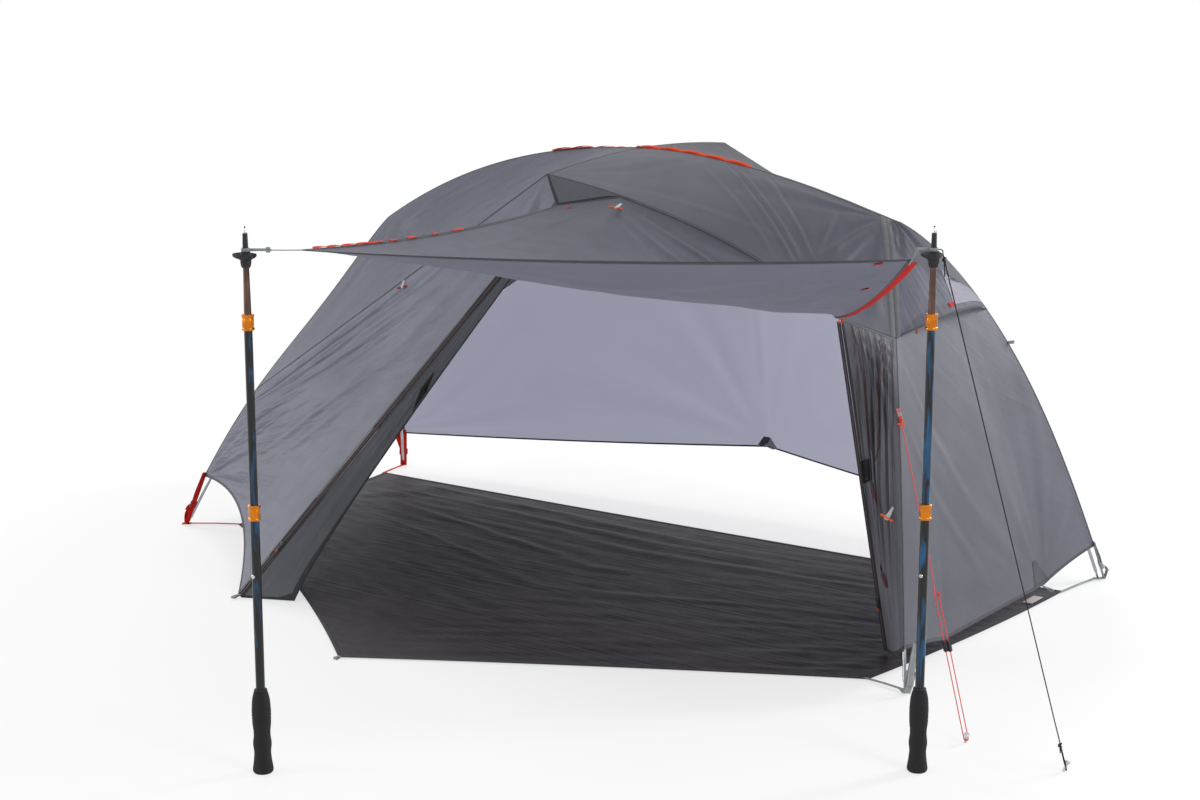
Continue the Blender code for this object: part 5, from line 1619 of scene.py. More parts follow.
    def awning(self) -> Panel:
        """The opened door, hung between the header seam and the two trekking poles."""
        folds = (
            Fan((0.0, 1.0), 16, 0.0008, 0.25), Fan((1.0, 1.0), 14, 0.002, 0.26, 1.4),
            Fan((1.0, 0.0), 15, 0.002, 0.28, 0.5), Fan((0.15, 0.0), 13, 0.0007, 0.25, 2.0),
            Fold((0.24, 0.03), (0.66, 0.14), 0.009, 0.005), Fold((0.24, 0.06), (0.58, 0.23), 0.01, 0.0036),
            Fold((0.2, 0.06), (0.66, 0.4), 0.012, 0.0018), Fold((0.1, 0.1), (0.05, 0.95), 0.012, 0.0014),
            Rumple(0.0009, 0.1, 12),
        )
        share, head = LINES.gusset_share, LINES.zip_head
        top = chained((straight(head, LINES.header(share)), share), (between(LINES.header, share, 1.0), 1 - share))
        left = arched(head, LINES.near_corner, UP * -self.left_sag)
        front = arched(LINES.near_corner, LINES.head_awning, UP * -self.front_sag)

        def drop(u: Grid, v: Grid) -> Grid:
            """The belly of the cloth and the folds drawn in by its corners."""
            belly = np.maximum(16 * u * (1 - u) * v * (1 - v), 0) ** 0.75
            pull = np.sin(u * 4 * math.pi) * np.sin(math.pi * v) * np.sin(math.pi * u)
            return self.awning_fold * pull - self.belly * belly

        return Panel(top, front, left, self.head_edge(), (0.6, -1.0, 6), (120, 130), folds, drop, -0.0006)

    def head_edge(self) -> Curve:
        """The awning's free edge on the head side."""
        return arched(LINES.door, LINES.head_awning, UP * -self.right_sag)

    def side(self) -> Panel:
        """The gathered panel on the head side of the door."""
        folds = (
            Pleats(self.pleat, 7), Pleats(self.pleat / 3, 17), Fan((0.3, 0.0), 24, 0.0026, 0.2),
            Fold((0.2, 0.05), (0.34, 0.95), 0.008, 0.0024), Fold((0.62, 0.05), (0.5, 0.95), 0.008, 0.002),
            Rumple(0.0008, 0.05, 13, (0.6, 2.4)),
        )
        offset = LINES.side_across() * self.side_zip_gap
        left, right = straight(LINES.door + offset, LINES.side_end + offset), LINES.lower(*HEAD_NEAR)
        hem = arched(left(1.0), right(1.0), UP * -self.side_hem_sag)
        return Panel(straight(left(0.0), right(0.0)), hem, left, right, DOOR_VIEW, (150, 110), folds)

    def flap(self) -> Panel:
        """The storm flap beside the left zip, its free edge bowed into the opening."""
        across = LINES.zip_across()
        head, stake = LINES.zip_head + across * self.zip_half, LINES.zip_stake + across * self.zip_half
        start, end = head + across * self.flap_width, LINES.flap_end
        free = drawn(start, LINES.flap_bow * 2 - (start + end) / 2, end)
        folds = (Fold((0.5, 0.05), (0.4, 0.95), 0.012, 0.002), Rumple(0.001, 0.06, 14))
        top, hem = straight(head, start), straight(stake, end)
        return Panel(top, hem, straight(head, stake), free, (-2, -6, 2), (16, 100), folds)

    def sheet(
        self, name: str, panels: Sequence[Panel], finish: Finish, flat: Pair, area: float, slot: str,
        *trims: tuple[str, Finish, list[Mesh]], held: str = "stretched",
    ) -> None:
        """Puts a cloth in place with the tapes and patches sewn to it.

        Args:
            name: the cloth's node, whose name the piece also carries.
            panels: its panels; all but the last one are roof.
            finish: what its last panel is made of.
            flat: width and length that it is cut from.
            area: its flat area.
            slot: the record's material slot.
            trims: name, finish and meshes of each piece sewn to it.
            held: how it is held.
        """
        trim = [placed(label, meshes, tape, 50) for label, tape, meshes in trims]
        meshes = [panel.mesh() for panel in panels]
        roof_faces = sum(len(bm.faces) for bm in meshes[:-1])
        bm = joined(meshes) if roof_faces else meshes[0]
        if roof_faces:
            bmesh.ops.remove_doubles(bm, verts=bm.verts, dist=2e-5)
        cloth = placed(f"{name}_cloth", bm, finish, 75, node=name, slot=slot)
        if roof_faces:
            cloth.data.materials.append(FAR_ROOF.material())
            for polygon in cloth.data.polygons[:roof_faces]:
                polygon.material_index = 1
        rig.sheet(cloth, flat, held, rests_on=[], area=area, with_pieces=trim)
        measured = sum(polygon.area for polygon in cloth.data.polygons)
        LOG.info("%s: %.4f m2 measured, %.4f m2 flat", name, measured, area)

    def build(self) -> None:
        """Makes every cloth of the fly with its seams, hems and patches."""
        near, foot, vestibule, foot_wall = self.near_roof(), self.foot_roof(), self.vestibule(), self.foot_wall()
        far_foot, far_head, far_wall = self.far_side()
        head_wall, hood, gusset = self.head_wall(), self.hood(), self.gusset()
        awning, side, flap = self.awning(), self.side(), self.flap()
        self.panels = {
            "far_wall": far_wall, "head_wall": head_wall, "hood": hood, "awning": awning, "side": side, "flap": flap
        }
        seam, shell, thin = self.seam, "shell fabric", "translucent fabric"
        top, bottom, left, right = Border
        self.sheet(
            "fly_near_panel", [near], CHARCOAL, (0.86, 0.62), 0.36, shell,
            ("near_roof_seams", SEAM_TAPE, near.bands(seam, top, bottom, left)),
            ("hub_seam", PALE_SEAM, near.bands(self.broad_seam, right)),
        )
        edges = foot.bands(seam, top) + foot.bands(0.003, bottom) + foot.bands(seam, left, right)
        self.sheet(
            "fly_foot_panel", [foot], SLATE, (1.02, 0.66), 0.49, thin, ("foot_roof_seams", SEAM_TAPE, edges)
        )
        edges = vestibule.bands(0.003, top) + vestibule.bands(seam, right) + [vestibule.band(left, 0.006, 0.12)]
        self.sheet(
            "fly_vestibule_panel", [vestibule], VESTIBULE_CLOTH, (1.2, 1.25), 0.7, thin,
            ("vestibule_seams", SEAM_TAPE, edges),
            ("vestibule_hem", SEAM_TAPE, vestibule.bands(0.007, bottom, bound=True)),
        )
        edges = foot_wall.bands(seam, left, right) + foot_wall.bands(self.hem, bottom, bound=True)
        trim = ("foot_wall_seams", BINDING, edges)
        self.sheet("fly_foot_wall", [foot_wall], LAVENDER, (1.0, 0.95), 0.345, thin, trim)
        edges = far_foot.bands(seam, top, left, right) + far_head.bands(seam, top, right)
        edges += far_wall.bands(seam, left, right) + far_wall.bands(0.005, bottom, bound=True)
        patch = far_wall.patch(((0.418, 0.968), (0.428, 0.968), (0.441, 1.0), (0.409, 1.0)))
        self.sheet(
            "fly_far_panel", [far_foot, far_head, far_wall], LAVENDER, (2.45, 1.4), 2.32, thin,
            ("far_side_seams", BINDING, edges), ("tie_out_patch", PATCH_CLOTH, [patch]),
        )
        patch = head_wall.patch(((0.715, 0.925), (0.735, 0.925), (0.775, 1.0), (0.7, 1.0)))
        edges = head_wall.bands(seam, left, right) + head_wall.bands(0.008, bottom, bound=True)
        self.sheet(
            "fly_head_wall", [head_wall], WALL_CLOTH, (1.12, 0.85), 0.595, shell,
            ("head_wall_seams", SEAM_TAPE, edges), ("hem_patch", SEAM_TAPE, [patch]),
        )
        patch = hood.patch(((0.5, 0.69), (0.7, 0.81), (0.99, 0.965), (0.44, 0.945)), steps=12)
        self.sheet(
            "vent_hood", [hood], HOOD_CLOTH, (0.52, 0.36), 0.089, shell,
            ("hood_hem", SEAM_TAPE, hood.bands(0.006, bottom, bound=True) + hood.bands(seam, right)),
            ("hood_leg_seam", PALE_SEAM, hood.bands(self.broad_seam, left)),
            ("hood_light_panel", PATCH_CLOTH, [patch]),
        )
        edges = gusset.bands(0.007, left) + gusset.bands(0.006, bottom)
        self.sheet("brow_gusset", [gusset], FLAP_CLOTH, (0.16, 0.09), 0.0084, shell, ("gusset_seams", BINDING, edges))
        edges = awning.bands(0.007, bottom, left, right, bound=True) + awning.bands(seam, top)
        self.sheet("awning", [awning], AWNING_CLOTH, (1.25, 1.3), 0.96, shell, ("awning_hems", SEAM_TAPE, edges))
        self.sheet(
            "door_side_panel", [side], SIDE_CLOTH, (0.45, 0.85), 0.165, thin,
            ("side_panel_hems", BINDING, side.bands(0.01, bottom, bound=True) + side.bands(0.007, left, bound=True)),
            ("side_panel_seams", PALE_SEAM, side.bands(0.005, top) + side.bands(0.012, right)),
            held="gathered",
        )
        edges = flap.bands(0.004, left) + flap.bands(0.015, right, bound=True) + flap.bands(0.008, bottom, bound=True)
        self.sheet(
            "door_storm_flap", [flap], FLAP_CLOTH, (0.12, 1.35), 0.0625, shell, ("flap_hems", BINDING, edges),
            held="hung",
        )


@dataclass
class Footprint:
    """The ground sheet: five corners, its free edges drawn in between them, lying with small crumples."""

    head_near: Vector = Vector((1.085, -0.522, 0))
    head_far: Vector = Vector((1.161, 0.386, 0))
    foot_far: Vector = Vector((-1.164, 0.356, 0))
    foot_near: Vector = Vector((-1.066, -0.39, 0))
    apex: Vector = Vector((0.012, -1.11, 0))
    curve: float = 0.03
    lowest: float = 0.0008

    def hollowed(self, start: Vector, end: Vector, hollow: float) -> Curve:
        """An edge drawn in towards the middle of the sheet."""
        return arched(start, end, (Vector((0.1, -0.2, 0)) - (start + end) / 2).normalized() * hollow)

    def build(self) -> None:
        """Makes the sheet as a grid between its far edge and its near one, and its hem tape."""
        far = self.hollowed(self.foot_far, self.head_far, self.curve / 3)
        left = self.hollowed(self.foot_far, self.foot_near, self.curve / 3)
        near = chained(
            (self.hollowed(self.foot_near, self.apex, self.curve), 1.32),
            (self.hollowed(self.apex, self.head_near, self.curve / 3), 1.22),
        )
        right = self.hollowed(self.head_far, self.head_near, -self.curve / 2)
        folds = (
            Rumple(0.001, 0.07, 21, (3.2, 0.6)), Fan((0.0, 0.5), 13, 0.0009, 0.35, 1.0),
            Fan((1.0, 0.5), 13, 0.0008, 0.35, 2.0), Fold((0.02, 0.06), (0.6, 0.1), 0.014, 0.0034),
            Fold((0.05, 0.16), (0.75, 0.14), 0.011, 0.003), Fold((0.05, 0.3), (0.62, 0.36), 0.012, 0.0026),
            Fold((0.3, 0.2), (0.95, 0.24), 0.012, 0.0026), Fold((0.1, 0.46), (0.52, 0.5), 0.01, 0.0022),
            Fold((0.4, 0.52), (0.96, 0.46), 0.011, 0.0022),
        )
        sheet = Panel(far, near, left, right, (0, 0, 9), (190, 100), folds, lift=0.003)
        sheet.points[..., 2] = np.maximum(sheet.points[..., 2], self.lowest)
        cloth = placed("footprint_cloth", sheet.mesh(), GROUND_CLOTH, 75, node="footprint", slot="ground fabric")
        edges = [sheet.band(border, 0.014, bound=True, rise=0.0006) for border in Border]
        tape = placed("footprint_hem", edges, BINDING, 50)
        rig.sheet(cloth, (2.35, 1.5), "laid", area=2.54, with_pieces=[tape])


@dataclass
class PoleSet:
    """The frame under the fly: ridge pole, four legs with pins, and the hubs and brow pole that carry them."""

    radius: float = 0.00435
    pin: float = 0.0026
    pin_length: float = 0.022
    shoulder: float = 0.004
    leg_depth: float = 0.02
    ridge_depth: float = 0.016
    inset: Point = (0.5, 1.0, 0.45)
    hub_arm: float = 0.046
    hub_solid: float = 0.012

    def under_ridge(self, x: float) -> Vector:
        """A place of the ridge pole, square under its seam."""
        return LINES.ridge(x) + square_to(-UP, tangent(LINES.ridge, x)) * self.ridge_depth

    def leg(self, end: End, side: Side) -> list[Vector]:
        """Centre line of a leg, from the ground to just under its hub.

        Args:
            end: the leg's end of the tent.
            side: the leg's long side.

        Returns:
            Its points.
        """
        curve = LINES.leg(end, side)
        hint = Vector((-end.value * self.inset[0], -side.value * self.inset[1], -self.inset[2]))
        shares = [0.02 + 0.08 * i for i in range(12)]
        points = [curve(t) + square_to(hint, tangent(curve, t)) * self.leg_depth for t in shares]
        ahead = (points[1] - points[0]).normalized()
        level = math.hypot(ahead.x, ahead.y) * self.pin
        ground = points[0] - ahead * ((points[0].z - level) / ahead.z)
        shoulder = ground + ahead * self.pin_length
        kept = [point for point in points if point.z > shoulder.z + self.pin_length]
        return [ground, shoulder, shoulder + ahead * self.shoulder] + kept

    def tube(self, path: Line, joints: Sequence[float]) -> list[Mesh]:
        """A pole with its ferrules.

        Args:
            path: its centre line.
            joints: where its sections meet, as shares of it.

        Returns:
            The tube and a short sleeve at each joint.
        """
        fine = smoothed(path, 5)
        across = ALONG if abs((fine[-1] - fine[0]).normalized().x) < 0.9 else UP
        meshes = [cord(fine, across, self.radius, 20)]
        sleeve = ring(self.radius * 0.9, self.radius + 0.0004, 0.018)
        for k in (int(share * (len(fine) - 1)) for share in joints):
            meshes.append(aimed(sleeve, fine[k], (fine[k + 1] - fine[k]).normalized(), closed=True))
        return meshes

    def build(self) -> None:
        """Makes the legs and the ridge pole, and finishes the hubs and the brow pole."""
        top = self.pin_length + self.shoulder
        tip = [
            (0.0, 0.0), (self.pin * 0.7, 0.0), (self.pin, 0.0012), (self.pin, self.pin_length), (self.radius, top),
            (0.0, top),
        ]
        hubs = {end: self.under_ridge(LINES.hub(end).x) for end in End}
        for end, side in (HEAD_NEAR, HEAD_FAR, FOOT_NEAR, FOOT_FAR):
            points = self.leg(end, side)
            last = stepped(hubs[end], points[-1], self.hub_solid)
            meshes = self.tube(points[2:] + [last], (0.3, 0.68))
            meshes.append(aimed(tip, points[0], (points[1] - points[0]).normalized()))
            name = f"{end.name.lower()}_leg_{side.name.lower()}"
            placed(f"{name}_tube", meshes, POLE_ALLOY, node=name, slot="pole alloy")
        low, high = LINES.foot_hub_x + self.hub_arm * 1.1, LINES.head_hub_x - self.hub_arm * 1.1
        path = [self.under_ridge(low + (high - low) * i / 16) for i in range(17)]
        foot, head = (stepped(hubs[end], path[k], self.hub_solid) for end, k in ((End.FOOT, 0), (End.HEAD, -1)))
        meshes = self.tube([foot, *path, head], (0.2, 0.42, 0.64, 0.86))
        placed("ridge_pole_tube", meshes, POLE_ALLOY, node="ridge_pole", slot="pole alloy")
        for name, finish in (("head_hub", BLACK_PLASTIC), ("foot_hub", BLACK_PLASTIC), ("brow_pole", POLE_ALLOY)):
            for slot in frame["nodes"][name].material_slots:
                slot.material = finish.material()


@dataclass
class CornerStrap:
    """Webbing from a corner of the fly to the leg's pin and on to the footprint, with its ladder-lock."""

    end: End
    side: Side
    floor: Vector
    poles: PoleSet
    width: float = 0.016
    across: Point | None = None
    beside: Point = (0.0, 0.0, 0.0)
    top_shift: Point = (0.0, 0.0, 0.0)
    splay: Point = (0.0, 0.0, 0.0)
    bow: float = 0.009
    tab: Pair = (0.03, 0.019)
    tab_z: float = 0.0045
    link: float = 0.0096
    station: float = 0.42
    lock_length: float = 0.02

    def ladder_lock(self, centre: Vector, axes: Line) -> list[Mesh]:
        """The buckle: two rails, the bars that the webbing weaves through, and a lip.

        Args:
            centre: its middle, in the webbing.
            axes: directions across the webbing, away from the tent and along the webbing.

        Returns:
            Its parts.
        """
        across, out, along = axes
        width, length = self.width, self.lock_length
        rail, bar = (0.0026, 0.006, length), (width + 0.004, 0.0022, 0.003)
        parts = [block(centre + across * (width / 2 + 0.0016) * s, axes, rail, 0.0009) for s in (-1, 1)]
        for place, lift in ((-0.42, 1), (0.0, 1), (0.42, 1), (0.1, -1)):
            parts.append(block(centre + along * length * place + out * lift * 0.0024, axes, bar, 0.0009))
        lip = centre + along * length * 0.5 + out * 0.003
        return parts + [block(lip, axes, (width * 0.8, 0.0012, 0.0034), 0.0005)]

    def build(self) -> None:
        """Makes the strap, its tab with the eyelet on the leg's pin, the link and the ladder-lock."""
        head = self.end is End.HEAD
        webbing, plastic, hue, tone = (
            (GREY_WEB, GREY_PLASTIC, "head", "grey") if head else (RED_WEB, RED_PLASTIC, "foot", "red")
        )
        name = f"{self.end.name.lower()}_{self.side.name.lower()}"
        curve = LINES.leg(self.end, self.side)
        station = LINES.corner(self.end, self.side)
        aside = Vector(self.beside)
        top = curve(station) - tangent(curve, station) * 0.001 + Vector(self.top_shift) + aside
        pin = self.poles.leg(self.end, self.side)[0]
        outward = unit(self.end.value, self.side.value)
        ground = Vector((pin.x, pin.y, self.tab_z))
        foot = ground + (aside if self.beside[0] else outward * self.tab[0] / 2)
        along = (top - foot).normalized()
        across = square_to(Vector(self.across) if self.across else outward.cross(UP), along)
        out = towards(outward, across.cross(along))
        buckle = foot.lerp(top, self.station)
        main = strap(smoothed([foot, buckle, top, top + along * 0.016], 6), across, self.width)
        free_top = top + out * 0.0026 + Vector(self.splay)
        path = [
            foot + out * 0.0012, foot.lerp(top, 0.2) + out * self.bow, buckle + out * 0.0045,
            buckle.lerp(free_top, 0.45) + out * 0.004, free_top, free_top + along * 0.012,
        ]
        layer = strap(smoothed(path, 6), across, self.width * 0.94)
        tail = [
            buckle + out * 0.006, buckle - along * 0.01 + out * (self.bow * 0.8 + 0.003),
            buckle - along * 0.024 + out * (self.bow + 0.004),
        ]
        loose = strap(smoothed(tail, 5), across, self.width)
        path = [ground - outward * 0.012, ground, ground + outward * self.tab[0] / 2]
        tab = strap(path, outward.cross(UP), self.tab[1])
        start = ground - outward * 0.009 + UP * 0.0003
        way = level_way(start, self.floor)
        finish = self.floor + way * 0.012 + UP * 0.0032
        link = strap([start, start.lerp(finish, 0.5) + UP * 0.0012, finish], way.cross(UP), self.link)
        axes = (across, out, along)
        meshes = [main, layer, loose, tab, link]
        for rise in (0.004, 0.011):
            meshes.append(block(top + along * rise + out * 0.0012, axes, (0.013, 0.0006, 0.0016), 0.0002))
        placed(f"{name}_strap", meshes, webbing, 60, node=f"{name}_webbing", slot=f"{hue} webbing")
        eyelet = turned(ring(self.width * 0.19, self.width * 0.36, 0.0026), ground - UP * 0.0013, 28)
        placed(f"{name}_eyelet", eyelet, ALLOY)
        lock = self.ladder_lock(buckle + out * 0.002, axes)
        placed(f"{name}_buckle", lock, plastic, 40, f"{name}_ladderlock", f"{name}_adjuster", f"{tone} plastic")


@dataclass
class TrekkingPole:
    """A three-section trekking pole, upside down on its grip, its basket and tip at the top."""

    side: str
    foot: Vector
    short_way: Vector
    lacquer: Finish
    radii: Point = (0.009, 0.008, 0.007)
    wall: float = 0.0007
    grip_top: float = 0.169
    grip_radius: float = 0.0185
    grip_floor: float = 0.0123
    lower_lock: float = 0.5145
    upper_lock: float = 0.8865
    lock_height: float = 0.031
    lock_radius: float = 0.0122
    overlap: float = 0.06
    stud_z: float = 0.403
    basket_z: float = 1.006
    basket_height: float = 0.03
    basket_radius: float = 0.025
    basket_hub: float = 0.0105
    short: float = 0.62
    ferrule: Pair = (0.0058, 0.0047)
    ferrule_top: float = 1.0715
    point_top: float = 1.0845

    def grip(self) -> Mesh:
        """The foam grip: finger swells, fine grooves and a rounded end that stands on the ground."""
        r, seat, top, floor = self.grip_radius, self.radii[0] + 0.0003, self.grip_top, self.grip_floor
        swells = [
            (0.0176, 0.0), (0.0205, 0.006), (r * 0.98, 0.024), (r * 0.9, 0.042), (r * 0.99, 0.06),
            (r * 0.89, 0.08), (r, 0.105), (r * 1.02, 0.13), (r * 0.93, 0.152), (r * 0.72, top - 0.001),
        ]
        profile = [(0.0, 0.0)]
        for radius, height in rounded(swells, 12):
            groove = max(0.0, math.cos(2 * math.pi * height / 0.0068)) ** 6 if 0.086 < height < 0.146 else 0.0
            profile.append((radius - 0.0007 * groove, height))
        profile += [(r * 0.68, top), (seat, top), (seat, floor), (0.0, floor)]
        return turned(profile, self.foot, 56, False)

    def collar(self, height: float, lower: float, upper: float) -> Mesh:
        """A twist-lock collar: two rolled rims and a waist with grip flutes.

        Args:
            height: of its lower rim.
            lower: radius of the section below.
            upper: radius of the section above.

        Returns:
            The mesh.
        """
        h, r = self.lock_height, self.lock_radius
        low, high = lower + 0.0005, upper + 0.0005
        rim = [(0.9, 0.0), (0.99, 0.0012), (1, 0.0036), (0.97, 0.0052), (0.9, 0.006), (0.89, 0.0075), (0.94, 0.009)]
        outline = rim + [(0.93, h * 0.5)] + [(a, h - b) for a, b in rim[::-1]]
        profile = [(low, height)] + [(r * a, height + b) for a, b in outline]
        profile += [(high, height + h), (high, height + h / 2), (low, height + h / 2)]
        bm = turned(profile, self.foot, 64)
        for vert in bm.verts:
            away = vert.co - self.foot
            rise = abs(away.z - height - h / 2)
            if rise < 0.007 and math.hypot(away.x, away.y) > r * 0.9:
                flute = max(0.0, math.cos(8 * math.atan2(away.y, away.x))) ** 2
                vert.co -= unit(away.x, away.y) * 0.0008 * flute
        return bm

    def tube(self, radius: float, low: float, high: float) -> Mesh:
        """A plain tube with softened rims.

        Args:
            radius: of its outside.
            low: height of its lower end.
            high: height of its upper end.

        Returns:
            The mesh.
        """
        bore, c = radius - self.wall, 0.0002
        lower, upper = [(bore, low), (radius - c, low), (radius, low + c)], [(radius, high - c), (radius - c, high)]
        return turned(lower + upper + [(bore, high)], self.foot)

    def basket(self) -> Mesh:
        """A cup under a dished rim with small cut-outs, its rim short on one side."""
        bore, z, h = self.ferrule[0] + 0.0004, self.basket_z, self.basket_height
        hub, r = self.basket_hub, self.basket_radius
        outer, inner = (
            [(bore + 0.0012, 0.0), (hub * 0.86, 0.1), (hub, 0.33), (hub, 0.46), (hub * 1.35, 0.56), (r * 0.8, 0.63),
             (r * 0.97, 0.74), (r, 0.8)],
            [(r * 0.98, 0.9), (r * 0.78, 0.78), (hub * 1.3, 0.72), (hub * 0.95, 0.84), (hub * 0.86, 1.0)],
        )
        dish = [pair for line in (outer, inner) for pair in rounded([(a, z + h * b) for a, b in line])]
        bm = turned([(bore, z)] + dish + [(bore, z + h)], self.foot, 64)
        for vert in bm.verts:
            away = vert.co - self.foot
            reach = math.hypot(away.x, away.y)
            if reach > hub * 1.2:
                share = (reach - hub * 1.2) / (r - hub * 1.2)
                notch = max(0.0, math.cos(6 * math.atan2(away.y, away.x))) ** 8 * share
                vert.co -= unit(away.x, away.y) * 0.0022 * notch
                way = away.x * self.short_way.x + away.y * self.short_way.y
                vert.co -= self.short_way * max(way, 0.0) * (1 - self.short)
        return bm

    def build(self) -> None:
        """Makes the pole from its grip up to its point."""
        handle, middle, tip = self.radii
        low, high = (lock + self.lock_height / 2 for lock in (self.lower_lock, self.upper_lock))
        seat = rounded([(handle + 0.0003, 0.0), (0.0128, 0.0008), (0.0126, 0.003), (handle + 0.0003, 0.0042)], 3)
        dome = [(0.0, 0.0), (0.0042, 0.0), (0.0042, 0.0022), (0.0036, 0.003), (0.0022, 0.0034), (0.0, 0.0035)]
        stud = aimed(dome, self.foot + Vector((0, -middle - 0.0004, self.stud_z)), Vector((0, -1, 0)), 32)
        (r, top_r), top, point = self.ferrule, self.ferrule_top, self.point_top
        start, end = self.basket_z + 0.002, high - self.overlap
        shaft = [
            (0.0, end), (tip - 0.0003, end), (tip, end + 0.0003), (tip, self.upper_lock + self.lock_height * 1.3),
            (r, self.basket_z - 0.004), (r, start), (0.0, start),
        ]
        sleeve = [
            (0.0, start), (r, start), (r, top - 0.032), (r * 0.93, top - 0.026), (top_r * 1.04, top - 0.001),
            (top_r * 0.9, top), (0.0, top),
        ]
        cone = [
            (0.0, top), (0.004, top), (0.0041, top + 0.0018), (0.003, top + 0.0062), (0.002, point - 0.003),
            (0.0, point - 0.003),
        ]
        bit = [(0.0, point - 0.0032), (0.0017, point - 0.0032), (0.0014, point - 0.0006), (0.0009, point), (0.0, point)]
        shaft, sleeve, cone, bit = (
            turned(profile, self.foot, steps, False)
            for profile, steps in ((shaft, 48), (sleeve, 40), (cone, 32), (bit, 24))
        )
        lower, upper = self.collar(self.lower_lock, handle, middle), self.collar(self.upper_lock, middle, tip)
        handle, middle = self.tube(handle, self.grip_floor, low), self.tube(middle, low - self.overlap, high)
        for part, mesh, finish, slot, body, node in (
            ("grip_foam", self.grip(), FOAM, "grip foam", "", "grip"),
            ("lower_tube", handle, SHAFT, "blue shaft", "", "handle_shaft"),
            ("grip_ring", turned(seat, self.foot + UP * self.grip_top, 40), BLACK_PLASTIC, "black plastic", "", ""),
            ("rivet", stud, STEEL, "stud metal", "", "stud"),
            ("lower_collar_ring", lower, ORANGE_ALLOY, "lock metal", "lower_collar", "lower_lock"),
            ("middle_tube", middle, self.lacquer, "blue shaft", "middle", "middle_shaft"),
            ("upper_collar_ring", upper, ORANGE_ALLOY, "lock metal", "upper_collar", "upper_lock"),
            ("tip_tube", shaft, BRONZE, "bronze shaft", "tip", "tip_section"),
            ("ferrule", sleeve, BLACK_PLASTIC, "black plastic", "tip", ""),
            ("tip_cone", cone, STEEL, "lock metal", "tip", ""),
            ("tip_point", bit, BLACK_PLASTIC, "black plastic", "tip", ""),
            ("basket_cup", self.basket(), BLACK_PLASTIC, "black plastic", "tip", "basket"),
        ):
            name, body, node = (f"{self.side}_{word}" if word else "" for word in (part, body, node))
            placed(name, mesh, finish, 35, body or "tent", node, slot)


@dataclass
class AwningLoop:
    """Webbing from an awning corner to the ring that drops over a pole tip, with a small slide on it."""

    side: str
    foot: Vector
    corner: Vector
    inner: float = 0.0064
    wall: float = 0.0018
    height: float = 1.0365
    rise: float = 0.007
    reach: float = 0.03
    narrow: float = 0.0055
    wide: float = 0.0075

    def build(self) -> None:
        """Makes the ring, the narrow and the wide strap, and the slide."""
        eye = turned(ring(self.inner, self.inner + self.wall, self.rise, 0.0005), self.foot + UP * self.height, 40)
        centre = self.foot + UP * (self.height + self.rise / 2)
        level = level_way(centre, self.corner)
        rim, end = centre + level * self.reach, self.corner - UP * 0.0006
        along, across = (end - rim).normalized(), level.cross(UP)
        narrow = [centre + level * (self.inner + self.wall / 2), rim, rim.lerp(end, 0.22)]
        wide = [rim.lerp(end, 0.16), rim.lerp(end, 0.5) - UP * 0.0006, end + along * 0.012]
        turn = [UP.lerp(across, min(k / 4, 1.0)).normalized() for k in range(13)]
        meshes = [eye, strap(smoothed(narrow, 6), UP, self.narrow), strap(smoothed(wide, 6), turn, self.wide)]
        node = f"{self.side}_awning_loop"
        placed(f"{self.side}_corner_strap", meshes, GREY_WEB, 60, node=node, slot="head webbing")
        spot, axes = rim.lerp(end, 0.19), (along, across, UP)
        slide = [
            block(spot + way * s, axes, size)
            for way, size in ((UP * 0.0042, (0.008, 0.0034, 0.002)), (along * 0.0032, (0.002, 0.0034, 0.0095)))
            for s in (-1, 1)
        ]
        placed(f"{self.side}_strap_slide", slide, GREY_PLASTIC, slot="grey plastic")


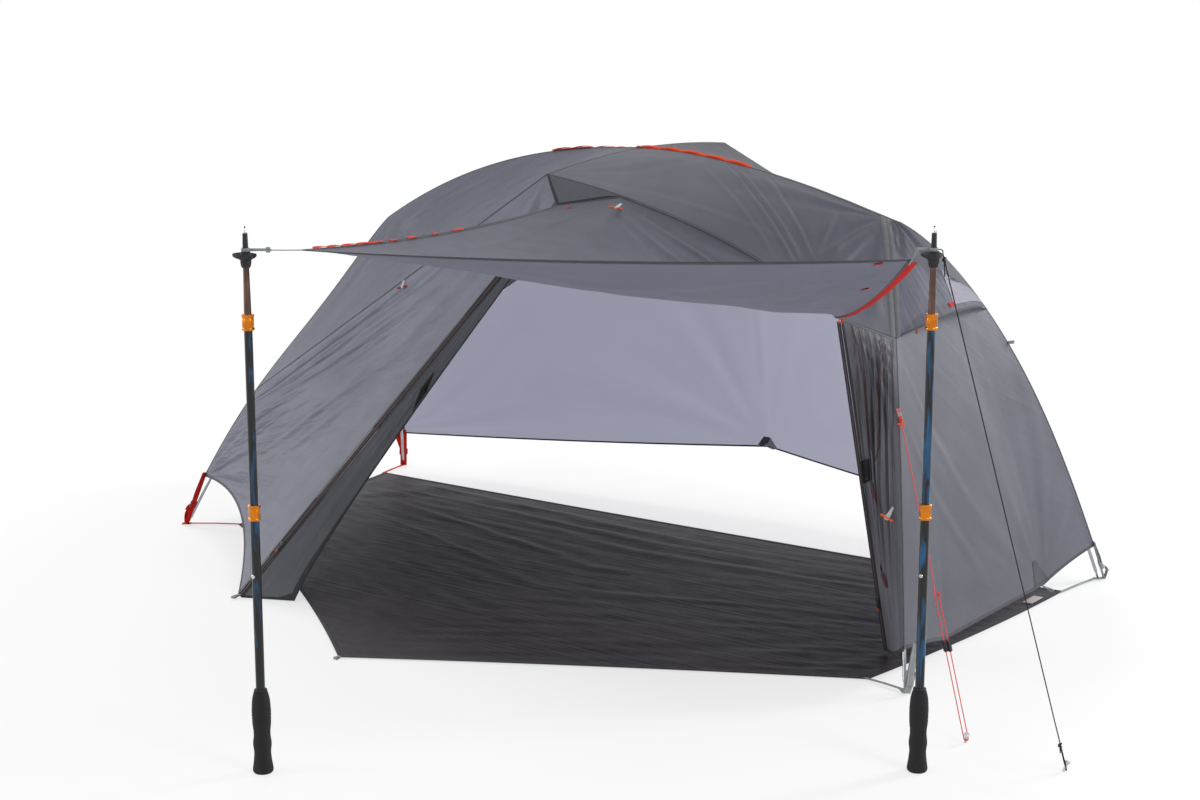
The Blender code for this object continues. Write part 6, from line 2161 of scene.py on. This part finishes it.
@dataclass
class Guylines:
    """The red line from the near head leg, doubled through its tensioner, and the black line from the
    head-side trekking pole. Their points are the solids' own."""

    red: tuple[Point, ...] = (
        (1.04544, -0.33683, 0.58582), (1.09955, -0.3941, 0.50594), (1.15366, -0.45137, 0.42606),
        (1.20777, -0.50863, 0.34618), (1.25539, -0.55902, 0.27589), (1.27293, -0.58444, 0.24495),
        (1.31272, -0.62655, 0.18621), (1.35251, -0.66866, 0.12747), (1.3923, -0.71076, 0.06874),
        (1.43208, -0.75287, 0.01), (1.4338, -0.75377, 0.00815), (1.43596, -0.75356, 0.00679),
        (1.43801, -0.7523, 0.0063), (1.43938, -0.75033, 0.00679), (1.43971, -0.74818, 0.00815),
        (1.43892, -0.74642, 0.01), (1.39913, -0.70431, 0.06874), (1.35934, -0.6622, 0.12747),
        (1.31955, -0.62009, 0.18621), (1.27976, -0.57798, 0.24495),
    )
    black: tuple[Point, ...] = (
        (1.43111, -0.93999, 1.04), (1.4345, -0.9376, 1.04), (1.43765, -0.93538, 1.038), (1.43814, -0.93504, 1.032),
        (1.49087, -0.89788, 0.79339), (1.54359, -0.86073, 0.55479), (1.59632, -0.82358, 0.31618),
        (1.64272, -0.79088, 0.10621), (1.65821, -0.78584, 0.04861), (1.66034, -0.78434, 0.03896),
        (1.66247, -0.78283, 0.02931), (1.66461, -0.78133, 0.01965), (1.66674, -0.77983, 0.01),
        (1.66726, -0.77867, 0.00597), (1.6669, -0.77678, 0.00303), (1.66575, -0.77465, 0.00195),
        (1.66413, -0.77286, 0.00303), (1.66247, -0.77188, 0.00597), (1.66121, -0.77198, 0.01),
        (1.65908, -0.77348, 0.01965), (1.65694, -0.77499, 0.02931), (1.65481, -0.77649, 0.03896),
        (1.65268, -0.77799, 0.04861),
    )
    turn: tuple[int, int] = (9, 15)
    red_radius: float = 0.0011
    black_radius: float = 0.0012
    split: float = 0.034
    tensioner_place: float = 0.21

    def line(
        self, name: str, points: list[Vector], radius: float, finish: Finish, node: str, slot: str
    ) -> tuple[bpy.types.Object, list[Vector]]:
        """A taut cord along its points.

        Args:
            name: the piece's name.
            points: where it runs.
            radius: of the cord.
            finish: its sheath.
            node: the node that it stands for.
            slot: the record's material slot.

        Returns:
            The piece and the finer points that it follows.
        """
        path = [points[0]]
        for a, b in zip(points, points[1:]):
            steps = max(int((b - a).length / 0.02), 1)
            path += [a.lerp(b, (step + 1) / steps) for step in range(steps)]
        return placed(name, cord(path, ALONG, radius, 10), finish, 70, node=node, slot=slot), path

    def knot(
        self, name: str, place: Vector, along: Vector, radius: float, finish: Finish, tail: float
    ) -> bpy.types.Object:
        """An overhand knot round the line, with its tail.

        Args:
            name: the piece's name.
            place: its middle.
            along: direction of the line.
            radius: of the cord.
            finish: its sheath.
            tail: how long its loose end is.

        Returns:
            The piece.
        """
        side = along.cross(UP).normalized()
        other = along.cross(side).normalized()
        points = []
        for k in range(41):
            angle = 2 * math.pi * k / 40 * 2.5
            reach, lift = radius * (2.6 + 0.7 * math.cos(angle * 0.6)), radius * 2.6 * math.sin(angle * 0.4)
            points.append(place + side * reach * math.cos(angle) + other * reach * math.sin(angle) + along * lift)
        last = points[-1]
        points += [last + (side * 0.4 - UP * 0.9).normalized() * tail * t for t in (0.35, 0.7, 1.0)]
        return placed(name, cord(points, along, radius), finish, 70)

    def stake(self, name: str, ground: Vector, anchor: Vector, lean: float = 20.0) -> None:
        """The part of a stake that stands out of the ground, cut flat at the ground.

        Args:
            name: the node that it stands for.
            ground: where it goes in.
            anchor: what its line pulls on, from which it leans away.
            lean: how far, in degrees.
        """
        lean = math.radians(lean)
        axis = UP * math.cos(lean) + level_way(anchor, ground) * math.sin(lean)
        top = 0.022 / axis.z
        profile = [
            (0.0, -0.022), (0.003, -0.022), (0.003, top - 0.0062), (0.0036, top - 0.0054), (0.0058, top - 0.005),
            (0.006, top - 0.0042), (0.006, top - 0.001), (0.0053, top - 0.0002), (0.0, top - 0.0002),
        ]
        bm = aimed(profile, ground, axis, 32)
        geometry = bm.verts[:] + bm.edges[:] + bm.faces[:]
        cut = bmesh.ops.bisect_plane(bm, geom=geometry, plane_co=(0, 0, 0.0001), plane_no=-UP, clear_outer=True)
        edges = [item for item in cut["geom_cut"] if isinstance(item, bmesh.types.BMEdge)]
        bmesh.ops.contextual_create(bm, geom=edges)
        bmesh.ops.recalc_face_normals(bm, faces=bm.faces)
        placed(f"{name}_head", bm, ALLOY, 35, node=name, slot="pole alloy")

    def build(self) -> None:
        """Makes both lines with their knots, the tensioner and the two stakes."""
        points, radius = [Vector(p) for p in self.red], self.red_radius
        red, red_path = self.line("red_line", points, radius, RED_CORD, "wall_guyline", "red cord")
        first, second = (points[k] for k in self.turn)
        way, top_way = (first - points[6]).normalized(), (points[1] - points[0]).normalized()
        end_knot = self.knot("red_end_knot", points[-1] - way * 0.004, way, radius, RED_CORD, 0.014)
        top_knot = self.knot("red_top_knot", points[0] + top_way * 0.03, top_way, radius, RED_CORD, 0.018)
        aside, split = top_way.cross(UP).normalized(), points[0] + top_way * self.split
        for sign, name in ((-1, "red_loop_left"), (1, "red_loop_right")):
            start = points[0] + aside * 0.006 * sign - top_way * 0.004
            strand = [start, start.lerp(split, 0.5) + aside * 0.001 * sign, split]
            placed(name, cord(strand, UP, radius), RED_CORD, 70)
        axes = (aside, top_way, aside.cross(top_way))
        placed("red_line_bar", block(split + top_way * 0.004, axes, (0.02, 0.0042, 0.003), 0.0009), ORANGE_PLASTIC)
        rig.cord(
            red, self.red[0], 1.154, 2 * self.red_radius, "knot", "limp", "taut", [p[:] for p in red_path],
            [end_knot, top_knot],
        )
        points, radius = [Vector(p) for p in self.black], self.black_radius
        black, black_path = self.line("black_line", points, radius, BLACK_CORD, "pole_guyline", "black cord")
        steep = (points[6] - points[4]).normalized()
        low_knot = self.knot("black_low_knot", points[-1] - steep * 0.004, steep, radius, BLACK_CORD, 0.016)
        high_knot = self.knot("black_top_knot", points[3] + steep * 0.012, steep, radius, BLACK_CORD, 0.034)
        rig.cord(
            black, self.black[0], 1.134, 2 * self.black_radius, "knot", "limp", "taut", [p[:] for p in black_path],
            [low_knot, high_knot],
        )
        self.tensioner(first, second, way)
        self.stake("wall_stake", LINES.wall_stake, Vector(self.red[0]))
        self.stake("pole_stake", LINES.pole_stake, LINES.right_pole)

    def tensioner(self, first: Vector, second: Vector, way: Vector) -> None:
        """Makes the tensioner on the doubled line: two barrels, the bridge between them and two wings.

        Args:
            first: the red line's strand that goes to the stake, at the stake.
            second: the strand that comes back, at the stake.
            way: direction down the line.
        """
        across, half = (second - first).normalized(), (second - first).length / 2
        centre = (first + second) / 2 - way * self.tensioner_place
        axes = (across, way.cross(across).normalized(), way)
        barrel = ring(0.0017, 0.0032, 0.024, 0.0005)
        meshes = [aimed(barrel, centre - way * 0.012 + across * half * s, way, closed=True) for s in (-1, 1)]
        meshes.append(block(centre, axes, (half * 0.5, 0.003, 0.022), 0.0008))
        wing = (0.0022, 0.004, 0.02)
        meshes += [block(centre + across * (half + 0.0037) * s, axes, wing, 0.0008) for s in (-1, 1)]
        body, node = "wall_tensioner_body", "wall_tensioner"
        placed("line_tensioner", meshes, BLACK_PLASTIC, 40, body, node, "black plastic")


@dataclass
class DoorZip:
    """A coil zip on its tape, with its slider and cord pull."""

    side: str
    start: Vector
    end: Vector
    across: Vector
    station: float
    width: float = 0.012
    thick: float = 0.0016

    def build(self) -> None:
        """Makes the tape, the coil, the slider and its pull."""
        across, way = self.across, (self.end - self.start).normalized()
        out = towards(DOOR_VIEW, across.cross(way).normalized())
        head = self.start + way * 0.008
        steps = [head.lerp(self.end, i / 60) for i in range(61)]
        tape = strap([p + out * 0.0004 for p in steps], across, self.width, 0.0006)
        coil = cord([p + out * 0.0009 for p in steps], across, 0.0014, 10, 0.5)
        placed(f"{self.side}_zip_tape", tape, ZIP_TAPE, node=f"{self.side}_zip", slot="zip coil")
        placed(f"{self.side}_zip_coil", coil, COIL, slot="zip coil")
        seat = self.start.lerp(self.end, self.station) + out * (self.thick + 0.0003)
        slider = [
            block(seat + out * rise + way * down, (across, out, way), size, bevel)
            for rise, down, size, bevel in (
                (0.0008, 0.0, (0.009, 0.0014, 0.0135), 0.0006),
                (0.0026, 0.0, (0.0084, 0.0014, 0.012), 0.0006),
                (0.0017, -0.004, (0.0026, 0.0026, 0.0036), 0.0005),
                (0.0036, 0.001, (0.0022, 0.0012, 0.0085), 0.0005),
                (0.0032, 0.0145, (0.0058, 0.0012, 0.017), 0.0005),
            )
        ]
        name, node = f"{self.side}_zip_slider", f"{self.side}_slider"
        placed(f"{name}_body", slider, DARK_METAL, 40, name, node, "slider metal")
        base, loop = seat + out * 0.0034 + way * 0.021, []
        for angle in (math.pi * (0.5 + 2 * k / 16) for k in range(17)):
            loop.append(base + across * 0.0024 * math.cos(angle) + way * (0.0035 * math.sin(angle) + 0.003))
        placed(f"{self.side}_zip_pull", cord(loop, out, 0.0008), ORANGE_WEB, 70, name)


@dataclass
class Toggle:
    """A bar on a flat elastic, with which the rolled door is tied back."""

    name: str
    anchor: Point
    across: Point
    hang: Point
    plastic: Finish
    turned: Point
    elastic: float = 0.026
    length: float = 0.032
    radius: float = 0.003

    def build(self) -> None:
        """Makes the folded elastic with its stitching, and the bar."""
        anchor, across, hang = Vector(self.anchor), Vector(self.across), Vector(self.hang)
        out, bar_way = towards(Vector((0, -1, 0.3)), hang.cross(across).normalized()), unit(*self.turned)
        end = anchor + hang * self.elastic
        fold = [
            anchor + out * 0.0002, anchor.lerp(end, 0.5) + out * 0.0006, end - hang * 0.003 + out * 0.0024,
            end + out * 0.0033, end + hang * 0.0033, end - out * 0.0033, end - hang * 0.003 - out * 0.002,
            anchor.lerp(end, 0.45) - out * 0.001,
        ]
        tack = block(anchor + hang * 0.004 + out * 0.0008, (across, out, hang), (0.0062, 0.0008, 0.0018), 0.0002)
        meshes = [strap(smoothed(fold, 5), bar_way, 0.0066, 0.001), tack]
        placed(f"{self.name}_elastic", meshes, ELASTIC, 60, f"{self.name}_body")
        r, half = self.radius, self.length / 2
        flank = [(0.0, -half), (r * 0.75, -half), (r, -half + 0.0012), (r * 0.92, -half + 0.004), (r * 0.86, -0.005)]
        flank.append((r * 0.72, -0.0038))
        bar = aimed(flank + [(a, -b) for a, b in flank[::-1]], end, bar_way, 28)
        placed(f"{self.name}_bar", bar, self.plastic, 50, f"{self.name}_body", self.name, "toggle plastic")


def ramp(x: float, start: float, end: float, rise: float) -> float:
    """How far x is inside a span: 0 outside it, and 1 from the given rise inside its ends."""
    return min(max(min(end - x, x - start) / rise, 0.0), 1.0)


@dataclass
class Webbings:
    """Loops of orange webbing along the ridge and the awning's foot edge, and the red tape on its head edge."""

    fly: Fly
    ridge_width: float = 0.012
    start: float = -0.2
    end: float = 0.43
    loops: int = 9
    wave: float = 0.0034
    edge_width: float = 0.0175

    def daisy(self, base: Line, lift: Line, across: Vector | Line, loops: int, wave: float, width: float) -> list[Mesh]:
        """Webbing tacked down between its loops.

        Args:
            base: points along its seam.
            lift: unit direction away from the cloth at each point.
            across: direction across the webbing.
            loops: how many there are.
            wave: how high a loop stands.
            width: of the webbing.

        Returns:
            The webbing and its bar tacks.
        """
        count = len(base) - 1
        rises = [abs(math.sin(math.pi * loops * i / count)) ** 0.8 * wave for i in range(count + 1)]
        points = [point + out * rise for point, out, rise in zip(base, lift, rises)]
        meshes = [strap(points, across, width, 0.001)]
        frames = frames_along(points, across)
        for i in (round(k * count / loops) for k in range(loops + 1)):
            ahead = (points[min(i + 1, count)] - points[max(i - 1, 0)]).normalized()
            axes = (frames[i][0], lift[i], ahead)
            meshes.append(block(points[i] + lift[i] * 0.0006, axes, (width * 0.8, 0.0008, 0.0022), 0.0003))
        return meshes

    def ridge(self) -> None:
        """Makes the loops along the ridge, which slip behind the seam at the apex, and the tab there."""
        count = self.loops * 12
        xs = [self.start + (self.end - self.start) * i / count for i in range(count + 1)]
        base, lean = [], []
        for x in xs:
            behind = max(ramp(x, 0.02, 0.077, 0.012), min(ramp(x, -0.075, 0.03, 0.02), 0.45))
            base.append(LINES.ridge(x) + UP * 0.0027 + Vector((0, 0.012, -0.0058)) * behind)
            lean.append(unit(0, 1, -0.12 + 0.42 * min(max(x / 0.1, 0.0), 1.0)))
        meshes = self.daisy(base, [UP] * len(base), lean, self.loops, self.wave, self.ridge_width)
        meshes.append(strap(base, lean, self.ridge_width, 0.0024))
        placed("ridge_loops", meshes, ORANGE_WEB, 60, node="ridge_webbing", slot="trim webbing")
        bend = [LINES.apex() + Vector((x, -0.006, z)) for x, z in ((-0.006, 0.004), (0, 0.0065), (0.007, 0.0045))]
        placed("ridge_tab", strap(bend, Vector((0, 1, 0)), 0.01, 0.0012), GREY_WEB, 60)

    def foot_edge(self) -> None:
        """Makes the loops along the awning's foot edge."""
        awning, meshes = self.fly.panels["awning"], []
        for start, end, loops in (
            (0.727, 0.955, 5), (0.68, 0.705, 1), (0.61, 0.645, 1), (0.53, 0.55, 1), (0.43, 0.47, 1)
        ):
            inside = awning.at(0.03, start)[0]
            edge, outs, ways = [], [], []
            for i in range(loops * 8 + 1):
                point, out = awning.at(0.0, start + (end - start) * i / (loops * 8))
                ways.append((inside - point).normalized())
                edge.append(point + out * 0.0016 + ways[-1] * 0.003)
                outs.append(out)
            meshes += self.daisy(edge, outs, ways, loops, 0.0016, 0.005)
        placed("awning_foot_loops", meshes, ORANGE_WEB, 60, slot="trim webbing")

    def head_edge(self) -> None:
        """Makes the red tape along the awning's head edge, and the cord loop at the door's corner."""
        edge = self.fly.head_edge()
        outward = UP.cross(edge(1.0) - edge(0.0)).normalized()
        path = []
        for t in (0.035 + 0.93 * i / 60 for i in range(61)):
            aside = outward * (self.edge_width / 2 + 0.0003)
            path.append(edge(t) + aside + UP * 0.0006 * math.sin(9 * math.pi * t))
        meshes = [strap(path, -outward, self.edge_width)]
        for t in (0.3, 0.62, 0.8):
            spot, axes = edge(t) - outward * 0.02 - UP * 0.003, (tangent(edge, t), outward, UP)
            meshes.append(block(spot, axes, (0.016, 0.006, 0.001), 0.0004))
        placed("awning_head_tape", meshes, RED_WEB, 60, node="awning_webbing", slot="trim webbing")
        start = edge(0.03) + outward * 0.006 - UP * 0.002
        turns = [math.pi * k / 16 for k in range(17)]
        loop = [start + Vector((0.006 * math.sin(turn * 2), 0, -0.011 * math.sin(turn))) for turn in turns]
        placed("door_corner_loop", cord(loop, outward, 0.0011), ORANGE_WEB, 70)

    def build(self) -> None:
        """Makes the three webbings."""
        for run in (self.ridge, self.foot_edge, self.head_edge):
            run()


@dataclass
class SmallTrim:
    """Hook tapes, stake loops, the tie-out loop, piping, the blank label and other tabs sewn to the cloth."""

    fly: Fly
    tabs: tuple = (
        ("flap_hook_tape", "flap", 0.62, 0.375, (0.034, 0.055), HOOK_TAPE, 0, 0.0014),
        ("side_hook_tape", "side", 0.17, 0.455, (0.056, 0.05), HOOK_TAPE, 0, 0.006),
        ("hood_prop_tab", "hood", 0.43, 0.94, (0.014, 0.01), RED_WEB, 0, 0.002),
        ("wall_vent_tab", "head_wall", 0.23, 0.055, (0.012, 0.012), ORANGE_WEB, 0, 0.002),
        ("awning_tab_corner", "awning", 0.946, 0.985, (0.016, 0.006), RED_WEB, 25, 0.0022),
        ("awning_tab_edge", "awning", 0.946, 0.78, (0.016, 0.006), RED_WEB, 25, 0.0022),
        ("awning_tab_header", "awning", 0.062, 0.035, (0.016, 0.006), RED_WEB, 25, 0.0022),
    )
    piping: tuple = (
        (0.0022, ((0.186, 0.01), (0.271, 0.167), (0.414, 0.489))),
        (0.008, ((0.36, 0.5), (0.41, 0.6), (0.46, 0.7), (0.53, 0.822))),
        (0.0022, ((0.58, 0.82), (0.6, 0.95))),
        (0.0026, ((0.657, 0.033), (0.571, 0.322), (0.5, 0.45))),
    )

    def tab(
        self, name: str, cloth: str, u: float, v: float, size: Pair, finish: Finish, turn: float, rise: float
    ) -> None:
        """A flat tab that lies on a panel.

        Args:
            name: the piece's name.
            cloth: the name of the panel under it.
            u: its middle, along the panel.
            v: its middle, down the panel.
            size: across and down, in metres.
            finish: what it is made of.
            turn: how far it is turned on the cloth, in degrees.
            rise: how far its upper face stands off the cloth.
        """
        panel = self.fly.panels[cloth]
        c, s = math.cos(math.radians(turn)), math.sin(math.radians(turn))
        halves = [(x * size[0] / 2, y * size[1] / 2) for x, y in ((-1, -1), (1, -1), (1, 1), (-1, 1))]
        corners = [(u + (a * c - b * s) / panel.width, v + (a * s + b * c) / panel.length) for a, b in halves]
        placed(name, panel.patch(corners, rise), finish, 50)

    def loop(self, name: str, base: Vector, way: Vector, across: Vector, length: float, width: float) -> None:
        """A flat loop of grey webbing.

        Args:
            name: the piece's name.
            base: where it leaves the cloth.
            way: which way it hangs.
            across: direction across the webbing.
            length: how far it reaches.
            width: of the webbing.
        """
        out = across.cross(way).normalized() * 0.0016
        bend = ((0.0, 0.4), (0.4, 1.0), (0.85, 1.8), (1.0, 0.0), (0.85, -1.8), (0.4, -1.0), (0.0, -0.4))
        points = [base + way * length * share + out * rise for share, rise in bend]
        placed(name, strap(smoothed(points, 5), across, width, 0.0011), GREY_WEB, 60)

    def build(self) -> None:
        """Makes every tab, loop and piping."""
        fly, flap, side = self.fly, self.fly.panels["flap"], self.fly.panels["side"]
        for tab in self.tabs:
            self.tab(*tab)
        placed("flap_foot_patch", flap.patch(((0.72, 0.985), (1.0, 0.95), (1.0, 1.0), (0.55, 1.0))), BINDING, 50)
        down, guyline_end = unit(0.1, -0.99, -0.04), LINES.leg(*HEAD_NEAR)(0.41)
        pull = (LINES.wall_stake - guyline_end).normalized()
        point, tie = Footprint().apex + Vector((0, 0.006, 0.003)), fly.panels["far_wall"].at(0.424, 1.0)[0]
        for loop in (
            ("vestibule_stake_loop", LINES.zip_stake + UP * 0.004, down, down.cross(UP), 0.03, 0.01),
            ("tie_out_loop", tie, unit(0.05, 1.0, -0.35), ALONG, 0.022, 0.008),
            ("head_hem_loop", fly.head_hem()(0.74), unit(0.75, 0.35, -0.35), unit(-0.4, 0.9), 0.032, 0.008),
            ("footprint_point_loop", point, unit(0, -1, -0.04), ALONG, 0.018, 0.01),
            ("far_leg_tab", LINES.leg(*HEAD_FAR)(0.475), unit(1, 0.5, 0.15), unit(0, 0.3, 1), 0.016, 0.008),
            ("guyline_tab", guyline_end - pull * 0.004, pull, UP.cross(pull).normalized(), 0.024, 0.01),
        ):
            self.loop(*loop)
        label = block(Vector((1.132, 0.262, 0.0052)), (Vector((0, 1, 0)), ALONG, UP), (0.07, 0.026, 0.0006), 0.0002)
        placed("care_label", label, LABEL)
        for number, (width, places) in enumerate(self.piping, 1):
            path, ways = [], []
            for (u0, v0), (u1, v1) in zip(places, places[1:]):
                for u, v in ((u0 + (u1 - u0) * step / 16, v0 + (v1 - v0) * step / 16) for step in range(16)):
                    point, out = side.at(u, v)
                    path.append(point + out * 0.003)
                    ways.append(side.across_at(u, v))
            placed(f"side_piping_{number}", strap(path, ways, width, 0.0012), RED_SEAM, 60)


@dataclass
class Stage:
    """A pale floor in soft studio light, and the camera where the photographer stood."""

    eye: Point = (3.127, -4.359, 1.493)
    look: Point = (-0.5771, 0.7939, -0.1937)
    lens: float = 60.1
    floor: float = 9.0
    lamps: tuple = (
        ("key", (-3.4, -5.0, 1.7), 1.4, 80),
        ("top", (-1.6, 1.2, 4.4), 1.4, 35),
        ("fill", (6.2, -1.8, 3.0), 1.6, 95),
        ("back", (3.6, 4.2, 2.6), 1.4, 210),
        ("side", (-5.0, -0.6, 1.6), 1.6, 70),
    )

    def stand(self, name: str, data: bpy.types.ID, place: Point, look: Vector | None = None) -> bpy.types.Object:
        """Puts a camera, lamp or mesh into the scene.

        Args:
            name: the object's name.
            data: what it shows.
            place: where it stands.
            look: which way it looks.

        Returns:
            The object.
        """
        obj = bpy.data.objects.new(name, data)
        bpy.context.scene.collection.objects.link(obj)
        obj.location = place
        if look:
            obj.rotation_euler = look.to_track_quat("-Z", "Y").to_euler()
        return obj

    def camera(self) -> None:
        """Stands the camera."""
        data = bpy.data.cameras.new("camera")
        data.lens = self.lens
        data.sensor_width = 36
        bpy.context.scene.camera = self.stand("camera", data, self.eye, Vector(self.look))

    def seen(self, add: AddNode) -> Node:
        """1 for what the camera sees, straight or in a mirror or through glass, and 0 for what only lights.

        Args:
            add: adds a node to the floor's or the world's tree.

        Returns:
            The node that gives 1 or 0.
        """
        path = add("LightPath").outputs
        both = add("Math", links={0: path["Is Camera Ray"], 1: path["Is Glossy Ray"]}, operation="MAXIMUM")
        return add("Math", links={0: both, 1: path["Is Transmission Ray"]}, operation="MAXIMUM")

    def build(self) -> None:
        """Lays the floor, hangs the square soft boxes round the tent and whitens the world."""
        bm = bmesh.new()
        bmesh.ops.create_grid(bm, x_segments=4, y_segments=4, size=self.floor)
        bmesh.ops.translate(bm, verts=bm.verts, vec=Vector((0, 0, -0.0004)))
        material = bpy.data.materials.new("pale floor")
        add = fresh_nodes(material)
        away = add("VectorMath", links={0: add("TexCoord").outputs["Object"]}, operation="LENGTH")
        fade = add("MapRange", {"From Min": 1.0, "From Max": 3.4, "To Min": 0.6}, {"Value": away})
        share = add("Math", links={0: fade, 1: self.seen(add)}, operation="MULTIPLY")
        matt = add("BsdfPrincipled", {"Base Color": linear("#F6F6F6"), "Roughness": 0.9})
        white = add("Emission", {"Color": (1, 1, 1, 1), "Strength": 1.0})
        add("OutputMaterial", links={"Surface": add("MixShader", links={0: share, 1: matt, 2: white})})
        mesh = bpy.data.meshes.new("floor")
        bm.to_mesh(mesh)
        bm.free()
        mesh.materials.append(material)
        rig.stage(self.stand("floor", mesh, (0, 0, 0)))
        for name, place, size, power in self.lamps:
            data = bpy.data.lights.new(name, "AREA")
            data.size = size
            data.energy = power
            self.stand(name, data, place, Vector((0, 0, 0.5)) - Vector(place))
        world = bpy.data.worlds.new("studio")
        bpy.context.scene.world = world
        add = fresh_nodes(world)
        strength = add("MapRange", {"To Min": 0.58, "To Max": 1.0}, {"Value": self.seen(add)})
        light = add("Background", {"Color": (1, 1, 1, 1)}, {"Strength": strength})
        add("OutputWorld", links={"Surface": light})
        bpy.context.scene.view_settings.view_transform = "Standard"


def main() -> None:
    """Builds the tent in order, and the stage round it."""
    logging.basicConfig(level=logging.INFO, format="%(name)s: %(message)s")
    stage = Stage()
    stage.camera()
    Guylines().build()
    fly = Fly()
    fly.build()
    floor = Footprint()
    floor.build()
    poles = PoleSet()
    poles.build()
    half = LINES.side_across() * 0.006
    for kit in (
        CornerStrap(*HEAD_NEAR, floor.head_near, poles, top_shift=(0.02, 0.013, 0.0)),
        CornerStrap(*HEAD_FAR, floor.head_far, poles, bow=0.013),
        CornerStrap(
            *FOOT_FAR, floor.foot_far, poles, 0.021, beside=(0.0042, -0.0042, 0), splay=(-0.016, -0.012, 0), bow=0.004
        ),
        CornerStrap(*FOOT_NEAR, floor.foot_near, poles, across=(0, 1, 0), beside=(0.0056, -0.008, 0), bow=0.014),
        TrekkingPole("left", LINES.left_pole, Vector((0, 1, 0)), SHAFT),
        TrekkingPole("right", LINES.right_pole, level_way(LINES.right_pole, LINES.pole_stake), BLUE_SHAFT),
        AwningLoop("left", LINES.left_pole, LINES.near_corner),
        AwningLoop("right", LINES.right_pole, LINES.head_awning),
        DoorZip("left", LINES.zip_head, LINES.zip_stake, LINES.zip_across(), 0.86),
        DoorZip("right", LINES.door + half, LINES.side_end + half, LINES.side_across(), 0.84),
        Toggle(
            "crease_toggle", (-0.42253, -0.36751, 0.76917), (-0.77813, -0.01304, -0.62797),
            (0.45059, -0.70812, -0.54363), RED_PLASTIC, (-0.84, -0.34, -0.25),
        ),
        Toggle(
            "header_toggle", (0.33725, -0.43497, 1.02367), (0.92735, 0.34799, -0.13756),
            (0.33173, -0.93464, -0.12808), ORANGE_PLASTIC, (0.92735, 0.34799, -0.13756), 0.046,
        ),
        Toggle(
            "side_toggle", (1.08204, -0.41964, 0.37998), (0.75724, -0.53701, 0.37177),
            (-0.15934, -0.70389, -0.69221), ORANGE_PLASTIC, (0.752, 0.423, -0.505), 0.03,
        ),
        Webbings(fly),
        SmallTrim(fly),
    ):
        kit.build()
    stage.build()
    with open("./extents.json", "w", encoding="utf-8") as file:
        json.dump({"cad": [list(c) for c in CAD_BOX], "visual": [list(c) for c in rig.bounds()]}, file)


if __name__ == "__main__":
    main()
